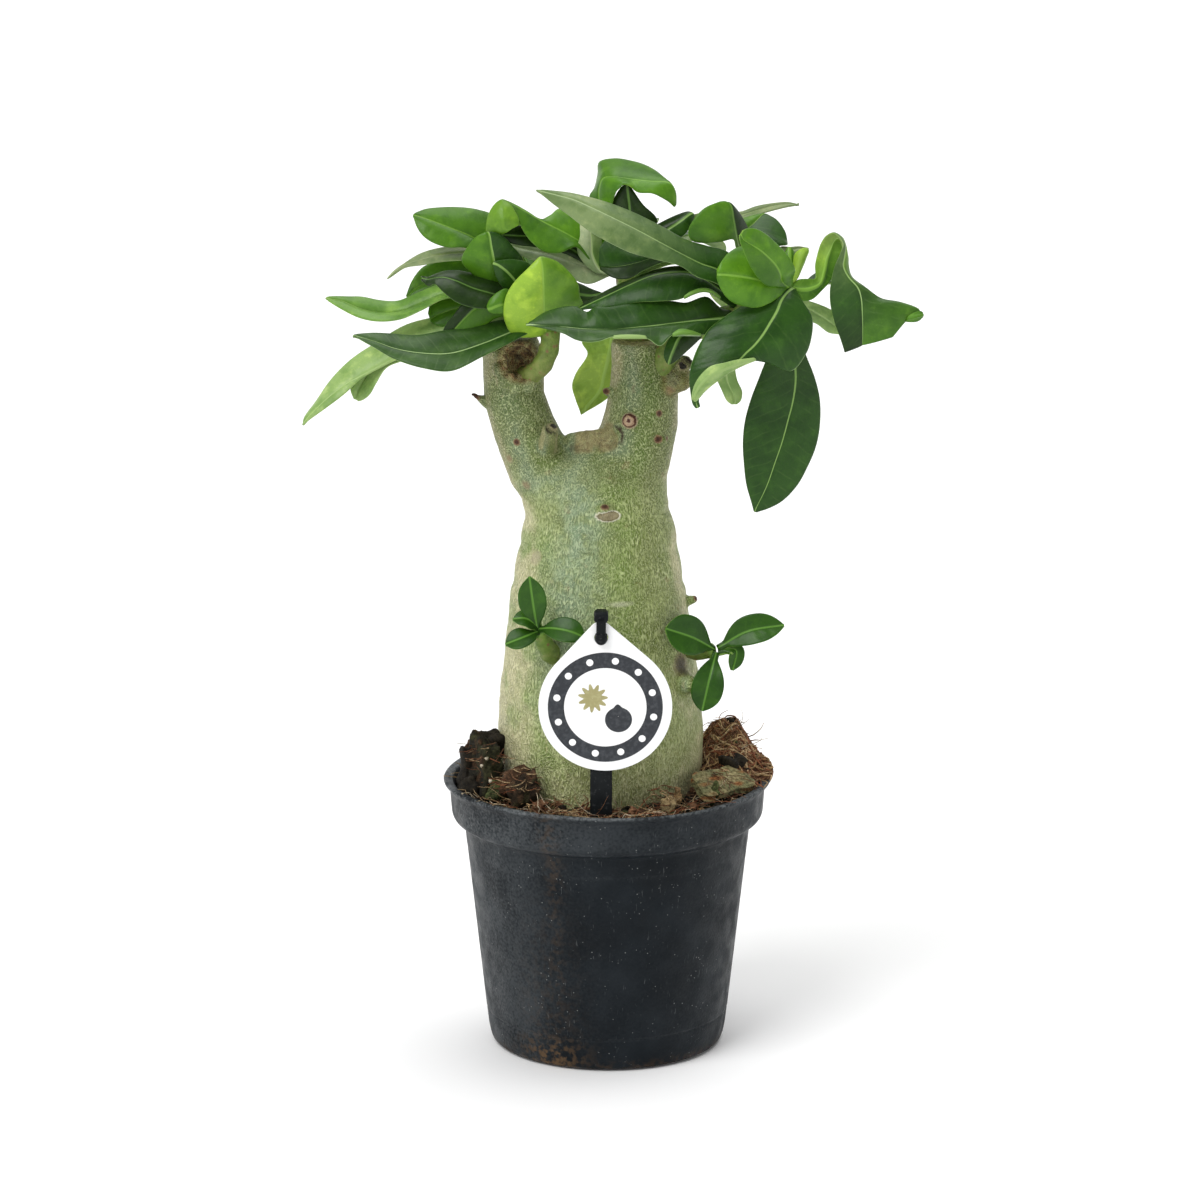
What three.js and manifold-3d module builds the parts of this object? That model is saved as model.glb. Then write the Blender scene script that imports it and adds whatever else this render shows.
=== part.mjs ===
// Potted desert rose (adenium): a swollen trunk with two cut branches and three leafy crowns,
// in a black plastic nursery pot, with a drop-shaped tag on a stake.
// Units are millimetres, +Z is up, the front is -Y, and the origin is the centre of the pot's underside.
import * as THREE from "three";
import { mergeVertices } from "three/addons/utils/BufferGeometryUtils.js";
import Module from "manifold-3d";

const wasm = await Module();
wasm.setup();

// ---------------------------------------------------------------- driving dimensions
const GAP = 0.35; // clearance between pieces that touch

// pot: a 12 cm nursery pot
const POT_HEIGHT = 100;
const POT_RIM_RADIUS = 60;
const POT_BAND_RADIUS = 57;
const POT_BAND_BOTTOM = 84;
const POT_SHOULDER_RADIUS = 52.3;
const POT_FOOT_RADIUS = 43.5;
const POT_CORNER = 5;
const POT_WALL = 1.4;
const POT_SIDES = 36;
const DRAIN_HOLES = 8;
const DRAIN_RADIUS = 3.5;
const DRAIN_CIRCLE = 32;

// soil
const SOIL_LEVEL = 96.5;
const SOIL_BOTTOM = POT_WALL + GAP;
const SOIL_SIDES = 32;
const CRUMB_HEIGHT = 1.1;
const HEAPS = [ // x, y, width and height of the heaps of coir and peat
  [46, 9, 15, 20],
  [30, 34, 15, 8],
  [-40, 12, 16, 10],
  [40, -14, 10, 4],
];

// trunk: stations as [x, y, z, radius], each list one grown limb from its lower end up
const CAUDEX = [
  [-2.4, 0, 62, 17],
  [-2.4, 0, 80, 31],
  [-2.4, 0, 98, 37],
  [-2.4, 0, 117, 37.4],
  [-2.4, 0, 130, 36.6],
  [-2.8, 0, 148, 34.2],
  [-3.2, 0, 162, 32.3],
  [-3.2, 0, 174, 30.3],
  [-3, 0, 186, 28.2],
  [-3.6, 0, 197, 25.6],
  [-4.4, 0, 202, 23.6],
];
const LEFT_BRANCH = [
  [-14, 0, 201, 12],
  [-23.4, 0, 214, 12.4],
  [-29.6, 0, 228, 11.3],
  [-33.4, 0, 240, 10.8],
  [-33.6, 0, 251, 11],
  [-34.2, 0, 256, 10.6],
];
const RIGHT_BRANCH = [
  [3, 0, 202, 16],
  [8.6, 0, 217, 14],
  [12, 0, 231, 13.4],
  [13, 0, 240, 12.5],
  [12.7, 0, 250, 11.3],
  [11.5, 0, 258, 10.2],
];
const LIMB_BLEND = 5; // how softly the branches grow out of the caudex
const CROTCH_CALLUS = { from: [-12.5, -5.5, 224.5], to: [0, -8, 226.5], radius: 3.4, blend: 2.5 };
const CAUDEX_FLATTENING = 0.18; // the trunk is this much thinner front to back at the fork
const FLATTENING_FROM = 150;
const FLATTENING_TO = 215;
const LEFT_CUT_HEIGHT = 262;
const RIGHT_CUT_HEIGHT = 260.5;
const HOLLOW = { at: [-31, -10, 255], radius: 5.2 }; // rotted pocket in the left branch top
const TRUNK_CELL = [6, 6, 8.8]; // grid steps of the trunk's surface

// knobs, buds and stubs on the trunk: from, to and the radii at both ends
const STUBS = [
  { from: [-22, -7, 220], to: [-20.6, -15, 229], radii: [3.4, 2.1] }, // cut stub at the fork
  { from: [-43, -2, 238], to: [-48, -3, 241.5], radii: [1.9, 0.6] }, // thorny bud, far left
  { from: [18, -3, 245], to: [26, -6.5, 247.5], radii: [6, 4.6] }, // tan knob, right branch
  { from: [22, -3, 248], to: [28, -7, 254], radii: [4.2, 3] }, // broken end on that knob
  { from: [2, -3, 242], to: [-1, -5, 243], radii: [2.4, 1.4] }, // bud, right branch
  { from: [8, -10, 233], to: [8, -14.4, 234.2], radii: [3.6, 2.7] }, // round leaf scar
  { from: [18, -8, 226], to: [20, -12.3, 226.6], radii: [2.6, 1.7] }, // small scar
  { from: [-1, -18, 202], to: [-1, -24.6, 203], radii: [4.4, 2.6] }, // scar in mid trunk
  { from: [25, -2, 164], to: [31.6, -3, 166], radii: [3, 1.6] }, // nub on the right outline
  { from: [26, -16, 138], to: [30, -22.6, 139], radii: [5, 3.2] }, // light knob by the right shoot
];

// label
const LABEL_LEAN = 0.064; // radians: the stake leans forward as it rises
const LABEL_FOOT = [-2.2, -42.4, 20]; // where the leaning frame of the label is anchored
const STAKE_WIDTH = 7.8;
const STAKE_THICKNESS = 1.8;
const STAKE_BOTTOM = 12;
const STAKE_TOP = 150;
const TAG_RADIUS = 23.5;
const TAG_THICKNESS = 0.9;
const TAG_CENTRE = 118.8;
const TAG_SWING = 0.057; // radians: the tag hangs a little askew about its hole
const TAG_TIP_RADIUS = 4.2;
const TAG_TIP_CENTRE = 146;
const TAG_HOLE_CENTRE = 144.6;
const TAG_HOLE_RADIUS = 2.6;
const HOOK_WIDTH = 5;
const HOOK_TOP = 154.4;

// lumps on the soil: centre, half sizes, turn about Z, tilt about X, and a seed
const LUMP_ROUGHNESS = 0.09;
const LUMPS = {
  peat_lump_left: {
    at: [-44, -18, 104.6], half: [5.4, 8.6, 13.4], turn: 0.39, tilt: 0, seed: 3, colour: 0x2b2a20 },
  peat_lump_front: {
    at: [-29.5, -36, 102], half: [5.4, 4.6, 8], turn: 0.7, tilt: 0.15, seed: 7, colour: 0x4a3826 },
  bark_chip: {
    at: [41, -23, 102.6], half: [12, 7.4, 1.8], turn: 0.72, tilt: 0.4, seed: 11, colour: 0x9a8a62 },
  bark_crumb: {
    at: [22, -43, 99.5], half: [2.6, 2, 4], turn: 0.3, tilt: 0.2, seed: 19, colour: 0xa08a5c },
};

// Leaves. rib: points of the midrib from the stem to the tip. half: half width, or one for each side of
// the rib, or a list along each side that draws the outline. face: where the upper face looks, once or at
// stations along the leaf. fold and curl: degrees that each half rises from the rib, and bends further on
// its way to the edge. wave: height and count of the edge waves, and where they start. widest: where along
// the leaf it is widest. blunt: how pointed the tip is. steps: triangle rows along it. small: few triangles.
const LEAF_THICKNESS = 1.0;
const LEAF_EDGE_THICKNESS = 0.66;
const PETIOLE_HALF = 1.5;
const TIP_HALF = 0.5;
const SLIVER = 0.1; // triangles thinner than this are merged away where leaves run into one another

const LEFT_STEM = {
  path: [[-31, -4, 247.5], [-27.5, -9.5, 249.5], [-23.5, -11.5, 253.5], [-21, -11, 258.5],
    [-20.3, -10, 264], [-21.5, -7.5, 271], [-24, -4, 277], [-25, -2, 281]],
  radii: [4.4, 3.4],
  sides: 8,
};
const LEFT_LEAVES = [
  { rib: [[-21, -9, 267], [-34, -15, 265.5], [-53, -19, 259.5], [-71, -19, 259.5], [-89.5, -15, 265]],
    half: 10, face: [0, -0.5, 0.87], fold: 8, curl: 10, wave: [0.6, 1.5, 0.1], widest: 0.58, blunt: 0.9 },
  { rib: [[-23, -3, 273], [-42, -1, 270.5], [-63, 0, 262.5], [-84, 0, 250], [-103, -2, 236.5],
      [-109, -4, 230]],
    half: 9, face: [-0.35, 0.72, 0.6], fold: 4, curl: 12, wave: [0.8, 2, 0.4], widest: 0.5, blunt: 1 },
  { rib: [[-24, 0, 271], [-50, 5, 266], [-73, 6, 255], [-84, 5, 245.5], [-89, 4, 239]],
    half: 6.2, face: [-0.4, 0.9, 0.35], fold: 6, curl: 10, wave: [0.4, 1, 0], widest: 0.76, blunt: 0.42 },
  { rib: [[-25, 0, 279], [-42, 1, 280.5], [-56, 1, 278.6], [-69, 1, 271.8], [-85, 1, 270.6],
      [-100.5, 0, 276]],
    half: 8, face: [0, 0.66, 0.75], fold: 6, curl: 14, wave: [1, 2.2, 0.3], widest: 0.7, blunt: 0.8 },
  { rib: [[-26, 0, 281], [-38, 3, 291], [-52, 4, 291.6], [-67, 3, 289], [-79, 2, 282.4]],
    half: 6.6, face: [-0.1, -0.08, 1], fold: 6, curl: 6, wave: [0.4, 1.5, 0], widest: 0.5, blunt: 1.2 },
  { rib: [[-23, -6, 273], [-36, -12, 278], [-46, -14, 282], [-57, -14, 286], [-66, -13, 286.5]],
    half: 9.4, face: [-0.1, -0.62, 0.78], fold: 10, curl: 12, wave: [1.2, 1.6, 0.55], widest: 0.55,
    blunt: 0.9 },
  { rib: [[-26, 1, 281], [-35, 4, 289.5], [-48.5, 5, 296], [-57.5, 5, 299.5], [-69.5, 4, 304]],
    half: 9.8, face: [0.1, -0.75, 0.6], fold: 5, curl: 8, wave: [0.5, 1.2, 0.2], widest: 0.66, blunt: 0.7 },
  { rib: [[-26, -4, 278], [-36, -8, 283], [-41.5, -10.5, 291], [-42.5, -11, 302]],
    half: 11.6, face: [-0.15, -1, 0.1], fold: 8, curl: 14, wave: [0.5, 1, 0.5], widest: 0.55, blunt: 0.55 },
  { rib: [[-26, -7, 275], [-31.5, -12, 281.5], [-36.5, -14, 292]],
    half: 6.8, face: [0.1, -0.95, 0.3], fold: 8, curl: 6, wave: [0.3, 1, 0], widest: 0.6, blunt: 0.6,
    small: true },
  { rib: [[-21, -9, 266], [-21.5, -18, 269], [-23, -23.5, 281], [-23.7, -22, 294.5]],
    half: 13.6, face: [0, -1, 0.2], fold: 8, curl: 10, wave: [0.4, 1.3, 0.2], widest: 0.52, blunt: 0.62 },
  { rib: [[-24, -7, 271], [-38, -10, 275.5], [-47, -10, 273], [-57, -9, 264]],
    half: 7.5, face: [-0.3, -0.8, 0.5], fold: 10, curl: 8, wave: [0.5, 1, 0.3], widest: 0.55, blunt: 0.9 },
  { rib: [[-23, -9, 270], [-33, -15.5, 275], [-41.5, -16.5, 270]],
    half: 4.2, face: [0, -0.8, 0.6], fold: 8, curl: 4, wave: [0.2, 1, 0], widest: 0.6, blunt: 0.6,
    small: true },
  { rib: [[-26, 1, 279], [-48, 7, 285], [-62, 7, 285.5], [-70, 6, 279]],
    half: 8, face: [-0.2, -0.8, 0.5], fold: 6, curl: 8, wave: [0.4, 1, 0], widest: 0.68, blunt: 0.55,
    small: true },
  { rib: [[-25, 0, 276], [-44, 4, 274], [-57, 5, 271.5], [-67, 4, 266]],
    half: 7.6, face: [0, -0.7, 0.7], fold: 8, curl: 8, wave: [0.4, 1, 0], widest: 0.6, blunt: 0.7,
    small: true },
  { rib: [[-25, 0, 278], [-40, 16, 284], [-55, 30, 281], [-65, 40, 274]],
    half: 9, face: [-0.2, 0.1, 1], fold: 10, curl: 8, wave: [0.6, 1.5, 0.2], widest: 0.58, blunt: 0.8,
    small: true },
  { rib: [[-24.5, -2, 279], [-32, 14, 287], [-40, 34, 287], [-44, 50, 279]],
    half: 9.6, face: [0, 0.2, 1], fold: 12, curl: 8, wave: [0.6, 1.5, 0.6], widest: 0.58, blunt: 0.8,
    small: true },
  { rib: [[-25, -1, 281], [-30.5, 10, 290], [-34, 17, 298], [-37, 24, 302]],
    half: 7, face: [0.1, 0.5, 0.8], fold: 10, curl: 8, wave: [0.5, 1, 0.1], widest: 0.6, blunt: 0.7,
    small: true },
];

const CENTRE_STEM = {
  path: [[11.5, 2, 254], [10.5, 2.5, 264], [8.5, 3, 275], [7, 4, 284], [6.5, 4, 291]],
  radii: [5.2, 4],
  sides: 8,
};
const CENTRE_LEAVES = [
  { rib: [[6.5, 4, 290], [0, 3, 299], [-2, 2.5, 307], [8, 1, 312.6], [17, 0, 312.4], [24.4, 0, 308]],
    half: [[2, 3, 9, 13, 13.5, 13.5, 11, 7, 1], [2, 3, 6, 9, 10, 9, 8, 6, 1]],
    face: [[0.3, -0.2, 0.9], [-0.3, -0.1, 1], [0, 0, 1]], fold: [62, 42], curl: [18, 10],
    wave: [0.3, 1.2, 0.3], steps: 8 },
  { rib: [[8, 3, 290], [9, 0, 299], [8, -3, 308], [6, -4, 316]],
    half: 8, face: [-0.2, -0.9, 0.3], fold: 12, curl: 8, wave: [0.4, 1, 0], widest: 0.45, blunt: 0.9,
    small: true },
  { rib: [[8, 3, 288], [16, 2, 295], [24, 1.5, 300.5], [31.5, 1, 305]],
    half: 6, face: [0.1, -0.6, 0.8], fold: 14, curl: 8, wave: [0.5, 1, 0.5], widest: 0.6, blunt: 0.8,
    small: true },
  { rib: [[4, 3, 289], [-9, -2, 293.4], [-21, -3, 299.6], [-31, -4, 305.6], [-38, -5, 310],
      [-43.5, -6, 301]],
    half: 10.4, face: [[0.3, -0.6, 0.7], [0.1, -0.4, 0.9], [-0.3, -0.4, 0.85], [-0.9, -0.4, 0.2]],
    fold: [-34, -20], curl: 8, wave: [0.8, 1.3, 0.2], widest: 0.6, blunt: 0.6 },
  { rib: [[4, 4, 286], [-5, 3, 284], [-15, 2, 286.5], [-28, 1, 291.5]],
    half: 8.5, face: [0.1, 0.6, 0.8], fold: 8, curl: 6, wave: [0.4, 1, 0], widest: 0.45, blunt: 0.9,
    small: true },
  { rib: [[4, 2, 287], [-3, 0, 289], [-6.5, -1, 295], [-8, -2, 302]],
    half: 5.2, face: [0.5, 0.8, 0.2], fold: 8, curl: 6, wave: [0.3, 1, 0], widest: 0.5, blunt: 0.8,
    small: true },
  { rib: [[9, 4, 266], [3, 13, 263], [-2, 15, 251], [-9.3, 14, 232]],
    half: 8.8, face: [0.1, 0.9, 0.3], fold: 4, curl: 6, wave: [0.7, 1.5, 0.2], widest: 0.6, blunt: 0.85 },
  { rib: [[8, 5, 290], [28, 9, 299], [48, 10, 303.5], [68.5, 9, 308]],
    half: 7.4, face: [0, -0.25, 0.95], fold: 6, curl: 6, wave: [0.4, 1, 0], widest: 0.55, blunt: 1.1,
    small: true },
  { rib: [[7, 6, 289], [8, 22, 296], [10, 40, 296], [12, 56, 288]],
    half: 9.5, face: [0, 0.2, 1], fold: 12, curl: 8, wave: [0.6, 1.5, 0.6], widest: 0.58, blunt: 0.8,
    small: true },
  { rib: [[8, 6, 287], [20, 19, 293], [33, 31, 292], [43, 40, 286]],
    half: 9, face: [0.1, 0.1, 1], fold: 10, curl: 8, wave: [0.6, 1.5, 0.3], widest: 0.58, blunt: 0.8,
    small: true },
  { rib: [[5, 6, 287], [-5, 21, 292], [-14, 34, 289], [-18, 46, 281]],
    half: 8.6, face: [-0.1, 0.1, 1], fold: 10, curl: 8, wave: [0.6, 1.5, 0.1], widest: 0.58, blunt: 0.8,
    small: true },
];

const RIGHT_STEM = {
  path: [[18, -5, 250], [24, -9, 261], [33, -13, 268], [46, -17, 273], [57, -20, 277], [65, -22, 283]],
  radii: [4.4, 3.8],
  sides: 8,
};
const RIGHT_LEAVES = [
  { rib: [[54, -20, 277], [40, -27, 291], [19, -31, 301.5], [-9.5, -32, 315.5], [-25, -31, 320.5]],
    half: [9, 6.6], face: [0.3, -0.6, 0.75], fold: 8, curl: 10, wave: [0.5, 1.5, 0], widest: 0.5,
    blunt: 1 },
  { rib: [[52, -17, 276], [43, -16, 288], [29.5, -14, 293.5], [15, -13, 290], [-2, -12, 289.3]],
    half: 9.8, face: [0, -0.9, 0.45], fold: [4, 50], curl: 8, wave: [0.4, 1, 0], widest: 0.84, blunt: 0.3 },
  { rib: [[50, -18, 275], [42, -21, 284], [28, -23, 289.5], [14, -23, 287.3], [2.5, -22, 283],
      [-8.5, -20, 276.5]],
    half: 9.6, face: [-0.1, -0.36, 0.93], fold: [-28, -4], curl: 8, wave: [1.4, 2.2, 0.35], widest: 0.5,
    blunt: 1 },
  { rib: [[52, -19, 275], [43, -26, 274], [29, -31, 273], [12, -33, 271.3], [-3, -33, 270.3],
      [-17, -31, 270.5], [-27.8, -28, 271.5]],
    half: [8, 11], face: [0, -0.62, 0.78], fold: [4, 2], curl: [16, 10], wave: [2, 2.6, 0.15],
    widest: 0.58, blunt: 1 },
  { rib: [[32, -12, 267], [29, -15.5, 264], [25, -17.5, 259], [21, -17.5, 254]],
    half: 4.6, face: [-0.6, -0.8, 0.2], fold: 10, curl: 4, wave: [0.2, 1, 0], widest: 0.5, blunt: 0.9,
    small: true },
  { rib: [[65, -20, 279], [69, -17, 268], [66.5, -17, 255], [65, -18, 240], [61, -18, 223.5],
      [52.3, -17, 202]],
    half: [11.8, 14], face: [-0.1, -1, 0.1], fold: 4, curl: 14, wave: [0.4, 1.2, 0.3], widest: 0.62,
    blunt: 0.9 },
  { rib: [[63, -23, 282], [57, -31, 286.5], [49, -36, 290], [38.6, -38, 290.6]],
    half: 11.4, face: [-0.35, -0.8, 0.5], fold: 4, curl: 8, wave: [0.3, 1, 0], widest: 0.62, blunt: 0.45 },
  { rib: [[64.5, -23, 282], [61.5, -31, 281.5], [54.5, -38, 288], [49, -41, 306]],
    half: 9.4, face: [0.5, -0.5, 0.7], fold: 48, curl: 22, wave: [0.3, 1, 0], widest: 0.55, blunt: 0.6 },
  { rib: [[60, -19, 280], [51, -17, 288], [47, -17, 300], [43, -16.5, 313]],
    half: [15, 9], face: [-0.25, -0.95, 0.2], fold: [6, 40], curl: 10, wave: [0.5, 1, 0], widest: 0.6,
    blunt: 0.5 },
  { rib: [[65, -24, 281], [59.5, -31, 275.5], [54, -35, 268.5], [46, -38, 260], [30.5, -37, 243]],
    half: [[2, 10, 15, 17.5, 17, 10, 6, 4, 1], [2, 10, 14.5, 15, 14, 12.5, 11, 7, 1]],
    face: [[0, -0.6, 0.8], [0, -0.8, 0.6], [-0.6, -0.7, 0.4]], fold: [[-4, 20, 75], 6], curl: [16, 10],
    wave: [0.8, 1.6, 0.3], steps: 8 },
  { rib: [[66, -22, 280], [73, -23, 277.5], [77.5, -22, 284], [79, -20, 297], [82, -20, 301.5],
      [86, -20, 293], [89.5, -21, 283], [91.7, -21, 263]],
    half: [[2, 4, 5, 4, 2.5, 1.5, 6, 19, 7], [2, 4, 5, 5, 5, 6, 11.5, 13, 8]],
    face: [[0, 0.4, 0.9], [-0.8, -0.5, 0.3], [-0.3, -0.9, 0.3], [0.1, -1, 0.2]],
    fold: [[30, 30, 8, 6], [30, 30, 4, 4]], curl: [10, 16], wave: [0.8, 1.6, 0.2], steps: 10 },
  { rib: [[65, -21, 281], [72, -12, 274], [78, -8, 269], [83.5, -6, 263]],
    half: 6.6, face: [0.3, 0.8, 0.5], fold: 4, curl: 8, wave: [0.4, 1, 0], widest: 0.6, blunt: 0.6,
    small: true },
  { rib: [[66, -21, 282], [68.5, -19, 290], [70.5, -18, 297.5]],
    half: 3.6, face: [-0.8, -0.6, 0.2], fold: 24, curl: 10, wave: [0, 1, 0], widest: 0.5, blunt: 0.9,
    small: true },
  { rib: [[65, -22, 282], [66, -21, 290], [64, -18, 298]],
    half: 3.4, face: [0.6, -0.8, 0.2], fold: 24, curl: 10, wave: [0, 1, 0], widest: 0.5, blunt: 0.9,
    small: true },
  { rib: [[64, -20, 282], [63, -13, 290], [59, -10, 297], [52, -9, 302.5]],
    half: 6.8, face: [0.3, -0.7, 0.6], fold: 8, curl: 8, wave: [0.3, 1, 0], widest: 0.6, blunt: 0.7,
    small: true },
  { rib: [[43, -15, 270], [42.5, -9, 261], [43, -8, 251], [45.5, -8, 239.5]],
    half: 5.8, face: [0.2, 1, 0.2], fold: 4, curl: 8, wave: [0.3, 1, 0], widest: 0.7, blunt: 0.5,
    small: true },
  { rib: [[61, -19, 279], [61, 1, 286], [63, 20, 285], [65, 36, 278]],
    half: 9, face: [0, 0.2, 1], fold: 12, curl: 8, wave: [0.6, 1.5, 0.5], widest: 0.58, blunt: 0.8,
    small: true },
  { rib: [[49, -16, 274], [46, 4, 278], [44, 22, 274], [43, 36, 266]],
    half: 8.5, face: [0, 0.2, 1], fold: 10, curl: 8, wave: [0.6, 1.5, 0.2], widest: 0.58, blunt: 0.8,
    small: true },
  { rib: [[65, -20, 281], [80, -7, 283], [91, 3, 275], [99, 8, 267]],
    half: 7.5, face: [0.3, 0.1, 1], fold: 10, curl: 8, wave: [0.6, 1.5, 0.7], widest: 0.58, blunt: 0.8,
    small: true },
];

const SIDE_LEFT_STEM = {
  path: [[-17, -24, 149], [-21, -31, 154], [-24.3, -33.5, 162]],
  radii: [4.2, 2.6],
  sides: 7,
};
const SIDE_LEFT_LEAVES = [
  { rib: [[-24.6, -33.5, 162], [-26, -35.5, 170], [-27.6, -36, 182]],
    half: 5.2, face: [-0.1, -1, 0.1], fold: 8, curl: 8, wave: [0.2, 1, 0], widest: 0.58, blunt: 0.8,
    small: true },
  { rib: [[-24.6, -33.5, 162], [-29, -36, 166.5], [-33.6, -36, 166.5]],
    half: 3.6, face: [-0.2, -0.6, 0.8], fold: 8, curl: 6, wave: [0.2, 1, 0], widest: 0.58, blunt: 0.8,
    small: true },
  { rib: [[-24.4, -34, 161], [-29, -38, 160.5], [-36.2, -39, 158]],
    half: 4.4, face: [-0.1, -0.7, 0.7], fold: 8, curl: 6, wave: [0.2, 1, 0], widest: 0.58, blunt: 0.8,
    small: true },
  { rib: [[-24, -34, 162], [-19, -38, 163.5], [-13, -40.5, 163], [-8, -41, 161]],
    half: 5, face: [0.1, -0.8, 0.6], fold: 8, curl: 8, wave: [0.2, 1, 0], widest: 0.6, blunt: 0.8,
    small: true },
];

const SIDE_RIGHT_STEM = {
  path: [[25, -10, 150], [33, -14, 149], [39, -16, 150.5]],
  radii: [3, 2.4],
  sides: 7,
};
const SIDE_RIGHT_LEAVES = [
  { rib: [[38, -16, 150.5], [31, -21.5, 156], [21, -25.5, 160.5]],
    half: 7.4, face: [0.1, -0.9, 0.45], fold: 10, curl: 8, wave: [0.3, 1, 0.3], widest: 0.62, blunt: 0.6,
    small: true },
  { rib: [[40, -16.5, 151], [50, -18, 157.5], [63.5, -18, 160]],
    half: 5.8, face: [-0.1, -0.9, 0.5], fold: 10, curl: 8, wave: [0.2, 1, 0], widest: 0.55, blunt: 0.8,
    small: true },
  { rib: [[39, -17, 149.5], [36.8, -22, 142], [34, -25, 130]],
    half: 6, face: [0.1, -1, 0.2], fold: 10, curl: 8, wave: [0.2, 1, 0], widest: 0.6, blunt: 0.7,
    small: true },
  { rib: [[40, -16.5, 150], [46, -17.5, 150.5], [45, -19, 143.5]],
    half: 3.2, face: [0.3, -0.7, 0.5], fold: 20, curl: 10, wave: [0.2, 1, 0], widest: 0.55, blunt: 0.7,
    small: true },
];

// ---------------------------------------------------------------- colours, roughness
const finish = (color, roughness) => new THREE.MeshStandardMaterial({ color, roughness, metalness: 0 });
const POT_PLASTIC = finish(0x23272b, 0.5);
const LEAF_GREEN = finish(0x3f7a30, 0.4);
const BARK = finish(0x8f9a78, 0.7);
const SOIL_BROWN = finish(0x4b3a28, 0.95);
const TAG_WHITE = finish(0xf1f1ee, 0.45);
const STAKE_BLACK = finish(0x16171a, 0.45);

// ---------------------------------------------------------------- solids
// A closed geometry as a solid that can be joined and cut.
function solidOf(geometry) {
  const bare = geometry.index ? geometry.toNonIndexed() : geometry.clone();
  bare.deleteAttribute("normal");
  bare.deleteAttribute("uv");
  const merged = mergeVertices(bare, 1e-4);
  return new wasm.Manifold(
    new wasm.Mesh({
      numProp: 3,
      vertProperties: merged.attributes.position.array,
      triVerts: new Uint32Array(merged.index.array),
    }),
  );
}

function geometryOf(solid) {
  const mesh = solid.getMesh();
  const geometry = new THREE.BufferGeometry();
  geometry.setAttribute("position", new THREE.BufferAttribute(new Float32Array(mesh.vertProperties), 3));
  geometry.setIndex(new THREE.BufferAttribute(new Uint32Array(mesh.triVerts), 1));
  geometry.computeVertexNormals();
  return geometry;
}

const root = new THREE.Group();

function addNode(name, geometry, material, parent = root) {
  const mesh = new THREE.Mesh(geometry, material);
  mesh.name = name;
  parent.add(mesh);
  return mesh;
}

// A turned solid about the Z axis from a profile of [radius, height] that runs from the axis to the axis.
function turned(profile, sides) {
  const points = profile.map(([radius, height]) => new THREE.Vector2(radius, height));
  return new THREE.LatheGeometry(points, sides).rotateX(Math.PI / 2);
}

// A tube through points whose radius runs evenly from radii[0] to radii[1], with flat ends.
function taperedTube({ path, radii, sides }) {
  const curve = new THREE.CatmullRomCurve3(path.map((p) => new THREE.Vector3(...p)));
  const steps = path.length > 2 ? 2 * (path.length - 1) : 1;
  const frames = curve.computeFrenetFrames(steps);
  const positions = [];
  for (let i = 0; i <= steps; i++) {
    const centre = curve.getPointAt(i / steps);
    const radius = radii[0] + (radii[1] - radii[0]) * (i / steps);
    for (let j = 0; j < sides; j++) {
      const angle = (2 * Math.PI * j) / sides;
      const point = centre
        .clone()
        .addScaledVector(frames.normals[i], radius * Math.cos(angle))
        .addScaledVector(frames.binormals[i], radius * Math.sin(angle));
      positions.push(point.x, point.y, point.z);
    }
  }
  const index = [];
  for (let i = 0; i < steps; i++) {
    for (let j = 0; j < sides; j++) {
      const a = i * sides + j;
      const b = i * sides + ((j + 1) % sides);
      index.push(a, b, a + sides, b, b + sides, a + sides);
    }
  }
  const last = steps * sides;
  for (let j = 1; j < sides - 1; j++) {
    index.push(0, j + 1, j);
    index.push(last, last + j, last + j + 1);
  }
  const geometry = new THREE.BufferGeometry();
  geometry.setAttribute("position", new THREE.Float32BufferAttribute(positions, 3));
  geometry.setIndex(index);
  return geometry;
}

// ---------------------------------------------------------------- leaves
const smoothStep = (from, to, value) => {
  const t = Math.min(1, Math.max(0, (value - from) / (to - from)));
  return t * t * (3 - 2 * t);
};

// A leaf's number for one side of the rib at u. It is one number, one for each side, or lists of stations.
function sideValue(value, which, u) {
  const own = Array.isArray(value) ? value[which] : value;
  if (!Array.isArray(own)) return own;
  const along = u * (own.length - 1);
  const i = Math.min(Math.floor(along), own.length - 2);
  return THREE.MathUtils.lerp(own[i], own[i + 1], smoothStep(0, 1, along - i));
}

// Half width along the leaf as a share of its greatest: rising from the stalk, then rounding off to the tip.
function bladeShape(u, widest, blunt) {
  if (u < widest) return Math.sin((Math.PI / 2) * (u / widest)) ** 1.25;
  return Math.cos((Math.PI / 2) * ((u - widest) / (1 - widest)) ** 1.35) ** blunt;
}

// Where the upper face looks at u, between the stations given.
function facing(face, u) {
  if (!Array.isArray(face[0])) return new THREE.Vector3(...face);
  const along = u * (face.length - 1);
  const i = Math.min(Math.floor(along), face.length - 2);
  const from = new THREE.Vector3(...face[i]).normalize();
  return from.lerp(new THREE.Vector3(...face[i + 1]).normalize(), along - i);
}

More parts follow.
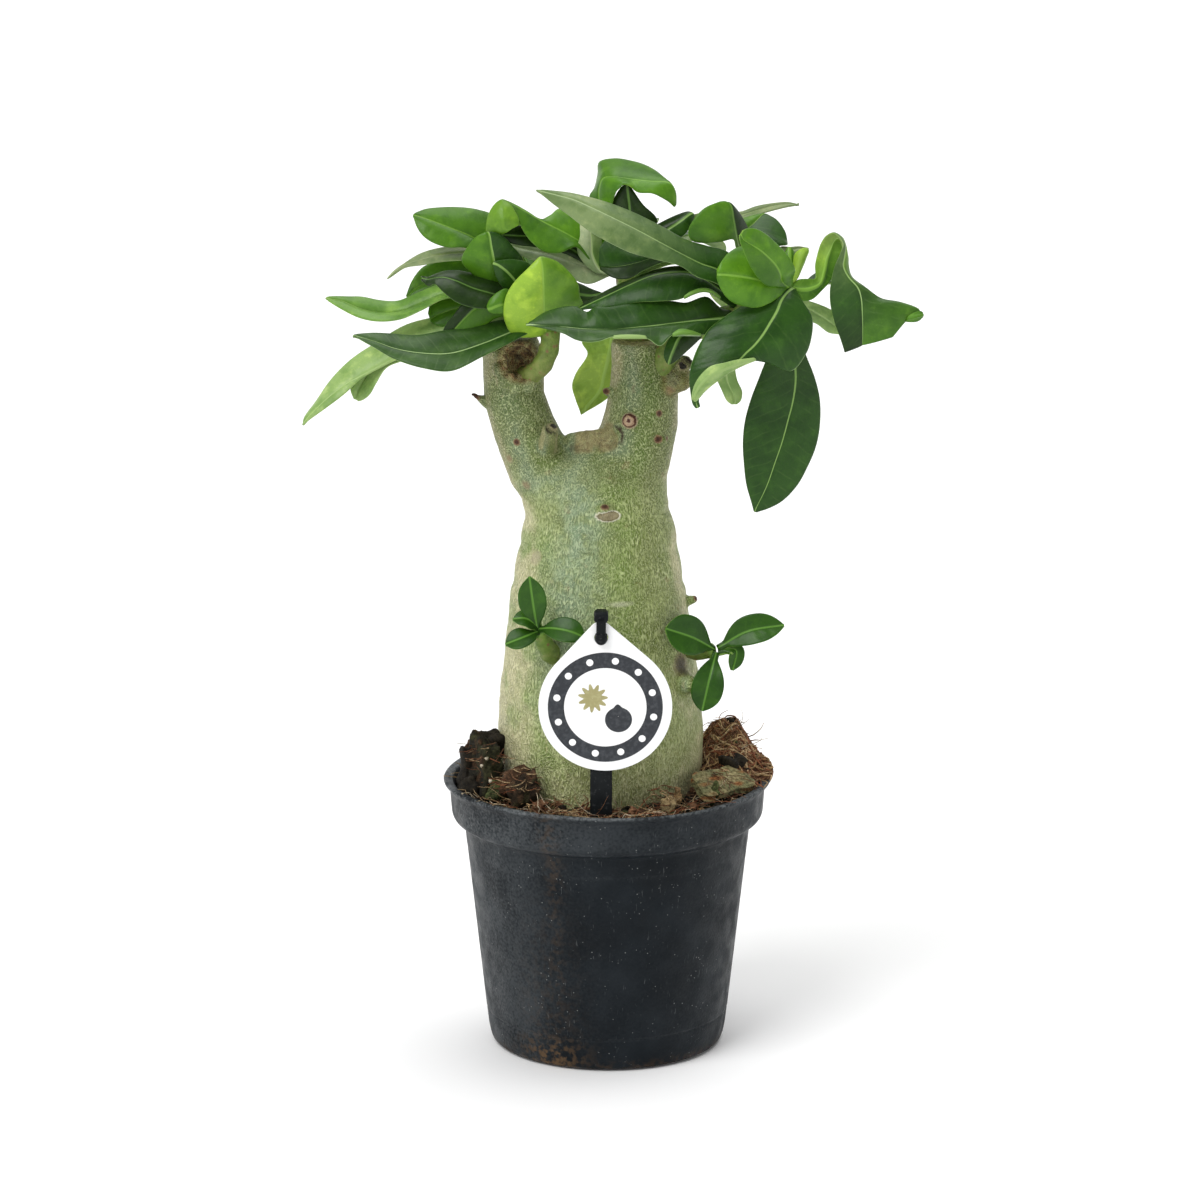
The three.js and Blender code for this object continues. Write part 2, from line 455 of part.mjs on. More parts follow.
// A point of the leaf's middle surface: u runs from stalk to tip, v from edge to edge.
function bladePoint(leaf, curve, u, v) {
  const centre = curve.getPointAt(u);
  const along = curve.getTangentAt(u);
  const side = new THREE.Vector3().crossVectors(along, facing(leaf.face, u)).normalize();
  const up = new THREE.Vector3().crossVectors(side, along).normalize();
  const which = v < 0 ? 0 : 1;
  const drawn = Array.isArray(leaf.half) && Array.isArray(leaf.half[which]);
  const shape = drawn ? 1 : bladeShape(u, leaf.widest, leaf.blunt);
  const least = PETIOLE_HALF + (TIP_HALF - PETIOLE_HALF) * u;
  const width = Math.max(sideValue(leaf.half, which, u) * shape, least);
  const reach = Math.abs(v) * width;
  const fold = THREE.MathUtils.degToRad(sideValue(leaf.fold, which, u));
  const bend = THREE.MathUtils.degToRad(sideValue(leaf.curl, which, u)) / width;
  const out = (Math.sin(fold + bend * reach) - Math.sin(fold)) / bend;
  const rise = (Math.cos(fold) - Math.cos(fold + bend * reach)) / bend;
  const [height, count, start] = leaf.wave;
  const turns = count * u + start + 0.3 * which;
  const ripple = height * v * v * Math.sin(Math.PI * u) * Math.sin(2 * Math.PI * turns);
  return centre.addScaledVector(side, Math.sign(v) * out).addScaledVector(up, rise + ripple);
}

// A closed blade: the middle surface thickened both ways, with both faces split into the same triangles.
function bladeGeometry(leaf) {
  const curve = new THREE.CatmullRomCurve3(leaf.rib.map((p) => new THREE.Vector3(...p)));
  const alongSteps = leaf.small ? 5 : leaf.steps || 6;
  const acrossSteps = leaf.small ? 2 : 4;
  const upper = [];
  const lower = [];
  const nudge = 0.01;
  for (let i = 0; i <= alongSteps; i++) {
    const u = i / alongSteps;
    for (let j = 0; j <= acrossSteps; j++) {
      const v = (2 * j) / acrossSteps - 1;
      const at = bladePoint(leaf, curve, u, v);
      const uStep = u > 0.5 ? -nudge : nudge;
      const vStep = v > 0 ? -nudge : nudge;
      const du = bladePoint(leaf, curve, u + uStep, v).sub(at).divideScalar(uStep);
      const dv = bladePoint(leaf, curve, u, v + vStep).sub(at).divideScalar(vStep);
      const normal = dv.cross(du).normalize().negate();
      const half = (LEAF_THICKNESS + (LEAF_EDGE_THICKNESS - LEAF_THICKNESS) * Math.abs(v)) / 2;
      upper.push(at.clone().addScaledVector(normal, half));
      lower.push(at.clone().addScaledVector(normal, -half));
    }
  }
  const row = acrossSteps + 1;
  const under = upper.length;
  const index = [];
  for (let i = 0; i < alongSteps; i++) {
    for (let j = 0; j < acrossSteps; j++) {
      const a = i * row + j;
      const [b, c, d] = [a + 1, a + row, a + row + 1];
      index.push(a, c, b, b, c, d);
      index.push(under + a, under + b, under + c, under + b, under + d, under + c);
    }
  }
  const wall = (a, b) => index.push(a, b, under + a, b, under + b, under + a);
  for (let i = 0; i < alongSteps; i++) {
    wall((i + 1) * row, i * row);
    wall(i * row + acrossSteps, (i + 1) * row + acrossSteps);
  }
  for (let j = 0; j < acrossSteps; j++) {
    wall(j, j + 1);
    wall(alongSteps * row + j + 1, alongSteps * row + j);
  }
  const geometry = new THREE.BufferGeometry();
  geometry.setFromPoints([...upper, ...lower]);
  geometry.setIndex(index);
  return geometry;
}

// A stem fused with its leaves.
function leafyStem(stem, leaves) {
  const blades = leaves.map((leaf) => solidOf(bladeGeometry(leaf)));
  return wasm.Manifold.union([solidOf(taperedTube(stem)), ...blades]).simplify(SLIVER);
}

// The plain hole that a stem stands in.
function socket(stem) {
  return solidOf(taperedTube({ ...stem, radii: stem.radii.map((radius) => radius + GAP) }));
}

// ---------------------------------------------------------------- trunk
// Distance to a limb whose radius changes evenly between two stations.
function limbDistance([x, y, z], [ax, ay, az, ar], [bx, by, bz, br]) {
  const [dx, dy, dz] = [bx - ax, by - ay, bz - az];
  const [px, py, pz] = [x - ax, y - ay, z - az];
  const share = (px * dx + py * dy + pz * dz) / (dx * dx + dy * dy + dz * dz);
  const t = Math.min(1, Math.max(0, share));
  return Math.hypot(px - t * dx, py - t * dy, pz - t * dz) - (ar + (br - ar) * t);
}

function chainDistance(point, stations) {
  let least = Infinity;
  for (let i = 0; i + 1 < stations.length; i++) {
    least = Math.min(least, limbDistance(point, stations[i], stations[i + 1]));
  }
  return least;
}

function softMin(a, b, blend) {
  const share = Math.max(blend - Math.abs(a - b), 0) / blend;
  return Math.min(a, b) - (share * share * blend) / 4;
}

// Signed distance to the trunk's surface, negative inside.
function trunkDistance(x, y, z) {
  const stretched = y * (1 + CAUDEX_FLATTENING * smoothStep(FLATTENING_FROM, FLATTENING_TO, z));
  const caudex = chainDistance([x, stretched, z], CAUDEX);
  const left = Math.max(chainDistance([x, y, z], LEFT_BRANCH), z - LEFT_CUT_HEIGHT);
  const right = Math.max(chainDistance([x, y, z], RIGHT_BRANCH), z - RIGHT_CUT_HEIGHT);
  const limbs = softMin(softMin(caudex, left, LIMB_BLEND), right, LIMB_BLEND);
  const { from, to, radius, blend } = CROTCH_CALLUS;
  const callus = limbDistance([x, y, z], [...from, radius], [...to, radius]);
  const [hx, hy, hz] = HOLLOW.at;
  const hollow = Math.hypot(x - hx, y - hy, z - hz) - HOLLOW.radius;
  return Math.max(softMin(limbs, callus, blend), -hollow);
}

// Moves a point near the surface onto it, along the slope of the distance.
function settle(distance, point) {
  const step = 0.05;
  for (let round = 0; round < 2; round++) {
    const here = distance(...point);
    const slope = point.map((value, axis) => {
      const beside = [...point];
      beside[axis] = value + step;
      return (distance(...beside) - here) / step;
    });
    const steep = Math.max(0.5, slope.reduce((sum, value) => sum + value * value, 0));
    point = point.map((value, axis) => value - (here * slope[axis]) / steep);
  }
  return point;
}

// The zero surface of a distance function over a box, as quads between the cells of a grid.
function surfaceNet(distance, low, high, cell) {
  const size = low.map((value, axis) => Math.ceil((high[axis] - value) / cell[axis]) + 1);
  const at = (i, j, k) => (k * size[1] + j) * size[0] + i;
  const values = new Float64Array(size[0] * size[1] * size[2]);
  for (let k = 0; k < size[2]; k++) {
    for (let j = 0; j < size[1]; j++) {
      for (let i = 0; i < size[0]; i++) {
        values[at(i, j, k)] = distance(low[0] + i * cell[0], low[1] + j * cell[1], low[2] + k * cell[2]);
      }
    }
  }
  const corners = [0, 1, 2, 3, 4, 5, 6, 7].map((n) => [n & 1, (n >> 1) & 1, n >> 2]);
  const points = [];
  const cellPoint = new Map();
  for (let k = 0; k + 1 < size[2]; k++) {
    for (let j = 0; j + 1 < size[1]; j++) {
      for (let i = 0; i + 1 < size[0]; i++) {
        const depth = corners.map(([a, b, c]) => values[at(i + a, j + b, k + c)]);
        const sum = [0, 0, 0];
        let crossings = 0;
        for (let a = 0; a < 8; a++) {
          for (const bit of [1, 2, 4]) {
            const b = a | bit;
            if (b === a || depth[a] < 0 === depth[b] < 0) continue;
            const share = depth[a] / (depth[a] - depth[b]);
            corners[a].forEach((value, axis) => {
              sum[axis] += value + (corners[b][axis] - value) * share;
            });
            crossings += 1;
          }
        }
        if (!crossings) continue;
        cellPoint.set(at(i, j, k), points.length);
        const mean = [i, j, k].map((value, axis) => low[axis] + (value + sum[axis] / crossings) * cell[axis]);
        points.push(settle(distance, mean));
      }
    }
  }
  const index = [];
  const step = [1, size[0], size[0] * size[1]];
  for (let k = 1; k + 1 < size[2]; k++) {
    for (let j = 1; j + 1 < size[1]; j++) {
      for (let i = 1; i + 1 < size[0]; i++) {
        const here = at(i, j, k);
        for (let axis = 0; axis < 3; axis++) {
          const inside = values[here] < 0;
          if (inside === values[here + step[axis]] < 0) continue;
          const [u, v] = [step[(axis + 1) % 3], step[(axis + 2) % 3]];
          const ring = [here - u - v, here - v, here, here - u].map((cellIndex) => cellPoint.get(cellIndex));
          if (!inside) ring.reverse();
          index.push(ring[0], ring[1], ring[2], ring[0], ring[2], ring[3]);
        }
      }
    }
  }
  const geometry = new THREE.BufferGeometry();
  geometry.setFromPoints(points.map(([x, y, z]) => new THREE.Vector3(x, y, z)));
  geometry.setIndex(index);
  return geometry;
}

function trunkSolid() {
  const low = [-62, -48, 36];
  const high = [44, 48, 272];
  let trunk = solidOf(surfaceNet(trunkDistance, low, high, TRUNK_CELL));
  for (const { from, to, radii } of STUBS) {
    trunk = trunk.add(solidOf(taperedTube({ path: [from, to], radii, sides: 7 })));
  }
  return trunk;
}

// ---------------------------------------------------------------- pot
function potSolid() {
  const inner = (radius) => radius - POT_WALL;
  const profile = [
    [0, 0],
    [POT_FOOT_RADIUS - POT_CORNER, 0],
    [POT_FOOT_RADIUS - 1.4, 1.5],
    [POT_FOOT_RADIUS, POT_CORNER],
    [POT_SHOULDER_RADIUS, POT_BAND_BOTTOM - 1],
    [POT_BAND_RADIUS - 1.4, POT_BAND_BOTTOM + 0.4],
    [POT_BAND_RADIUS, POT_BAND_BOTTOM + 2.6],
    [POT_BAND_RADIUS + 0.6, POT_HEIGHT - 3],
    [POT_RIM_RADIUS, POT_HEIGHT - 1.4],
    [POT_RIM_RADIUS, POT_HEIGHT],
    [inner(POT_BAND_RADIUS + 1), POT_HEIGHT - 0.4],
    [inner(POT_BAND_RADIUS), POT_HEIGHT - 3],
    [inner(POT_BAND_RADIUS), POT_BAND_BOTTOM + 3],
    [inner(POT_SHOULDER_RADIUS), POT_BAND_BOTTOM],
    [inner(POT_FOOT_RADIUS), POT_CORNER],
    [POT_FOOT_RADIUS - POT_CORNER, POT_WALL],
    [0, POT_WALL],
  ];
  let pot = solidOf(turned(profile, POT_SIDES));
  for (let n = 0; n < DRAIN_HOLES; n++) {
    const angle = (2 * Math.PI * n) / DRAIN_HOLES;
    const hole = new THREE.CylinderGeometry(DRAIN_RADIUS, DRAIN_RADIUS, 4 * POT_WALL, 10);
    hole.rotateX(Math.PI / 2);
    hole.translate(DRAIN_CIRCLE * Math.cos(angle), DRAIN_CIRCLE * Math.sin(angle), 0);
    pot = pot.subtract(solidOf(hole));
  }
  return pot;
}

// ---------------------------------------------------------------- soil
// Height of the soil: near level at the rim, with heaps of coir and peat against the trunk.
function soilHeight(x, y) {
  const edge = 1 - smoothStep(48, 55, Math.hypot(x, y));
  const heaps = HEAPS.reduce((sum, [cx, cy, wide, height]) => {
    return sum + height * Math.exp(-((x - cx) ** 2 + (y - cy) ** 2) / (wide * wide));
  }, 0);
  const crumbs = Math.sin(0.55 * x + 1.3 * Math.sin(0.31 * y)) * Math.cos(0.47 * y + Math.sin(0.23 * x));
  return SOIL_LEVEL + heaps * (0.6 + 0.4 * edge) + CRUMB_HEIGHT * crumbs * edge;
}

function soilSolid() {
  const wallGap = POT_WALL + GAP;
  const top = SOIL_LEVEL;
  const profile = [
    [0, SOIL_BOTTOM],
    [POT_FOOT_RADIUS - POT_CORNER - GAP, SOIL_BOTTOM],
    [POT_FOOT_RADIUS - wallGap, POT_CORNER + GAP],
    [POT_SHOULDER_RADIUS - wallGap, POT_BAND_BOTTOM],
    [POT_BAND_RADIUS - wallGap - 0.2, POT_BAND_BOTTOM + 3.4],
    [POT_BAND_RADIUS - wallGap - 0.2, top - 1],
    [53.4, top],
    [50, top],
    [46, top],
    [42, top],
    [36, top],
    [0, top],
  ];
  const geometry = turned(profile, SOIL_SIDES);
  const position = geometry.attributes.position;
  for (let n = 0; n < position.count; n++) {
    if (position.getZ(n) > top - 2) {
      const lift = soilHeight(position.getX(n), position.getY(n)) - SOIL_LEVEL;
      position.setZ(n, position.getZ(n) + lift);
    }
  }
  return solidOf(geometry);
}

// Radius of the upright lower caudex at a height, found by halving.
function caudexRadius(z) {
  let [inside, outside] = [0, 60];
  while (outside - inside > 0.01) {
    const middle = (inside + outside) / 2;
    if (trunkDistance(CAUDEX[0][0] + middle, 0, z) < 0) inside = middle;
    else outside = middle;
  }
  return inside;
}

// The hole in the soil that the caudex and its root end fill.
function rootHole() {
  const margin = 2.2 * GAP;
  const [x, , tipHeight, tipRadius] = CAUDEX[0];
  const low = tipHeight - tipRadius;
  const profile = [[0, low - margin]];
  for (const rise of [0.4, 4, 9, 14, 20, 27, 35, 44, 55, 70, 85]) {
    profile.push([caudexRadius(low + rise) + margin, low + rise - (rise < 10 ? margin / 2 : 0)]);
  }
  profile.push([0, low + 85]);
  return solidOf(turned(profile, 30).translate(x, 0, 0));
}

// An angular lump: a rounded box with its corners pushed about by a formula.
function lumpSolid({ at, half, turn, tilt, seed }, grow = 0) {
  const geometry = new THREE.SphereGeometry(1, 9, 6);
  const position = geometry.attributes.position;
  for (let n = 0; n < position.count; n++) {
    const ball = [position.getX(n), position.getY(n), position.getZ(n)];
    const [x, y, z] = ball;
    const dents = [Math.sin(5 * x + seed), Math.sin(4 * y + 2 * seed), Math.sin(6 * z + seed)];
    const push = 1 + dents.reduce((sum, dent) => sum + LUMP_ROUGHNESS * dent, 0);
    const square = ball.map((value) => Math.sign(value) * Math.abs(value) ** 0.62);
    position.setXYZ(n, ...square.map((value, axis) => value * push * (half[axis] + grow)));
  }
  geometry.rotateX(tilt);
  geometry.rotateZ(turn);
  geometry.translate(...at);
  return solidOf(geometry);
}

// ---------------------------------------------------------------- label
// The label stands in a frame of its own that leans: x across, y out of the tag's face (negative), z up.
function box(width, depth, bottom, top, y) {
  return new THREE.BoxGeometry(width, depth, top - bottom).translate(0, y, (top + bottom) / 2);
}

function stakeSolid() {
  const tagBack = -STAKE_THICKNESS / 2 - GAP;
  const tagFront = tagBack - TAG_THICKNESS;
  const reach = tagFront - GAP - STAKE_THICKNESS;
  const strip = solidOf(box(STAKE_WIDTH, STAKE_THICKNESS, STAKE_BOTTOM, STAKE_TOP - 8, 0));
  const neck = solidOf(box(HOOK_WIDTH - 0.8, STAKE_THICKNESS, STAKE_TOP - 9, HOOK_TOP, 0));
  const bridgeDepth = STAKE_THICKNESS / 2 - reach;
  const bridgeFoot = TAG_TIP_CENTRE + TAG_TIP_RADIUS + GAP;
  const bridge = solidOf(
    box(HOOK_WIDTH, bridgeDepth, bridgeFoot, HOOK_TOP, (STAKE_THICKNESS / 2 + reach) / 2),
  );
  const tongue = solidOf(
    box(HOOK_WIDTH - 1.6, STAKE_THICKNESS, TAG_HOLE_CENTRE, HOOK_TOP - 1, reach + STAKE_THICKNESS / 2),
  );
  const ball = new THREE.SphereGeometry(TAG_HOLE_RADIUS - GAP, 10, 8);
  ball.translate(0, reach + STAKE_THICKNESS / 2, TAG_HOLE_CENTRE);
  return strip.add(neck).add(bridge).add(tongue).add(solidOf(ball));
}

function tagSolid() {
  const lift = TAG_TIP_CENTRE - TAG_CENTRE;
  const tangent = Math.asin((TAG_RADIUS - TAG_TIP_RADIUS) / lift);
  const outline = new THREE.Shape();
  outline.absarc(0, TAG_CENTRE, TAG_RADIUS, Math.PI - tangent, tangent, false);
  outline.absarc(0, TAG_TIP_CENTRE, TAG_TIP_RADIUS, tangent, Math.PI - tangent, false);
  outline.closePath();
  const hole = new THREE.Path();
  hole.absarc(0, TAG_HOLE_CENTRE, TAG_HOLE_RADIUS, 0, 2 * Math.PI, true);
  outline.holes.push(hole);
  const plate = new THREE.ExtrudeGeometry(outline, {
    depth: TAG_THICKNESS,
    bevelEnabled: false,
    curveSegments: 12,
  });
  plate.translate(0, -TAG_HOLE_CENTRE, 0);
  plate.rotateZ(TAG_SWING);
  plate.translate(0, TAG_HOLE_CENTRE, 0);
  plate.rotateX(Math.PI / 2);
  plate.translate(0, -STAKE_THICKNESS / 2 - GAP, 0);
  return solidOf(plate);
}

// ---------------------------------------------------------------- the object
const label = new THREE.Group();
label.position.set(...LABEL_FOOT);
label.rotation.x = LABEL_LEAN;
root.add(label);

const stakeHole = solidOf(
  box(STAKE_WIDTH + 2 * GAP, STAKE_THICKNESS + 2 * GAP, STAKE_BOTTOM - 1, 120, 0)
    .rotateX(LABEL_LEAN)
    .translate(...LABEL_FOOT),
);

let trunk = trunkSolid();
for (const stem of [LEFT_STEM, CENTRE_STEM, RIGHT_STEM, SIDE_LEFT_STEM, SIDE_RIGHT_STEM]) {
  trunk = trunk.subtract(socket(stem));
}

let soil = soilSolid().subtract(rootHole()).subtract(stakeHole);
for (const lump of Object.values(LUMPS)) soil = soil.subtract(lumpSolid(lump, GAP));

addNode("pot", geometryOf(potSolid()), POT_PLASTIC);
addNode("soil", geometryOf(soil), SOIL_BROWN);
addNode("trunk", geometryOf(trunk), BARK);
addNode("left_crown", geometryOf(leafyStem(LEFT_STEM, LEFT_LEAVES)), LEAF_GREEN);
addNode("centre_crown", geometryOf(leafyStem(CENTRE_STEM, CENTRE_LEAVES)), LEAF_GREEN);
addNode("right_crown", geometryOf(leafyStem(RIGHT_STEM, RIGHT_LEAVES)), LEAF_GREEN);
addNode("side_shoot_left", geometryOf(leafyStem(SIDE_LEFT_STEM, SIDE_LEFT_LEAVES)), LEAF_GREEN);
addNode("side_shoot_right", geometryOf(leafyStem(SIDE_RIGHT_STEM, SIDE_RIGHT_LEAVES)), LEAF_GREEN);
addNode("label_stake", geometryOf(stakeSolid()), STAKE_BLACK, label);
addNode("label_tag", geometryOf(tagSolid()), TAG_WHITE, label);
for (const [name, lump] of Object.entries(LUMPS)) {
  addNode(name, geometryOf(lumpSolid(lump)), finish(lump.colour, 0.9));
}

export default root;
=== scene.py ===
"""Potted desert rose (adenium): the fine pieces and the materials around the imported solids.

Lengths are in millimetres and become metres where a mesh is made. +Z is up and the front is -Y.
"""

import itertools
import math

import bpy
import numpy as np
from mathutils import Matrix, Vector


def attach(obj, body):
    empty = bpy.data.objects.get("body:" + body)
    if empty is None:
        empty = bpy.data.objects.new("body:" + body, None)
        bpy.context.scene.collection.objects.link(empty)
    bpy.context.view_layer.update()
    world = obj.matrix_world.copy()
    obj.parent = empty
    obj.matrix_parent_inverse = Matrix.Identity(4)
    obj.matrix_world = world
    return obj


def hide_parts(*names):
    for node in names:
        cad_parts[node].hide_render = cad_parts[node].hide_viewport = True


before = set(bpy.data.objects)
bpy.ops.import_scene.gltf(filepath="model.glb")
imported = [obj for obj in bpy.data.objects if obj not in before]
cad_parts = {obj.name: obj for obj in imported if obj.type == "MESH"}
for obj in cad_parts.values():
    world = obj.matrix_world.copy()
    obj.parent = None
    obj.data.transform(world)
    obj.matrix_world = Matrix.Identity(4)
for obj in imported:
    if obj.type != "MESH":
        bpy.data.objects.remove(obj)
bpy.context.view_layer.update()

MM = 0.001  # metres in a millimetre

# ---------------------------------------------------------------- the photograph's view
PHOTO_SIZE = 1200  # pixels each way
CAMERA_PLACE = (-2.6, -1700, 570)
CAMERA_PITCH = 13.4
CAMERA_LENS = 144.7
CAMERA_SENSOR = 36
CAMERA_PIXELS = PHOTO_SIZE * CAMERA_LENS / CAMERA_SENSOR  # pixels of the photograph to one length of depth

# ---------------------------------------------------------------- dimensions shared with the solids
# The numbers of sides and the trunk's cell are finer here.
GAP = 0.35  # between pieces that would touch

POT_HEIGHT = 100
POT_RIM_RADIUS = 60
POT_BAND_RADIUS = 57
POT_BAND_BOTTOM = 84
POT_SHOULDER_RADIUS = 52.3
POT_FOOT_RADIUS = 43.5
POT_CORNER = 5
POT_WALL = 1.4
POT_SIDES = 160
DRAIN_HOLES = 8
DRAIN_RADIUS = 3.5
DRAIN_CIRCLE = 32

SOIL_LEVEL = 96.5
SOIL_BOTTOM = POT_WALL + GAP
HEAPS = [  # x, y, width and height of the heaps of coir and peat
    [46, 9, 15, 20],
    [30, 34, 15, 8],
    [-40, 12, 16, 10],
    [40, -14, 10, 4],
]
CRUMB_HEIGHT = 1.1

# trunk: stations as x, y, z, radius
CAUDEX = [
    [-2.4, 0, 62, 17],
    [-2.4, 0, 80, 31],
    [-2.4, 0, 98, 37],
    [-2.4, 0, 117, 37.4],
    [-2.4, 0, 130, 36.6],
    [-2.8, 0, 148, 34.2],
    [-3.2, 0, 162, 32.3],
    [-3.2, 0, 174, 30.3],
    [-3, 0, 186, 28.2],
    [-3.6, 0, 197, 25.6],
    [-4.4, 0, 202, 23.6],
]
LEFT_BRANCH = [
    [-14, 0, 201, 12],
    [-23.4, 0, 214, 12.4],
    [-29.6, 0, 228, 11.3],
    [-33.4, 0, 240, 10.8],
    [-33.6, 0, 251, 11],
    [-34.2, 0, 256, 10.6],
]
RIGHT_BRANCH = [
    [3, 0, 202, 16],
    [8.6, 0, 217, 14],
    [12, 0, 231, 13.4],
    [13, 0, 240, 12.5],
    [12.7, 0, 250, 11.3],
    [11.5, 0, 258, 10.2],
]
LIMB_BLEND = 5
CROTCH_CALLUS = [[-12.5, -5.5, 224.5, 3.4], [0, -8, 226.5, 3.4]]
CALLUS_BLEND = 2.5
CAUDEX_FLATTENING = 0.18
FLATTENING_FROM = 150
FLATTENING_TO = 215
LEFT_CUT_HEIGHT = 262
RIGHT_CUT_HEIGHT = 260.5
HOLLOW = [-31, -10, 255, 5.2]
TRUNK_BOTTOM = 80  # the trunk is closed here, inside the soil
TRUNK_CELL = 1.15

# knobs, buds and stubs: two ends as x, y, z, radius, and how softly each grows out of the bark. They stand
# where the solid's do; most stick out a little less, and the cut stub is fuller.
STUBS = [
    ([-22, -7, 220, 3.6], [-20.3, -15.6, 230.4, 3], 1.4),  # cut stub at the fork
    ([-43, -2, 238, 1.9], [-48, -3, 241.5, 0.6], 0.6),  # thorny bud, far left
    ([18, -3, 245, 6], [26, -6.5, 247.5, 4.4], 1.6),  # tan knob, right branch
    ([22, -3, 248, 4.2], [27.6, -7, 253.6, 2.8], 1.2),  # broken end on that knob
    ([2, -3, 242, 2.4], [-0.6, -5, 243, 1.3], 0.8),  # bud, right branch
    ([8, -10, 233, 3.6], [8, -12.8, 233.9, 2.7], 1.2),  # round leaf scar
    ([18, -8, 226, 2.6], [19.6, -10.9, 226.4, 1.7], 1),  # small scar
    ([-1, -18, 202, 4.4], [-1, -22.6, 202.8, 2.4], 1.5),  # scar in mid trunk
    ([25, -2, 164, 3], [31.2, -3, 166, 1.4], 0.8),  # nub on the right outline
    ([26, -16, 138, 5], [29.6, -21.6, 139, 3.2], 2),  # light knob by the right shoot
]

# label
LABEL_LEAN = 0.064
LABEL_FOOT = [-2.2, -42.4, 20]
STAKE_WIDTH = 7.8
STAKE_THICKNESS = 1.8
STAKE_BOTTOM = 12
STAKE_TOP = 150
TAG_RADIUS = 23.5
TAG_THICKNESS = 0.9
TAG_CENTRE = 118.8
TAG_SWING = 0.057
TAG_TIP_RADIUS = 4.2
TAG_TIP_CENTRE = 146
TAG_HOLE_CENTRE = 144.6
TAG_HOLE_RADIUS = 2.6
HOOK_WIDTH = 5
HOOK_TOP = 154.4

# lumps on the soil: centre, half sizes, turn about Z, tilt about X, seed
LUMP_ROUGHNESS = 0.09
LUMPS = {
    "peat_lump_left": ([-44, -18, 104.6], [5.4, 8.6, 13.4], 0.39, 0, 3),
    "peat_lump_front": ([-29.5, -36, 102], [5.4, 4.6, 8], 0.7, 0.15, 7),
    "bark_chip": ([41, -23, 102.6], [12, 7.4, 1.8], 0.72, 0.4, 11),
    "bark_crumb": ([22, -43, 99.5], [2.6, 2, 4], 0.3, 0.2, 19),
}

# Leaves of two kinds. Those with rows are drawn: each row, from stalk to tip, holds the blade's left edge,
# its midrib and its right edge, as pixels of the photograph and a depth y in millimetres. Left and right
# are those of someone who walks from stalk to tip on the upper face. bow: how far each half arches, as a
# share of its width. flap: a turned-up margin or tip, drawn from its fold to its free edge.
# The others have a rib: points of the midrib from the stem to the tip. half: half width. face: where the
# upper face looks. fold and curl: degrees that each half rises from the rib, and bends further on its way
# to the edge. wave: height and count of the edge waves, and where they start. widest: where along the
# leaf it is widest. blunt: how pointed the tip is.
# tone: its greens, from stalk to tip; right: those of its right half, if they differ. Part of these greens
# is
# painted light and shade: a half or stretch that meets the light gets a lighter or greyer green, one in
# shade a darker one.
TONES = {
    # black: the darkest green, mostly for leaves that lie in shade: painted shade
    "black": dict(top=(0.014, 0.036, 0.005), under=(0.16, 0.26, 0.07), rib=(0.1, 0.2, 0.04)),
    "dark": dict(top=(0.02, 0.068, 0.006), under=(0.19, 0.3, 0.08), rib=(0.24, 0.4, 0.1)),
    "deep": dict(top=(0.036, 0.088, 0.016), under=(0.22, 0.33, 0.1), rib=(0.4, 0.56, 0.24)),
    "mid": dict(top=(0.06, 0.165, 0.008), under=(0.24, 0.36, 0.08), rib=(0.15, 0.3, 0.035)),
    "bright": dict(top=(0.078, 0.205, 0.01), under=(0.26, 0.4, 0.07), rib=(0.18, 0.36, 0.045)),
    "lime": dict(top=(0.26, 0.43, 0.04), under=(0.3, 0.45, 0.06), rib=(0.24, 0.4, 0.05)),
    "plain": dict(top=(0.06, 0.165, 0.008), under=(0.07, 0.185, 0.012), rib=(0.13, 0.27, 0.03)),
    "fresh": dict(top=(0.12, 0.25, 0.02), under=(0.2, 0.36, 0.035), rib=(0.2, 0.36, 0.05)),
    "backlit": dict(top=(0.3, 0.45, 0.08), under=(0.44, 0.66, 0.12), rib=(0.4, 0.6, 0.15)),
    # the next four greens are greyish: a painted sheen off the glossy upper face
    "silver": dict(top=(0.34, 0.42, 0.23), under=(0.34, 0.42, 0.23), rib=(0.42, 0.5, 0.28)),
    "tip_sheen": dict(top=(0.18, 0.25, 0.1), under=(0.26, 0.34, 0.16), rib=(0.34, 0.44, 0.22)),
    "grey": dict(top=(0.2, 0.255, 0.115), under=(0.27, 0.35, 0.16), rib=(0.34, 0.42, 0.2)),
    "sheen": dict(top=(0.085, 0.145, 0.045), under=(0.22, 0.31, 0.1), rib=(0.3, 0.42, 0.17)),
    "pale": dict(top=(0.14, 0.28, 0.045), under=(0.27, 0.38, 0.11), rib=(0.36, 0.5, 0.17)),
    "hem": dict(top=(0.27, 0.4, 0.13), under=(0.27, 0.4, 0.13), rib=(0.34, 0.48, 0.18)),
    "young": dict(top=(0.022, 0.078, 0.004), under=(0.18, 0.3, 0.06), rib=(0.1, 0.24, 0.03)),
}

BACK_LEAF = dict(fold=10, curl=8, widest=0.58, blunt=0.8, tone="dark")
YOUNG_LEAF = dict(fold=8, curl=8, wave=[0.2, 1, 0], widest=0.58, blunt=0.8, tone="young")

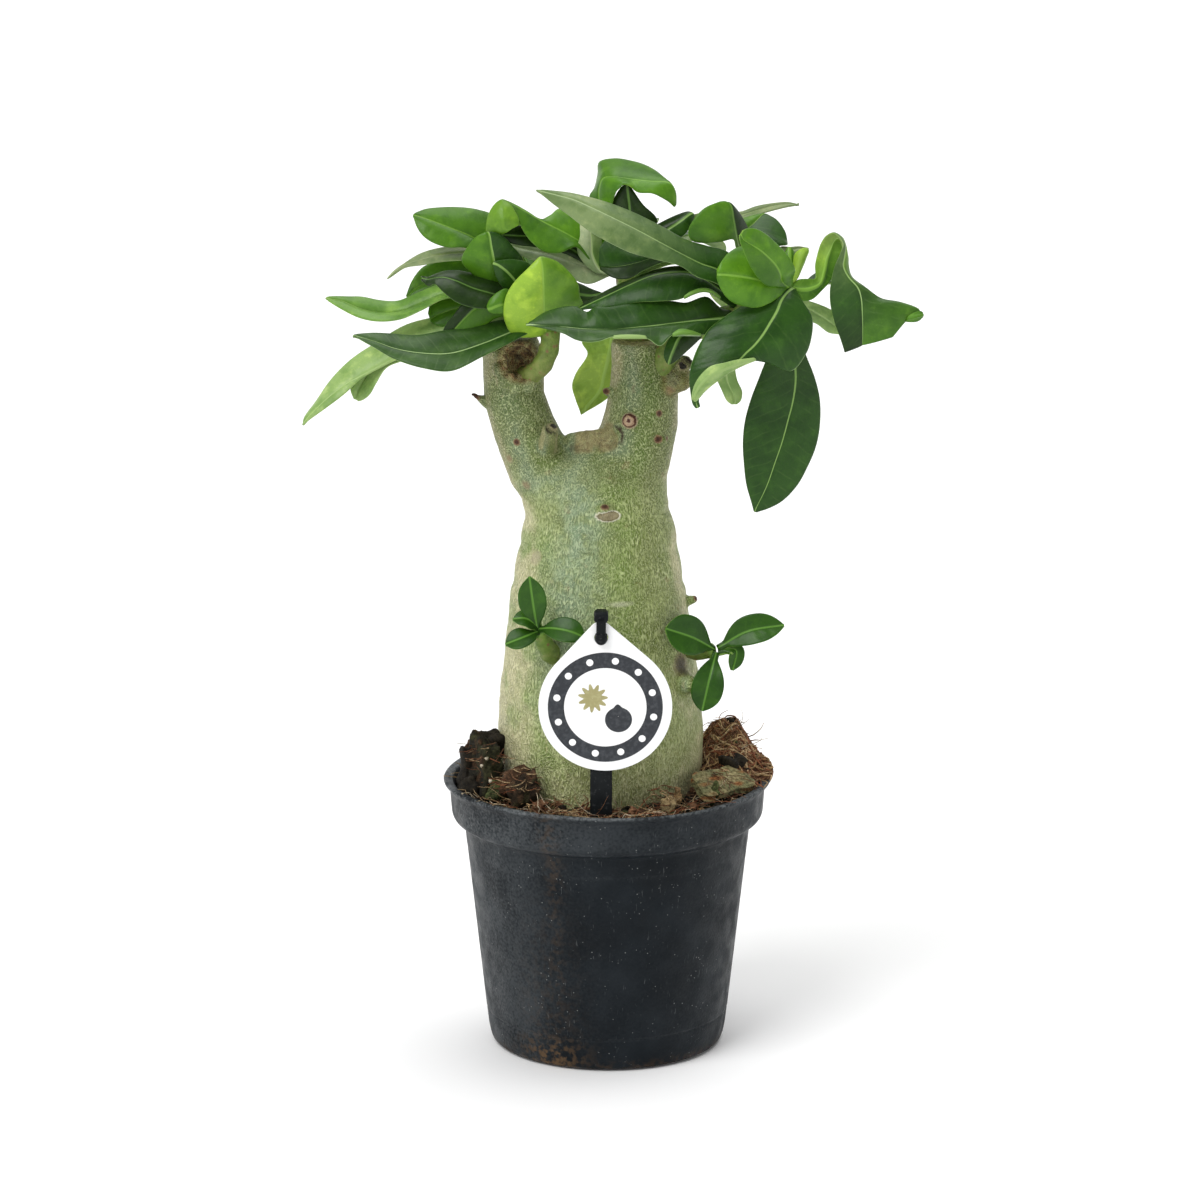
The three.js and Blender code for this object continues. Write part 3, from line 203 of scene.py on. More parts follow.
LEFT_STEM = dict(  # a little slimmer than the solid's
    path=[[-31, -4, 247.5], [-27.5, -9.5, 249.5], [-23.5, -11.5, 253.5], [-21, -11, 258.5],
          [-20.3, -10, 264], [-21.5, -7.5, 271], [-24, -4, 277], [-25, -2, 281]],
    radii=[3.7, 3.1],
)
LEFT_LEAVES = [
    dict(tone=["dark", "deep", "deep"], rows=[  # the long lowest leaf, its tip to the left
        (546, 329, -10, 548, 326, -9, 548, 323, -8),
        (530, 333, -14, 530, 326, -12, 528, 318, -9),
        (510, 343, -19, 508, 334.5, -14, 500, 320, -8),
        (482, 357, -23, 480, 345.5, -17, 474, 326.5, -9),
        (452, 371, -25, 450, 354, -18.5, 446, 330, -10),
        (424, 368.5, -24, 420, 353.5, -18.5, 416, 335, -11),
        (395, 359.5, -21, 395, 349, -17.5, 390, 333.5, -11.5),
        (372, 346.5, -18, 375, 342, -16, 372, 333, -12.5),
        (354, 336, -14.6, 353, 335.5, -14.5, 354, 334.5, -14.4),
    ]),
    dict(tone="hem", rows=[  # the leaf that hangs far out to the left
        (542, 310, -4, 543, 307, -3, 543, 304, -2),
        (505, 330, -4, 503, 318, -1, 500, 305, 3),
        (455, 345, -5, 452, 332, -1, 447, 314.5, 5),
        (415, 354, -4, 412, 347, -1, 405, 325, 6),
        (391, 362.5, -2, 390, 360.5, -2, 376, 342.5, 6),
        (363, 377.5, -2, 362, 375.5, -2, 350, 360, 5),
        (344, 394.5, -5, 342, 387.5, -3, 331, 379.5, 3),
        (322, 411, -5, 322, 404, -3.5, 315, 403, 1),
        (308, 421, -4.5, 308, 418, -4, 305, 417, -2),
        (303.5, 425, -4, 303, 425.3, -4, 302.8, 424, -4),
    ]),
    dict(tone="hem", rows=[  # the blunt lobe behind it
        (540, 315, 0, 541, 312, 0, 541, 309, 1),
        (500, 333, 2, 497, 325, 4, 494, 318, 6),
        (450, 352, 2, 446, 342, 4, 441, 334, 6),
        (402, 361.5, 1, 400, 352, 4, 394, 346, 6),
        (386, 368.5, 0, 380, 362, 4, 372, 358, 6),
        (376.5, 383, 0, 367, 377, 4, 357, 371, 5),
        (369.5, 395, 1, 360, 388, 3.5, 350.5, 383, 4),
        (362.5, 400.3, 2, 356.5, 396, 3, 350.8, 391, 3.5),
        (358.8, 400.8, 2.5, 356.5, 400, 2.7, 354, 398.5, 3),
    ]),
    dict(tone="pale", rows=[  # the upper leaf that reaches left
        (537, 292, -1, 537, 289.5, 0, 537, 287, 1),
        (510, 294, -2, 508, 288, 0, 508, 281, 2),
        (480, 296, -3, 480, 290, 0.5, 478, 278, 4),
        (444, 299, -4, 442, 296, 1, 440, 284, 5),
        (422, 310, -5, 420, 305, 1, 418, 292.5, 5),
        (400, 319.5, -5, 400, 312, 1, 398, 300.7, 5),
        (378, 321.5, -5, 380, 313, 1, 380, 300.2, 5),
        (358, 317.5, -4, 360, 309, 1, 362, 296.7, 5),
        (340, 308.5, -2.5, 343, 302, 1, 347, 296.8, 4),
        (330, 302, -1, 331, 299.5, 0.5, 333, 296.6, 2),
        (326, 299, 0, 325.8, 298, 0, 326.5, 297, 0.3),
    ]),
    dict(tone="grey", rows=[  # the narrow leaf seen almost on edge
        (536, 290, 0, 536, 287, 1, 536, 284, 2),
        (515, 270, 0, 512, 265, 2, 512, 259, 5),
        (490, 262, -1, 488, 256, 3, 487, 248, 7),
        (462, 260.5, -1, 462, 254, 3.5, 462, 246.3, 8),
        (440, 262, -1, 440, 256, 3.5, 440, 248, 8),
        (422, 265, 0, 421, 260.5, 3.5, 420, 254, 7),
        (405, 267.5, 1, 404, 266, 3, 403, 265, 5),
        (394, 273.5, 1.8, 393.5, 273, 2.2, 393, 272.3, 2.8),
        (387.3, 279.3, 2, 387, 279, 2, 386.8, 278.6, 2),
    ]),
    dict(tone="black", rows=[  # the dark leaf with a pale rim
        (542, 313, -7, 542, 309, -6, 542, 305, -5),
        (520, 314, -12, 520, 301, -9, 518, 288, -4),
        (492, 309.5, -17, 492, 294.3, -12, 492, 271, -4),
        (474, 308, -19, 472, 288.5, -13.5, 474, 273.3, -6),
        (456, 302, -20, 456, 281.5, -14, 458, 270.8, -8),
        (443, 292, -19.5, 443, 278, -14, 446, 271.3, -9),
        (435, 284.3, -18, 434, 279, -14, 436, 274.5, -10.5),
        (428, 286, -15, 427, 280, -13, 428, 277.5, -11.5),
        (422.5, 280.5, -12.5, 421.5, 278, -12.5, 421.3, 276, -12.3),
    ]),
    dict(tone="mid", rows=[  # the broad one at the upper left
        (535, 286, 1, 534, 283.5, 1, 533, 281, 2),
        (510, 272, -1, 508, 264, 2, 512, 240, 6),
        (485, 258, -2, 488, 247.5, 1.5, 497, 217, 8),
        (466, 248, -3, 470, 236.5, 1.5, 478, 209.5, 8),
        (448, 247.5, -3, 452, 229, 1.5, 458, 207, 8),
        (434, 243.3, -2.5, 438, 223.5, 2, 440, 207.3, 7),
        (423, 236, -1, 427, 219.3, 2.5, 426, 209, 6),
        (416.5, 226.5, 1, 419, 216.8, 3, 418, 212, 5),
        (413.5, 217.5, 2.5, 413, 215.2, 3, 414, 213.7, 3.5),
    ]),
    dict(tone="mid", right="dark", rows=[  # the upright one in the middle of the left crown
        (536, 290, -3, 537, 287, -4, 540, 286, -4),
        (510, 290, -5, 515, 282, -6, 524, 278, -6),
        (484, 282, -7, 500, 276, -9, 524, 268, -7),
        (469, 271, -8, 495, 267, -11, 522, 257, -8),
        (461.5, 260, -9, 493, 256, -12, 513, 246.5, -9),
        (467, 247.5, -10, 491, 245.5, -12, 506, 238.5, -10),
        (476.5, 236.5, -11, 489.5, 236, -12, 498, 233.5, -11),
        (485, 232.7, -11.5, 488, 231.8, -11.5, 491, 232.2, -11.5),
    ]),
    dict(tone="dark", rows=[  # the small dark one in front of it
        (533, 308, -8, 535, 306, -8, 537, 303, -8),
        (515, 300, -11, 522, 290, -11, 535, 280, -10),
        (503, 288, -13, 512, 277, -13, 530, 264, -11),
        (497, 279, -14, 505, 270, -14, 515, 259.3, -12),
        (494, 270.5, -14.5, 498, 265, -14.5, 503, 259.8, -13.5),
        (493, 264.5, -14.5, 492.7, 263, -14.5, 494, 261.8, -14.3),
    ]),
    # painted shade: the right half of the round pale leaf is painted a darker green than its left
    dict(tone="lime", right="fresh", rows=[  # the round pale leaf that faces us
        (540, 334, -9, 546, 333, -9, 552, 331, -9),
        (515, 336, -12.5, 545, 327, -14, 572, 320, -12),
        (505, 322, -17, 544, 312, -19, 583, 306, -16),
        (503.5, 308, -20, 543.5, 297, -22, 580, 296, -18),
        (507, 293.5, -22, 543, 284, -24, 578, 284, -19),
        (516, 280, -23, 542.5, 272, -24.5, 569.5, 272, -20),
        (528, 268.5, -23.5, 541.5, 263.5, -24, 557, 261.5, -21),
        (536, 261, -23, 540.5, 258.8, -23.3, 547, 258, -22.3),
        (539.5, 257.5, -22.8, 540.2, 257, -22.8, 541.5, 257.2, -22.6),
    ]),
    dict(tone="mid", right="black", rows=[  # the one that hangs between the dark leaf and the lowest
        (540, 318, -8, 540, 314, -7, 540, 311, -6),
        (515, 316, -9, 512, 308, -9, 508, 298, -6),
        (497, 318, -9, 492, 304, -10, 486, 292, -7),
        (486, 325, -9, 476, 308, -10, 466, 300, -8),
        (474, 334, -9, 465, 317.5, -10, 455, 313, -9),
        (460, 342, -9, 454, 329.5, -9.5, 445, 326, -9),
        (444, 343, -9, 442, 343, -9, 440, 341, -9),
    ]),
    dict(tone="mid", rows=[  # the small one beside the round leaf
        (535, 316, -10, 535, 313, -10, 535, 310, -9.5),
        (518, 316, -15, 516, 308, -15, 514, 298, -14),
        (506, 313, -18, 504, 304, -19, 506, 288.5, -17),
        (499, 313.5, -19, 496.5, 306, -20, 497, 292.5, -18),
        (492.5, 313, -19.5, 491, 308.5, -20, 490, 299.5, -18.5),
        (488.5, 310.5, -19.5, 487.8, 309, -19.5, 487.2, 306, -19),
    ]),
    dict(tone="mid", rows=[  # behind, over the upper leaf that reaches left
        (537, 290, 1, 537, 287, 1, 537, 284, 2),
        (500, 296, 4, 500, 277, 6, 500, 262, 8),
        (465, 302, 5, 462, 276, 8, 462, 259, 10),
        (440, 305, 5, 440, 280, 8, 437, 261, 10),
        (424, 304, 5, 424, 284.5, 8, 421, 268.5, 10),
        (414, 302, 5.5, 414, 290, 7.5, 411.5, 282, 9),
        (408, 299, 6.5, 407, 298, 6.5, 406.5, 296, 7),
    ]),
    dict(tone="mid", rows=[  # behind, under the upper leaf that reaches left
        (538, 306, 0, 538, 302, 0, 538, 298, 1),
        (505, 318, 0, 503, 303, 2, 502, 291, 5),
        (475, 325, 0, 470, 306, 3, 468, 290, 7),
        (453, 327, 0, 449, 311, 3, 446, 293, 7),
        (438, 326, 0.5, 437, 316, 3, 432, 298, 6),
        (431, 322, 2, 430, 320, 2.5, 428, 313, 3.5),
    ]),
    dict(BACK_LEAF, rib=[[-25, 0, 278], [-40, 16, 284], [-55, 30, 281], [-65, 40, 274]], half=9,
         face=[-0.2, 0.1, 1], wave=[0.6, 1.5, 0.2]),
    dict(BACK_LEAF, rib=[[-24.5, -2, 279], [-32, 14, 287], [-40, 34, 287], [-44, 50, 279]], half=9.6,
         face=[0, 0.2, 1], fold=12, wave=[0.6, 1.5, 0.6]),
    dict(BACK_LEAF, rib=[[-25, -1, 281], [-30.5, 10, 290], [-34, 17, 298], [-37, 24, 302]], half=7,
         face=[0.1, 0.5, 0.8], wave=[0.5, 1, 0.1], widest=0.6, blunt=0.7, tone="mid"),
]
CENTRE_STEM = dict(
    path=[[11.5, 2, 254], [10.5, 2.5, 264], [8.5, 3, 275], [7, 4, 284], [6.5, 4, 291]],
    radii=[5.2, 4],
)
CENTRE_LEAVES = [
    dict(tone="plain", right="bright", bow=0.06, rows=[  # the topmost leaf
        (622, 256, 6, 625, 257, 4, 628, 256, 2),
        (603, 228, 7, 607, 232, 3, 614, 228, 0),
        (589.5, 197.5, 7, 600, 200, 3, 612.5, 205, -2),
        (595, 187.5, 9, 600, 188, 3, 616, 192.5, -3.5),
        (598, 174, 13, 604, 178.5, 3.5, 620, 188, -4),
        (599, 162, 15, 613, 177.8, 2, 624, 184.7, -4),
        (614, 158.3, 15, 626, 179.2, 1, 630, 186, -4),
        (630, 160.5, 14, 640, 180.8, 0, 638, 192.5, -4),
        (645, 165, 12, 653, 182, 0, 652, 193.5, -4),
        (658, 173, 8, 664, 182, 0, 662, 198, -3),
        (666, 183, 4, 671.5, 184.7, 0, 668.5, 202, -2.5),
        (673, 193, 1, 675.5, 193, 0, 672, 205, -2),
        (674.5, 204, 0, 676, 203, 0, 674, 207, -1),
    ]),
    dict(tone="black", rows=[  # the dark one under it
        (621, 256, 3, 625, 257, 3, 629, 256, 3),
        (610, 232, 2, 630, 232, 0, 650, 236, 2),
        (608, 213, 1, 630, 214, -1, 657, 219, 1),
        (614, 198, 0, 629, 201, -1.5, 643, 204.5, 0),
        (620, 188.5, -0.5, 627.5, 190, -1.5, 634, 192, -0.5),
        (625, 184, -1, 627, 183, -1, 629, 184.5, -1),
    ]),
    dict(tone="black", right="dark", rows=[  # the short one to its right
        (624, 255, 2, 627, 256, 2, 629, 259, 2),
        (645, 232, 2, 652, 238, 0, 658, 246, -1),
        (660, 223, 2, 670, 228, -1, 678, 239, -1),
        (676, 215.5, 2, 682, 220, -1, 687, 232, -1),
        (686, 212.3, 1.5, 689.5, 214.3, 0, 692, 222, 0),
        (691, 212, 1, 692.8, 213, 1, 694, 216, 1),
    ]),
    # painted light and shade: the far, right half is painted lighter than the near, left half
    dict(tone="mid", right="bright", bow=0.05, rows=[  # the folded leaf that climbs to the left
        (613, 266, 1, 618, 262, 3, 622, 258, 5),
        (592, 262, -2, 597, 250, 1, 598, 232, 6),
        (576, 247, -5, 578, 241, -1, 580, 218, 6),
        (560, 253, -9, 562, 232, -2, 560, 208.5, 5),
        (545, 252, -11, 548, 225, -3, 550, 215.5, 1),
        (533, 243.5, -11, 536, 218.5, -4, 540, 221, 0),
        (524.5, 233, -10, 526, 212.5, -4.5, 532, 216, 1),
        (519, 221.5, -9, 517, 207.5, -5, 524, 211, 1.5),
        (514.5, 210.5, -7.5, 510, 203.8, -5.5, 515, 206, 0),
        (506.5, 202, -6, 503, 200.2, -6, 505, 201.5, -4),
    ]),
    # painted light: the turned-over tip is painted a bright green where the light falls on it
    dict(tone="fresh", flap=True, rows=[  # its tip, turned over
        (500, 234, -9, 510, 230, -11, 519.5, 225, -10),
        (487, 233.5, -8, 504, 228, -11, 519.3, 222, -9.8),
        (486, 226, -7, 503, 221, -11, 518.5, 218, -9.3),
        (487.5, 217.5, -7, 503, 213, -10, 516, 213, -8.5),
        (491, 209.5, -6.5, 502.5, 206.5, -8.5, 512.5, 207.3, -7.5),
        (496, 203.5, -6, 502, 202, -7, 507.5, 202.7, -6.5),
        (501, 200.2, -6, 502.2, 199.9, -6, 503.5, 200.2, -6),
    ]),
    dict(tone="black", rows=[  # the dark one in its shade
        (598, 272, 1, 600, 270, 1, 601, 267, 1),
        (565, 254, -2, 565, 246, -1, 562, 238, 1),
        (540, 248, -5, 538, 238, -3, 536, 228, 0),
        (515, 244.5, -6, 515, 236, -5, 514, 226, -2),
        (501, 240, -6, 499, 235, -6, 500, 231, -5),
    ]),
    dict(tone="silver", rows=[  # the grey one that reaches left behind the round leaf
        (612, 275, 2, 614, 270, 4, 615, 266, 5),
        (590, 284, -1, 596, 270, 2, 590, 255, 5),
        (575, 280, -3, 576, 264, 1, 572, 250, 4),
        (556, 268, -3, 556, 257, 1, 552, 247, 4),
        (538, 262, -3, 538, 252, 1, 536, 243.5, 3),
        (522, 256, -2, 522, 249, 1, 521, 243, 2),
        (509, 246, 1, 508, 245, 1, 508.5, 244, 1),
    ]),
    dict(tone="silver", right=["pale", "grey"], rows=[  # the grey one that stands behind the long leaf
        (612, 275, 1, 614, 272, 2, 616, 270, 2),
        (592, 270, -1, 600, 270, -1, 606, 264, 1),
        (580, 258, -2, 592, 255, -2, 601, 255, 0),
        (577, 248, -2.5, 591, 243, -2.5, 602, 244, -1),
        (580, 236, -3, 590, 232, -3, 600, 234, -2),
        (580, 224, -3, 587, 222, -3, 594, 226, -3),
        (583, 216, -3, 584, 215.5, -3, 585, 216, -3),
    ]),
    dict(tone="backlit", rows=[  # the leaf that hangs behind the fork, seen from below
        (629, 322, 4, 632, 322, 4, 635, 322, 4),
        (600, 325, 11, 614, 330, 11, 626, 338, 12),
        (582, 341, 13, 611, 345, 13, 628, 350, 14),
        (587.5, 354, 13.5, 608, 358, 14, 628, 363, 15),
        (576, 373, 14, 604, 374, 14.5, 624, 378, 15),
        (572, 386, 14, 601, 387, 14.5, 618, 388, 15),
        (575.5, 399.5, 14, 595, 397, 14.5, 608, 398, 15),
        (579, 409, 14, 588, 405, 14, 598, 405, 14.5),
        (580.5, 413.5, 14, 581, 414, 14, 583, 413.5, 14),
    ]),
    dict(tone="grey", rows=[  # the thin one at the far right, seen on edge
        (627, 252, 4, 627, 255, 4, 627, 258, 3),
        (668, 222, 7, 668, 228, 7, 668, 236, 5),
        (700, 213, 9, 700, 219, 9, 700, 227, 7),
        (725, 211.5, 10, 725, 217, 10, 726, 223, 8),
        (741, 211.7, 11, 742, 215.5, 10, 744, 219.3, 9),
        (756, 206.3, 11, 758, 210.5, 10, 760, 214.3, 8),
        (772, 203.3, 10.5, 774, 206, 10, 775, 210, 8),
        (787, 202.3, 10, 788.5, 204.3, 9.5, 789, 206.6, 8.5),
        (798, 204, 9, 799, 204.5, 9, 798, 205, 9),
    ]),
    dict(BACK_LEAF, rib=[[7, 6, 289], [8, 22, 296], [10, 40, 296], [12, 56, 288]], half=9.5,
         face=[0, 0.2, 1], fold=12, wave=[0.6, 1.5, 0.6]),
    dict(BACK_LEAF, rib=[[8, 6, 287], [20, 19, 293], [33, 31, 292], [43, 40, 286]], half=9,
         face=[0.1, 0.1, 1], wave=[0.6, 1.5, 0.3]),
    dict(BACK_LEAF, rib=[[5, 6, 287], [-5, 21, 292], [-14, 34, 289], [-18, 46, 281]], half=8.6,
         face=[-0.1, 0.1, 1], wave=[0.6, 1.5, 0.1], tone="mid"),
]
RIGHT_STEM = dict(
    path=[[18, -5, 250], [24, -9, 261], [33, -13, 268], [46, -17, 273], [57, -20, 277], [65, -22, 283]],
    radii=[4.4, 3.8],
)
RIGHT_LEAVES = [
    # the long leaf that crosses to the upper left; towards its tip its greens grey into a painted sheen
    dict(tone=["dark", "dark", "sheen", "tip_sheen", "tip_sheen"], rows=[
        (752, 307, -21, 754, 303, -20, 755, 299, -19),
        (735, 298, -25, 738, 285, -23, 744, 272, -20),
        (716, 283.5, -29, 718, 270.5, -25, 728, 252, -19),
        (697, 277, -32, 700, 264, -27, 708, 246, -21),
        (680, 266, -34, 680, 254, -29, 686, 239.5, -23),
        (655, 259.5, -36, 658, 242, -31, 662, 226.5, -25),
        (630, 252.5, -37, 635, 229.5, -32, 638, 214.5, -26),
        (607, 241.5, -37, 612, 218, -32.5, 612, 204, -27),
        (588, 230.5, -36, 592, 208.3, -32.5, 590, 197.5, -28),
        (570, 216.5, -34.5, 573, 200, -32, 570, 193, -29),
        (553, 204, -32.5, 555, 195, -31.5, 552, 191, -30),
        (538, 191.5, -31, 536, 190.3, -31, 537, 189.7, -31),
    ]),
    dict(tone="black", right="dark", rows=[  # the shaded one under it
        (742, 306, -17, 743, 302, -17, 743, 299, -16),
        (715, 286, -20, 715, 277, -17, 716, 266, -12),
        (690, 268, -22, 690, 262, -16, 690, 250, -10),
        (666, 262, -22, 662, 256, -15, 660, 241, -9),
        (643, 271, -21, 641, 262.5, -14.5, 640, 238, -8),
        (628, 279, -19, 622, 266.5, -13.5, 622, 236, -8),
        (612, 277.5, -17, 608, 267.5, -13, 606, 240, -9),
        (601, 270, -13, 599.5, 266.5, -12, 599.5, 247, -10.5),
    ]),
    dict(tone="hem", rows=[  # the pale one that shows below it
        (715, 285, -12, 716, 282, -12, 716, 279, -11),
        (690, 266, -13, 690, 262, -12, 690, 256, -10),
        (672, 264.5, -14, 671, 260, -12, 670, 252, -10),
        (655, 270, -14.5, 654, 265, -13, 652, 256, -11),
        (643, 275, -14.5, 642, 271, -13, 640, 262, -11),
        (634.5, 279.8, -14, 634, 279.3, -14, 634, 278.5, -14),
    ]),
    dict(tone="dark", right="black", rows=[  # the dark one with its rib uppermost
        (738, 312, -18, 740, 308, -18, 742, 304, -17),
        (722, 301, -22, 722, 292, -20, 724, 282, -16),
        (704, 291.5, -26, 704, 280, -22, 705, 273, -17),
        (690, 295.5, -28, 688, 273, -22, 690, 267, -17),
        (677, 300, -29, 670, 272.8, -22.5, 672, 267, -17),
        (655, 301.5, -29, 650, 277, -23, 655, 270.5, -17),
        (636, 302.5, -28, 630, 285.3, -23, 638, 277, -17),
        (616, 307, -26, 612, 293.7, -22.5, 620, 284.5, -17),
        (598, 309, -24, 596, 301.3, -22, 603, 293, -18),
        (584, 309, -21, 580, 308.5, -21, 582, 306, -20),
    ]),
    dict(tone="pale", flap=True, rows=[  # its margin where it turns up
        (720, 298.5, -24, 720, 297.5, -25, 720, 296.5, -25),
        (711, 292.5, -26, 711, 291.3, -27.5, 711, 290, -27),
        (702, 291.5, -28, 702, 290, -29, 702, 288.4, -28.5),
        (692, 294.5, -29.5, 692, 292.9, -31, 692, 291.2, -30.5),
        (684, 298.5, -30.5, 684, 297.3, -31, 684, 296, -31),
    ]),
    dict(tone="black", rows=[  # a dark tip left of the gap
        (542, 285, -4, 541, 288, -4, 541, 291, -4),
        (560, 277, -7, 558, 290, -8, 556, 305, -7),
        (580, 283.5, -8, 578, 294, -10, 576, 308, -9),
        (592, 289, -9, 591, 295.5, -10, 588, 304, -10),
        (603, 293, -10, 603.5, 293.3, -10, 603, 294, -10),
    ]),
    dict(tone=["dark", "deep", "deep"], right=["black", "dark", "deep"], rows=[  # across the middle
        (744, 320, -20, 745, 316, -19, 745, 312, -18),
        (722, 333, -27, 722, 318.3, -25, 722, 309, -20),
        (700, 335, -32, 700, 320.3, -29, 706, 296.5, -24),
        (683, 335, -36, 682, 322.8, -31, 686, 302.5, -25),
        (672, 335.5, -37, 668, 324.5, -31.5, 672, 301, -25.5),
        (660, 346, -38, 655, 326, -32, 655, 301, -26),
        (648, 339, -38, 640, 327.5, -33, 640, 301, -26.5),
        (630, 337, -38, 625, 329, -33, 624, 304.5, -27),
        (612, 337, -38, 610, 329.8, -33, 607, 307, -27.5),
        (600, 341, -38, 596, 329.8, -33, 596, 306.5, -27.5),
        (588, 342.3, -37, 583, 329.3, -32.5, 587, 311.8, -27),
        (576, 340, -36, 570, 328, -32, 576, 306.3, -26),
        (563, 333.5, -34, 556, 326.9, -31, 560, 307.3, -26),
        (547, 329.5, -31.5, 543, 326, -30, 544, 312.8, -26),
        (534, 326.6, -29, 533, 325, -28.7, 534, 319.6, -27),
        (527, 325.2, -28, 526, 324.8, -28, 527, 324.2, -28),
    ]),
    dict(tone="hem", flap=True, rows=[  # its margin where it turns up
        (647, 338, -39.5, 646, 337, -40, 645, 335.5, -40),
        (636, 338, -39.5, 636, 336.6, -41, 636, 335.2, -40.5),
        (624, 338, -39.5, 624, 336.6, -41, 624, 335, -40.5),
        (613, 338, -39, 613.5, 336.8, -40, 614, 335.3, -40),
    ]),
    dict(tone="pale", flap=True, rows=[  # and again nearer its stalk
        (701, 335.3, -33, 700.5, 334.8, -34, 700, 334.3, -34),
        (690, 335.3, -36, 689.5, 332.8, -38, 689, 330.2, -37.5),
        (680, 335.5, -37.5, 680, 332.5, -39.5, 680, 329.3, -38.5),
        (672.5, 335.8, -38, 672.5, 334.8, -39, 672.5, 333.5, -39),
    ]),
    dict(tone="black", right="dark", rows=[  # the small one above the knob
        (700, 328, -13, 698, 327, -13, 695, 325, -13),
        (704, 334, -15, 688, 330, -16, 678, 326, -15),
        (696, 343, -16, 679, 339, -18, 670, 337, -16),
        (685, 353, -17, 674.5, 348, -18.5, 665, 348, -17),
        (677, 360, -17.5, 671, 356.5, -18.5, 664, 356.5, -17.5),
        (671, 364, -18, 668.5, 364.5, -18, 666, 362, -18),
    ]),
    dict(tone=["black", "dark", "dark"], rows=[  # the great leaf that hangs down
        (794, 291, -20, 792, 290, -20, 790, 291, -20),
        (797, 322, -17, 795, 320, -18, 786, 322, -17),
        (802, 345, -15, 795.5, 342, -17, 775, 340, -15.5),
        (808, 360, -14.5, 795, 362, -17, 766, 360, -15.5),
        (815, 378, -14, 795.5, 380, -17, 758.5, 379, -15),
        (820, 400, -14, 793, 400, -17, 750.5, 400, -15),
        (820, 425, -14.5, 788, 420, -17.3, 744.7, 422, -15),
        (816, 446.5, -15, 782, 442, -18, 742.8, 443, -15.5),
        (808, 466, -16, 774.8, 463, -18, 743.8, 463, -16),
        (796.5, 486.5, -16.5, 767.5, 484, -18, 746.2, 484, -16.5),
        (781, 502, -17, 761, 498, -17.7, 750.3, 499, -17),
        (767, 508.8, -17, 757, 506, -17.4, 752.6, 506.3, -17),
        (757, 511.5, -17.2, 754.5, 512, -17.2, 753.5, 510.5, -17.2),
    ]),
    dict(tone="bright", rows=[  # the round one in front of the stem
        (786, 292, -24, 789, 289, -24, 790, 286, -23),
        (779, 297, -30, 776, 284, -29, 776, 270, -26),
        (769, 303.5, -34, 762, 281, -33, 762, 255, -28),
        (757, 307.5, -36, 750, 278.5, -35, 750, 247, -29),
        (744, 306.3, -37, 741, 277, -36, 740, 246.5, -30),
        (732, 302, -37, 733, 275.8, -37, 732, 250.2, -32),
        (724, 294.5, -37, 726, 275, -37.5, 725.5, 255.8, -34),
        (719, 284.5, -37, 720.5, 274.6, -37.5, 720.3, 263.5, -36),
        (717.3, 278, -37, 717.2, 274.5, -37, 717.6, 270.5, -36.5),
    ]),
    # painted light: its far, right half is painted a brighter green where light comes through it
    dict(tone="mid", right="bright", bow=0.04, rows=[  # the trough that stands over it
        (786, 290, -24, 789, 288, -24, 792, 286, -23),
        (777, 287, -31, 781, 281, -29, 793, 277, -25),
        (768, 286.5, -35, 779.5, 273, -32, 795, 270, -27),
        (760, 280.5, -38, 775, 265, -34, 791.5, 261, -28),
        (753, 271, -40, 768.5, 258, -36, 785, 252, -29),
        (747, 259.5, -42, 761, 251.5, -38, 776, 243, -31),
        (743, 249.5, -43, 752.5, 246.2, -39.5, 766, 234, -34),
        (740.3, 242.5, -43, 746, 242.3, -41, 756, 228.8, -37),
        (739.8, 238.5, -42.5, 742.3, 239.5, -41.5, 748, 228.2, -39),
        (740, 236, -42, 740.5, 235, -41.7, 743.5, 230.2, -41),
    ]),
    dict(tone=["dark", "sheen", "mid", "mid"], right="black", rows=[  # the upright one behind them
        (786, 293, -20, 788, 290, -20, 790, 287, -19),
        (760, 283, -19, 763, 278, -18, 767, 272, -16),
        (741, 262, -18, 746, 259, -17, 756, 250, -14),
        (735.5, 247, -18, 739, 246, -17.5, 751, 240, -13),
        (733, 239.5, -18.5, 737, 239, -17.5, 749, 232, -12),
        (716, 242.5, -20, 735.5, 232, -17.5, 747, 226, -12),
        (693, 241.5, -21, 734.3, 225, -17.5, 744, 220.5, -13),
        (688, 232, -21, 733, 218, -17.5, 741, 215.5, -13.5),
        (693.5, 219.5, -20.5, 732.2, 211.5, -17.5, 738, 211.5, -14),
        (704, 208.3, -19.5, 731, 206.5, -17.3, 735, 208.2, -15),
        (716, 203, -18.5, 728.5, 203.2, -17, 731.5, 204.6, -16),
        (723, 202, -17.5, 726, 202, -17, 728, 202.5, -16.7),
    ]),
    dict(tone="dark", rows=[  # the great leaf in front, its rib bent down to the left
        (795, 291, -24, 792, 290, -25, 787, 288, -24),
        (803, 302, -27, 782, 300, -30, 768, 297, -29),
        (812, 317, -29, 776.5, 312, -33, 742, 306, -31),
        (812, 335, -31, 770, 323, -35, 722, 318.5, -33),
        (806, 354, -33, 762.5, 335, -37, 709, 329, -35),
        (791, 371, -35, 754, 345.5, -38.5, 701.5, 340.5, -36),
        (770, 363, -37, 745.5, 353.5, -40, 696.5, 350, -37),
        (754, 360, -39, 738, 361, -41, 692.5, 360.5, -38),
        (740, 366, -41, 727, 369.5, -42, 690, 370.5, -39),
        (728, 372.5, -42, 716, 377.5, -42, 689.3, 380, -39.5),
        (716, 382, -42, 706.5, 386, -41.5, 690, 389, -39.5),
        (706, 390, -41.5, 699.5, 394.5, -41, 691.2, 397, -39.5),
        (699, 398, -41, 696.5, 401.5, -40.5, 693, 404, -39.5),
        (700, 406, -40, 698, 407.8, -40, 696, 407.8, -39.5),
    ]),
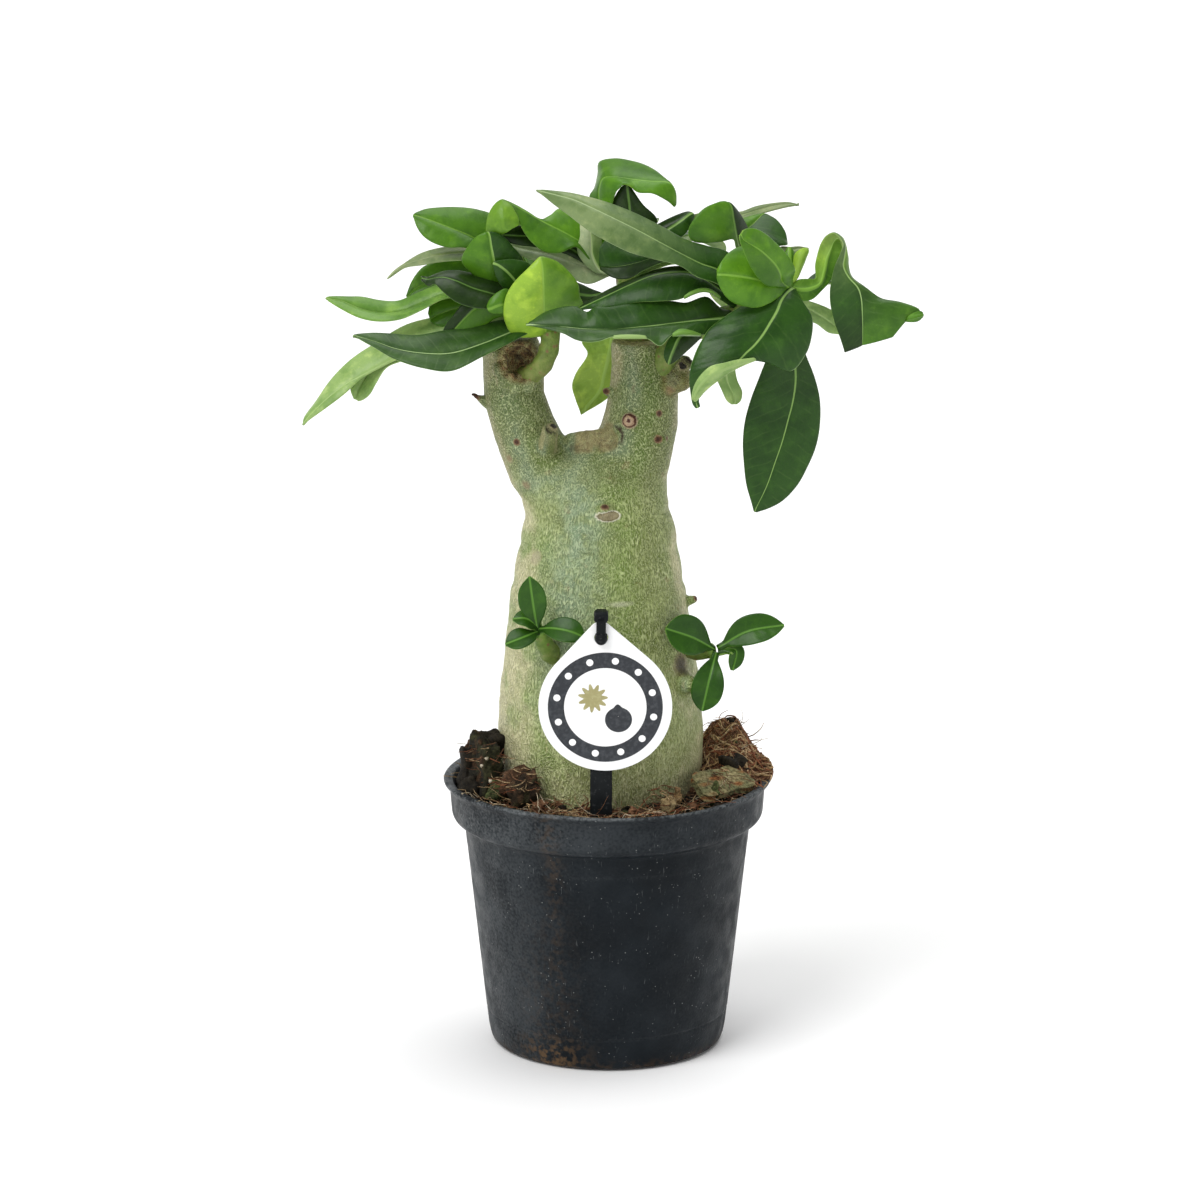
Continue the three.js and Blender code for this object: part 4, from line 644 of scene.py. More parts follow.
    dict(tone="hem", flap=True, rows=[  # its margin turned up near the tip
        (756, 359.5, -40, 755, 359, -42, 753, 358.3, -42),
        (741, 366, -42, 740, 363, -45, 739, 359.3, -45),
        (728, 373, -43, 726, 368.5, -47, 724, 362.7, -47),
        (716, 382, -43.5, 712, 374.5, -47.5, 710, 366.5, -47),
        (706, 390, -43, 702.5, 382.5, -46.5, 699.5, 376.5, -46),
        (699.5, 397.5, -42.5, 696.5, 391, -45, 694.5, 385.5, -45),
        (695.5, 401, -41.5, 694, 397.5, -43, 692.5, 394, -43),
        (692.8, 399, -42, 692.5, 398.5, -42, 692, 397.5, -42),
    ]),
    dict(tone=["plain", "plain", "fresh", "deep", "mid"], right=["plain", "fresh", "sheen", "dark", "black"],
         bow=0.04, rows=[  # the leaf that loops up and over at the right
        (791, 290, -22, 790, 287, -22, 789, 284, -22),
        (799, 300.5, -23, 799, 290, -22, 799, 279.3, -21),
        (812, 299.5, -21, 809, 289, -21, 809, 278.7, -20),
        (823, 289.5, -19, 819, 284, -19, 815.5, 278, -19),
        (831, 280, -17, 824, 271, -17, 815, 266, -17),
        (835.5, 265, -16, 827, 258, -16, 817.5, 253.5, -16),
        (840, 254, -16, 831.5, 247, -15, 821, 243, -16),
        (843.5, 246, -17, 835, 239.5, -16, 826, 236, -17),
        (843.5, 240, -18, 840, 236, -19, 834, 233, -19),
        (846, 249, -19, 845, 246, -21, 843, 243, -22),
        (848, 258, -20, 844.5, 256, -22.5, 840, 254, -23),
        (848.5, 266, -20, 843, 266, -23, 835, 265, -24),
        (852, 277.5, -20, 848, 277, -23.5, 831.5, 279, -24.5),
        (866, 288, -20, 857.5, 288, -23.5, 829.8, 292, -25),
        (882, 298.7, -20, 861, 299, -23.5, 830.5, 306, -25.5),
        (901, 302, -20.5, 862, 312, -24, 834.5, 322.5, -25.5),
        (920, 310.5, -21.5, 862.5, 326, -24, 839.5, 336.5, -25.5),
        (906, 321.5, -22.5, 862.5, 338, -24, 843, 347, -25),
        (893, 337, -23, 862.3, 345, -23.5, 844.5, 352.3, -24.5),
    ]),
    dict(tone="plain", flap=True, rows=[  # its corner, curled over
        (906, 321.5, -23, 907.5, 318.5, -24.5, 909, 315.5, -24),
        (912, 322, -23, 913, 317.5, -25, 914, 312.5, -24),
        (918, 321, -22.5, 919, 316, -24.5, 919.5, 310.8, -23),
        (922.5, 317, -22, 923, 315, -23, 922, 312, -22),
    ]),
    dict(tone="hem", rows=[  # the pale one between them
        (793, 289, -20, 792, 291, -21, 791, 293, -21),
        (805, 299, -16, 800, 304, -16, 796, 311, -16),
        (817, 303.5, -12, 812, 311, -13, 808, 320, -14),
        (829, 308.5, -9, 824, 318, -10, 818, 325, -11),
        (838, 315, -8, 833, 324.5, -8, 828, 332.5, -9),
        (842, 325, -7, 840, 329, -7, 837, 334.3, -8),
        (843, 333, -7, 843, 334, -7, 842, 334.6, -7),
    ]),
    dict(tone="lime", rows=[  # the young ones at the growing point
        (790, 284, -22, 792, 283, -22, 794, 283, -22),
        (794, 270, -20, 796.5, 271, -21, 800, 271, -19),
        (793.5, 262, -19, 799, 262, -20.5, 804, 263, -18),
        (795, 254, -18.5, 802, 254.5, -20, 806.7, 256, -17.5),
        (800, 249.7, -18.5, 805, 250.3, -19, 808.3, 252, -17.5),
        (805, 248, -18.5, 807, 248.3, -18.5, 808.3, 249.5, -18),
    ]),
    dict(tone="bright", rows=[
        (788, 284, -21, 790, 284, -21, 792, 283, -20.5),
        (785, 262, -17, 790, 263, -18, 796, 262, -16),
        (785, 253.5, -16, 789.5, 254, -17, 795, 254.5, -15),
        (788, 247.8, -15.5, 789.5, 247, -15.8, 791, 248, -15.5),
    ]),
    dict(tone="grey", rows=[
        (788, 282, -16, 790, 282, -16, 792, 283, -16),
        (781, 258, -12, 784, 262, -12, 790, 266, -12),
        (780, 247, -9, 786, 252, -9, 792, 258, -10),
        (790, 247, -8, 794, 250, -8, 798, 256, -9),
        (800, 246.2, -7.5, 802, 248.5, -7.5, 804, 253, -8.5),
        (808, 248, -8, 808.5, 249, -8, 808, 250.5, -8),
    ]),
    dict(tone="mid", right="dark", rows=[  # the one behind, at the upper right
        (786, 284, -19, 788, 286, -19, 790, 287, -19),
        (760, 262, -15, 768, 262, -15, 780, 264, -15),
        (742, 240, -11, 748, 243, -11, 778, 247, -11),
        (739, 226, -8, 746, 231, -8, 787, 245, -9),
        (741, 219.5, -5, 752, 225, -5, 787.5, 241.5, -6),
        (749, 216.8, -2, 758, 219, -2, 785, 231, -3),
        (757, 215, 0, 762, 215.3, 0, 777.5, 221, -1),
        (763, 214, 1, 765, 214.2, 1, 769, 216.5, 0),
    ]),
    dict(tone="hem", rows=[  # the small pale one under the great leaf
        (731, 322, -14, 728.7, 322, -15, 726, 322, -14),
        (733, 350, -9, 725, 352, -10, 714, 352, -9),
        (737, 379, -8, 727, 380, -8.5, 715, 374, -8),
        (742.3, 392, -8, 732, 392, -8, 722, 391, -8),
        (740.5, 401, -8, 735, 401, -8, 727, 401, -8),
        (736.5, 404, -8, 734, 404.2, -8, 731.5, 404, -8),
    ]),
    dict(BACK_LEAF, rib=[[61, -19, 279], [61, 1, 286], [63, 20, 285], [65, 36, 278]], half=9,
         face=[0, 0.2, 1], fold=12, wave=[0.6, 1.5, 0.5]),
    dict(BACK_LEAF, rib=[[49, -16, 274], [46, 4, 278], [44, 22, 274], [43, 36, 266]], half=8.5,
         face=[0, 0.2, 1], wave=[0.6, 1.5, 0.2], tone="mid"),
    dict(BACK_LEAF, rib=[[65, -20, 281], [80, -7, 283], [91, 3, 275], [99, 8, 267]], half=7.5,
         face=[0.3, 0.1, 1], wave=[0.6, 1.5, 0.7]),
]
SIDE_LEFT_STEM = dict(
    path=[[-17, -24, 149], [-21, -31, 154], [-24.3, -33.5, 162]],
    radii=[4.2, 2.6],
)
SIDE_LEFT_LEAVES = [
    dict(YOUNG_LEAF, rib=[[-24.6, -33.5, 162], [-26, -35.5, 170], [-27.6, -36, 182]], half=5.2,
         face=[-0.1, -1, 0.1]),
    dict(YOUNG_LEAF, rib=[[-24.6, -33.5, 162], [-29, -36, 166.5], [-33.6, -36, 166.5]], half=3.6,
         face=[-0.2, -0.6, 0.8], curl=6),
    dict(YOUNG_LEAF, rib=[[-24.4, -34, 161], [-29, -38, 160.5], [-36.2, -39, 158]], half=4.4,
         face=[-0.1, -0.7, 0.7], curl=6),
    dict(YOUNG_LEAF, rib=[[-24, -34, 162], [-19, -38, 163.5], [-13, -40.5, 163], [-8, -41, 161]], half=5,
         face=[0.1, -0.8, 0.6], widest=0.6),
]
SIDE_RIGHT_STEM = dict(
    path=[[25, -10, 150], [33, -14, 149], [39, -16, 150.5]],
    radii=[3, 2.4],
)
SIDE_RIGHT_LEAVES = [
    dict(YOUNG_LEAF, rib=[[38, -16, 150.5], [31, -21.5, 156], [21, -25.5, 160.5]], half=7.4,
         face=[0.1, -0.9, 0.45], fold=10, wave=[0.3, 1, 0.3], widest=0.62, blunt=0.6),
    dict(YOUNG_LEAF, rib=[[40, -16.5, 151], [50, -18, 157.5], [63.5, -18, 160]], half=5.8,
         face=[-0.1, -0.9, 0.5], fold=10, widest=0.55),
    dict(YOUNG_LEAF, rib=[[39, -17, 149.5], [36.8, -22, 142], [34, -25, 130]], half=6,
         face=[0.1, -1, 0.2], fold=10, widest=0.6, blunt=0.7),
    dict(YOUNG_LEAF, rib=[[40, -16.5, 150], [46, -17.5, 150.5], [45, -19, 143.5]], half=3.2,
         face=[0.3, -0.7, 0.5], fold=20, curl=10, widest=0.55, blunt=0.7),
]


# ---------------------------------------------------------------- numbers and shapes
def clamp(value):
    return np.clip(value, 0, 1)


def smooth_step(low, high, value):
    """0 at low and 1 at high, with an even passage between them."""
    t = clamp((np.asarray(value, float) - low) / (high - low))
    return t * t * (3 - 2 * t)


def hill(value, width):
    """A bell curve that is 1 at 0."""
    return np.exp(-((value / width) ** 2))


def unit(vectors):
    vectors = np.asarray(vectors, float)
    length = np.linalg.norm(vectors, axis=-1, keepdims=True)
    return vectors / np.maximum(length, 1e-9)


WORD = 0xFFFFFFFF  # the lowest 32 bits


def lattice(cell, seed):
    """A number from -1 to 1 for each whole-numbered cell."""
    cell = cell.astype(np.int64)
    word = cell[..., 0] * 374761393 + cell[..., 1] * 668265263 + cell[..., 2] * 1274126177
    word = (word + seed * 144665) & WORD
    word = ((word ^ (word >> 13)) * 1103515245) & WORD
    word = ((word ^ (word >> 16)) * 374761393) & WORD
    return (word ^ (word >> 15)) / WORD * 2 - 1


def noise(points, size, seed=0):
    """Smooth noise from -1 to 1 whose features are about size across."""
    scaled = np.asarray(points, float) / size
    cell = np.floor(scaled)
    part = scaled - cell
    part = part * part * (3 - 2 * part)
    total = 0
    for corner in itertools.product((0, 1), repeat=3):
        weight = np.prod(np.where(corner, part, 1 - part), axis=-1)
        total = total + weight * lattice(cell + corner, seed)
    return total


def rough(points, size, octaves, seed=0):
    """Noise with ever finer detail added."""
    total = 0
    for octave in range(octaves):
        total = total + noise(points, size / 2**octave, seed + octave) / 2**octave
    return total


def mixed(first, second, share):
    return np.array(first) * (1 - share) + np.array(second) * share


def round_angles(count):
    """Evenly spaced angles, once round."""
    return np.linspace(0, 2 * math.pi, count, endpoint=False)


def circle(centre, radius, angles):
    return np.stack([centre[0] + radius * np.cos(angles), centre[1] + radius * np.sin(angles)], 1)


def turn_z(points, angle):
    c, s = math.cos(angle), math.sin(angle)
    return points @ np.array([[c, s, 0], [-s, c, 0], [0, 0, 1]])


def turn_x(points, angle):
    c, s = math.cos(angle), math.sin(angle)
    return points @ np.array([[1, 0, 0], [0, c, s], [0, -s, c]])


def centripetal(points, samples=40):
    """A smooth curve through points, finely sampled, with the share of its length at each sample."""
    points = np.asarray(points, float)
    padded = np.concatenate([[2 * points[0] - points[1]], points, [2 * points[-1] - points[-2]]])
    pieces = []
    for a, b, c, d in zip(padded, padded[1:], padded[2:], padded[3:]):
        before, span, after = (np.linalg.norm(q - p) ** 0.5 for p, q in ((a, b), (b, c), (c, d)))
        leave = ((b - a) / before - (c - a) / (before + span) + (c - b) / span) * span
        arrive = ((c - b) / span - (d - b) / (span + after) + (d - c) / after) * span
        t = np.linspace(0, 1, samples, endpoint=False)[:, None]
        square, cube = t * t, t * t * t
        pieces.append(
            b + leave * t
            + (-3 * b + 3 * c - 2 * leave - arrive) * square
            + (2 * b - 2 * c + leave + arrive) * cube
        )
    pieces.append(points[-1:])
    curve = np.concatenate(pieces)
    length = np.concatenate([[0], np.cumsum(np.linalg.norm(np.diff(curve, axis=0), axis=1))])
    return curve, length


def along_curve(points, shares):
    """Points and directions at shares of a curve's length, and that length."""
    curve, length = centripetal(points)
    slope = unit(np.gradient(curve, axis=0))
    at = np.asarray(shares) * length[-1]
    place = np.stack([np.interp(at, length, curve[:, axis]) for axis in range(3)], -1)
    heading = np.stack([np.interp(at, length, slope[:, axis]) for axis in range(3)], -1)
    return place, unit(heading), length[-1]


def grid_faces(rows, columns, closed=False, start=0):
    """Quads of a grid of points, row by row. closed joins the last column to the first."""
    faces = []
    for i in range(rows - 1):
        for j in range(columns if closed else columns - 1):
            a = start + i * columns + j
            b = start + i * columns + (j + 1) % columns
            faces.append((a, b, b + columns, a + columns))
    return faces


def flipped(faces):
    return [face[::-1] for face in faces]


def vertex_normals(points, quads):
    """Outward directions of a mesh of quads, from its faces."""
    corners = points[quads]
    face = np.cross(corners[:, 2] - corners[:, 0], corners[:, 3] - corners[:, 1])
    total = np.zeros_like(points)
    for corner in range(4):
        np.add.at(total, quads[:, corner], face)
    return unit(total)


class Shape:
    """Points, faces and values per point that are gathered into one mesh."""

    def __init__(self):
        self.points = []
        self.faces = []
        self.values = {}
        self.count = 0

    def add(self, points, faces, **values):
        points = np.asarray(points, float).reshape(-1, 3)
        self.faces.extend(tuple(int(n) + self.count for n in face) for face in faces)
        self.points.append(points)
        for name, value in values.items():
            self.values.setdefault(name, []).append(np.asarray(value, float))
        self.count += len(points)

    def build(self, name, material, replaces=(), smooth=True):
        """Makes the piece: a mesh in metres that rides on the root body."""
        mesh = bpy.data.meshes.new(name)
        points = np.concatenate(self.points) * MM
        mesh.from_pydata(points.tolist(), [], self.faces)
        for key, parts in self.values.items():
            value = np.concatenate(parts)
            kind = "FLOAT" if value.ndim == 1 else "FLOAT_COLOR"
            layer = mesh.attributes.new(key, kind, "POINT")
            if value.ndim == 1:
                layer.data.foreach_set("value", value.astype(np.float32))
            else:
                with_alpha = np.concatenate([value, np.ones((len(value), 1))], axis=1)
                layer.data.foreach_set("color", with_alpha.astype(np.float32).ravel())
        mesh.polygons.foreach_set("use_smooth", [smooth] * len(mesh.polygons))
        mesh.update()
        mesh.materials.append(material)
        piece = bpy.data.objects.new(name, mesh)
        bpy.context.scene.collection.objects.link(piece)
        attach(piece, "root")
        if replaces:
            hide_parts(*replaces)


def add_tube(shape, path, radii, sides=8, wobble=0, seed=0, capped=True, **values):
    """A tube along points, with a radius for each of them."""
    path = np.asarray(path, float)
    radii = np.broadcast_to(radii, len(path))
    heading = unit(np.gradient(path, axis=0))
    normal = unit(np.cross(heading[0], [0.31, 0.2, 0.93] if abs(heading[0][2]) < 0.9 else [1, 0.2, 0]))
    angles = round_angles(sides)
    rings = []
    for centre, direction, radius in zip(path, heading, radii):
        normal = unit(normal - direction * np.dot(normal, direction))
        other = np.cross(direction, normal)
        ring = np.cos(angles)[:, None] * normal + np.sin(angles)[:, None] * other
        rings.append(centre + ring * radius)
    points = np.concatenate(rings)
    if wobble:
        centres = np.repeat(path, sides, axis=0)
        points = points + unit(points - centres) * wobble * rough(points, 3, 2, seed)[:, None]
    faces = grid_faces(len(path), sides, closed=True)
    if capped:
        faces.append(tuple(range(sides))[::-1])
        faces.append(tuple(range((len(path) - 1) * sides, len(path) * sides)))
    shape.add(points, faces, **values)


# ---------------------------------------------------------------- materials
class Paint:
    """A procedural material under construction. Coordinates and sizes inside it are millimetres."""

    def __init__(self, name, roughness, specular=0.3):
        self.material = bpy.data.materials.new(name)
        self.material.use_nodes = True
        self.tree = self.material.node_tree
        self.shader = self.tree.nodes["Principled BSDF"]
        self.shader.inputs["Roughness"].default_value = roughness
        self.shader.inputs["Specular IOR Level"].default_value = specular
        coordinates = self.node("ShaderNodeTexCoord")
        scaled = self.node("ShaderNodeVectorMath", operation="SCALE")
        self.tree.links.new(coordinates.outputs["Object"], scaled.inputs[0])
        scaled.inputs["Scale"].default_value = 1 / MM
        self.place = scaled.outputs[0]

    def node(self, kind, **properties):
        made = self.tree.nodes.new(kind)
        for key, value in properties.items():
            setattr(made, key, value)
        return made

    def feed(self, socket, value):
        if isinstance(value, bpy.types.NodeSocket):
            self.tree.links.new(value, socket)
        elif isinstance(value, (tuple, list)) and len(value) == 3 and socket.type == "RGBA":
            socket.default_value = (*value, 1)
        else:
            socket.default_value = value

    def math(self, operation, a, b=0, c=None, clamp=False):
        made = self.node("ShaderNodeMath", operation=operation, use_clamp=clamp)
        self.feed(made.inputs[0], a)
        self.feed(made.inputs[1], b)
        if c is not None:
            self.feed(made.inputs[2], c)
        return made.outputs[0]

    def times(self, a, b):
        return self.math("MULTIPLY", a, b)

    def vector(self, operation, a, b):
        made = self.node("ShaderNodeVectorMath", operation=operation)
        self.feed(made.inputs[0], a)
        self.feed(made.inputs[1], b)
        return made.outputs["Value" if operation == "DISTANCE" else "Vector"]

    def stretch(self, factors, vector=None):
        return self.vector("MULTIPLY", vector or self.place, factors)

    def value(self, name):
        return self.node("ShaderNodeAttribute", attribute_name=name).outputs["Fac"]

    def colour_of(self, name):
        return self.node("ShaderNodeAttribute", attribute_name=name).outputs["Color"]

    def noise(self, size, detail=2, vector=None, colour=False):
        made = self.node("ShaderNodeTexNoise")
        self.feed(made.inputs["Vector"], vector or self.place)
        made.inputs["Scale"].default_value = 1 / size
        made.inputs["Detail"].default_value = detail
        return made.outputs["Color" if colour else "Fac"]

    def speckle(self, size):
        """The distance to the nearest of many scattered points."""
        made = self.node("ShaderNodeTexVoronoi")
        self.feed(made.inputs["Vector"], self.place)
        made.inputs["Scale"].default_value = 1 / size
        return made.outputs["Distance"]

    def warp(self, vector, size, amount):
        """The vector pushed about by noise."""
        push = self.vector("SUBTRACT", self.noise(size, 2, colour=True), (0.5, 0.5, 0.5))
        return self.vector("ADD", vector, self.vector("MULTIPLY", push, (2 * amount,) * 3))

    def between(self, value, low, high, out_low=0, out_high=1):
        """The value's place between low and high, smoothed, as out_low to out_high."""
        made = self.node("ShaderNodeMapRange", interpolation_type="SMOOTHSTEP")
        self.feed(made.inputs["Value"], value)
        made.inputs["From Min"].default_value = low
        made.inputs["From Max"].default_value = high
        made.inputs["To Min"].default_value = out_low
        made.inputs["To Max"].default_value = out_high
        return made.outputs["Result"]

    def blend(self, share, a, b, kind="MIX"):
        made = self.node("ShaderNodeMix", data_type="RGBA", blend_type=kind)
        self.feed(made.inputs[0], share)
        self.feed(made.inputs[6], a)
        self.feed(made.inputs[7], b)
        return made.outputs[2]

    def tinted(self, colour, factors):
        return self.blend(1, colour, factors, "MULTIPLY")

    def ramp(self, value, stops):
        made = self.node("ShaderNodeValToRGB")
        self.feed(made.inputs[0], value)
        elements = made.color_ramp.elements
        while len(elements) < len(stops):
            elements.new(0.5)
        for element, (position, colour) in zip(elements, stops):
            element.position = position
            element.color = (*colour, 1)
        return made.outputs["Color"]

    def bump(self, height, distance):
        """Relief from a height whose 0 to 1 stands for distance in millimetres."""
        made = self.node("ShaderNodeBump")
        made.inputs["Distance"].default_value = distance * MM
        self.feed(made.inputs["Height"], height)
        return made.outputs["Normal"]

    def finish(self, colour, normal, roughness=None):
        self.feed(self.shader.inputs["Base Color"], colour)
        self.feed(self.shader.inputs["Normal"], normal)
        if roughness is not None:
            self.feed(self.shader.inputs["Roughness"], roughness)
        return self.material


def leaf_material():
    """Leathery leaf: its own green, a pale midrib and thin margin, faint side veins, freckles, and blotches
    of painted sheen.
    """
    paint = Paint("leaf_skin", 0.4, 0.22)
    along = paint.value("along")
    across = paint.math("ABSOLUTE", paint.value("across"))
    upper = paint.value("upper")
    rib_tint = paint.colour_of("rib_tint")
    base = paint.colour_of("tint")

    patches = paint.noise(8, 4)
    deeper = paint.tinted(base, (0.55, 0.66, 0.5))
    base = paint.blend(paint.between(patches, 0.38, 0.68, 0, 0.9), base, deeper)
    # painted sheen: blotches of the green are lifted into paler, greyer patches
    painted_sheen = paint.tinted(base, (1.75, 1.5, 1.6))
    base = paint.blend(paint.between(paint.noise(5, 3), 0.5, 0.72, 0, 0.6), base, painted_sheen)
    freckles = paint.noise(0.8, 3)
    lighter = paint.tinted(base, (1.7, 1.5, 1.35))
    base = paint.blend(paint.between(freckles, 0.52, 0.74, 0, 0.3), base, lighter)

    wander = paint.times(paint.noise(7, 2), 2.6)
    slant = paint.math("MULTIPLY_ADD", across, -0.5, along)
    phase = paint.math("ADD", slant, wander)
    wave = paint.math("PINGPONG", phase, 2.1)
    vein = paint.between(wave, 0, 0.5, 1, 0)
    vein = paint.times(vein, paint.between(across, 0.6, 1.8, 0, 1))
    vein = paint.times(vein, paint.between(paint.noise(4, 2), 0.35, 0.6))
    vein_share = paint.times(vein, paint.between(upper, 0, 1, 0.22, 0.06))
    base = paint.blend(vein_share, base, rib_tint)
    rib_width = paint.between(along, 0, 65, 0.55, 0.2)
    rib = paint.math("DIVIDE", across, rib_width)
    rib_share = paint.times(paint.between(rib, 0.5, 1.25, 1, 0), 0.9)
    base = paint.blend(rib_share, base, rib_tint)
    hemmed = paint.between(paint.noise(12, 2), 0.4, 0.6, 0.15, 0.7)
    margin = paint.times(paint.between(paint.value("edge"), 0.98, 1), hemmed)
    base = paint.blend(margin, base, rib_tint)

    raised = paint.between(paint.noise(9, 2), 0.4, 0.65, 0.05, 0.35)
    puff = paint.times(paint.between(wave, 0, 2.1), raised)
    relief = paint.math("ADD", puff, paint.times(paint.noise(0.5, 3), 0.25))
    relief = paint.math("MULTIPLY_ADD", paint.noise(3.2, 2), 0.9, relief)
    normal = paint.bump(relief, 0.16)
    shine = paint.math("ADD", paint.between(upper, 0, 1, 0.52, 0.26), paint.times(patches, 0.14))
    return paint.finish(base, normal, shine)


def stem_material():
    """Young green stem with a blush of tan and small leaf scars."""
    paint = Paint("green_stem", 0.5, 0.3)
    mottle = [
        (0.3, (0.07, 0.15, 0.015)),
        (0.5, (0.13, 0.24, 0.03)),
        (0.66, (0.2, 0.27, 0.06)),
        (0.8, (0.25, 0.15, 0.06)),
    ]
    colour = paint.ramp(paint.noise(2.6, 3), mottle)
    scar = paint.between(paint.speckle(3.4), 0.12, 0.24, 0.85, 0)
    colour = paint.blend(scar, colour, (0.2, 0.11, 0.045))
    colour = paint.blend(paint.value("brown"), colour, (0.16, 0.1, 0.05))
    return paint.finish(colour, paint.bump(paint.noise(0.8, 3), 0.3))


# scars painted on the bark: x, y, z, radius and how they look
SCARS = [
    (7.9, -13.2, 233.9, 4.3, "eye"),
    (-0.1, -22.6, 201.6, 5.4, "shield"),
    (5.2, -30, 170.7, 6, "scratch"),
    (-1, -22.8, 203.2, 2.1, "bud"),
    (18.9, -11.4, 226.6, 1.9, "bud"),
    (21.4, -9.5, 226.4, 1.3, "bud"),
    (17, -8.5, 236, 1.5, "bud"),
    (-32, -9.6, 225.6, 1.6, "bud"),
    (-36, -8.8, 218.5, 2.2, "blush"),
    (-31.3, -13.6, 208.5, 2.4, "blush"),
    (-29.2, -19.6, 186.4, 3.4, "pale"),
    (26.6, -18.6, 145.5, 5.4, "bruise"),
    (30.6, -18, 139, 4, "pale"),
    (-20, -18, 232.4, 3.1, "cut"),
    (-0.6, -5.4, 243, 1.9, "bud"),
    (-47.5, -3.4, 241, 2.6, "bud"),
    (27.2, -9.8, 253.4, 3.4, "cut"),
    (22.5, -9.6, 244, 2.4, "blush"),
    (31.6, -3.2, 166.2, 1.6, "bud"),
    (-34, 3, 199, 4.4, "shield"),
    (-41, -4, 158, 6, "scratch"),
    (-37, 5, 222, 2.6, "blush"),
    (-44, 5, 134, 1.9, "bud"),
    (5, 24, 206, 4.8, "shield"),
    (12, 20, 236, 3.8, "eye"),
    (-14, 30, 171, 6, "scratch"),
    (15, 30, 182, 2, "bud"),
    (-18, 27, 150, 4, "pale"),
    (30, 6, 196, 3, "pale"),
]
SCAR_LOOKS = {  # stops from the centre out: position, colour and strength
    "eye": [(0, (0.08, 0.025, 0.015), 1), (0.13, (0.08, 0.025, 0.015), 1), (0.2, (0.58, 0.42, 0.28), 1),
            (0.46, (0.52, 0.34, 0.21), 1), (0.54, (0.1, 0.022, 0.012), 1), (0.72, (0.09, 0.024, 0.012), 1),
            (0.82, (0.55, 0.43, 0.27), 0.95), (1, (0.4, 0.4, 0.22), 0)],
    "shield": [(0, (0.34, 0.27, 0.15), 0.9), (0.55, (0.4, 0.33, 0.2), 0.9), (0.74, (0.2, 0.13, 0.07), 0.7),
               (0.84, (0.8, 0.76, 0.6), 1), (1, (0.6, 0.6, 0.42), 0)],
    "scratch": [(0, (0.7, 0.7, 0.5), 0.6), (0.55, (0.66, 0.66, 0.46), 0.4), (1, (0.6, 0.6, 0.42), 0)],
    "bud": [(0, (0.05, 0.02, 0.012), 1), (0.45, (0.12, 0.05, 0.025), 1), (0.72, (0.3, 0.17, 0.09), 0.8),
            (1, (0.4, 0.3, 0.16), 0)],
    "blush": [(0, (0.32, 0.19, 0.1), 0.7), (0.5, (0.38, 0.25, 0.14), 0.5), (1, (0.4, 0.3, 0.16), 0)],
    "pale": [(0, (0.5, 0.45, 0.29), 0.8), (0.6, (0.5, 0.44, 0.28), 0.6), (1, (0.4, 0.3, 0.16), 0)],
    "bruise": [(0, (0.035, 0.022, 0.012), 0.95), (0.5, (0.06, 0.035, 0.018), 0.8), (1, (0.2, 0.1, 0.05), 0)],
    # cut: a cut end whose near-black middle lies over its hole: partly its own colour, partly painted shade
    # in the hole
    "cut": [(0, (0.015, 0.012, 0.008), 1), (0.42, (0.03, 0.024, 0.014), 1), (0.56, (0.36, 0.32, 0.16), 0.9),
            (0.8, (0.34, 0.33, 0.16), 0.5), (1, (0.3, 0.3, 0.12), 0)],
}
SCAR_SQUASH = {"shield": 2.2, "scratch": 5}


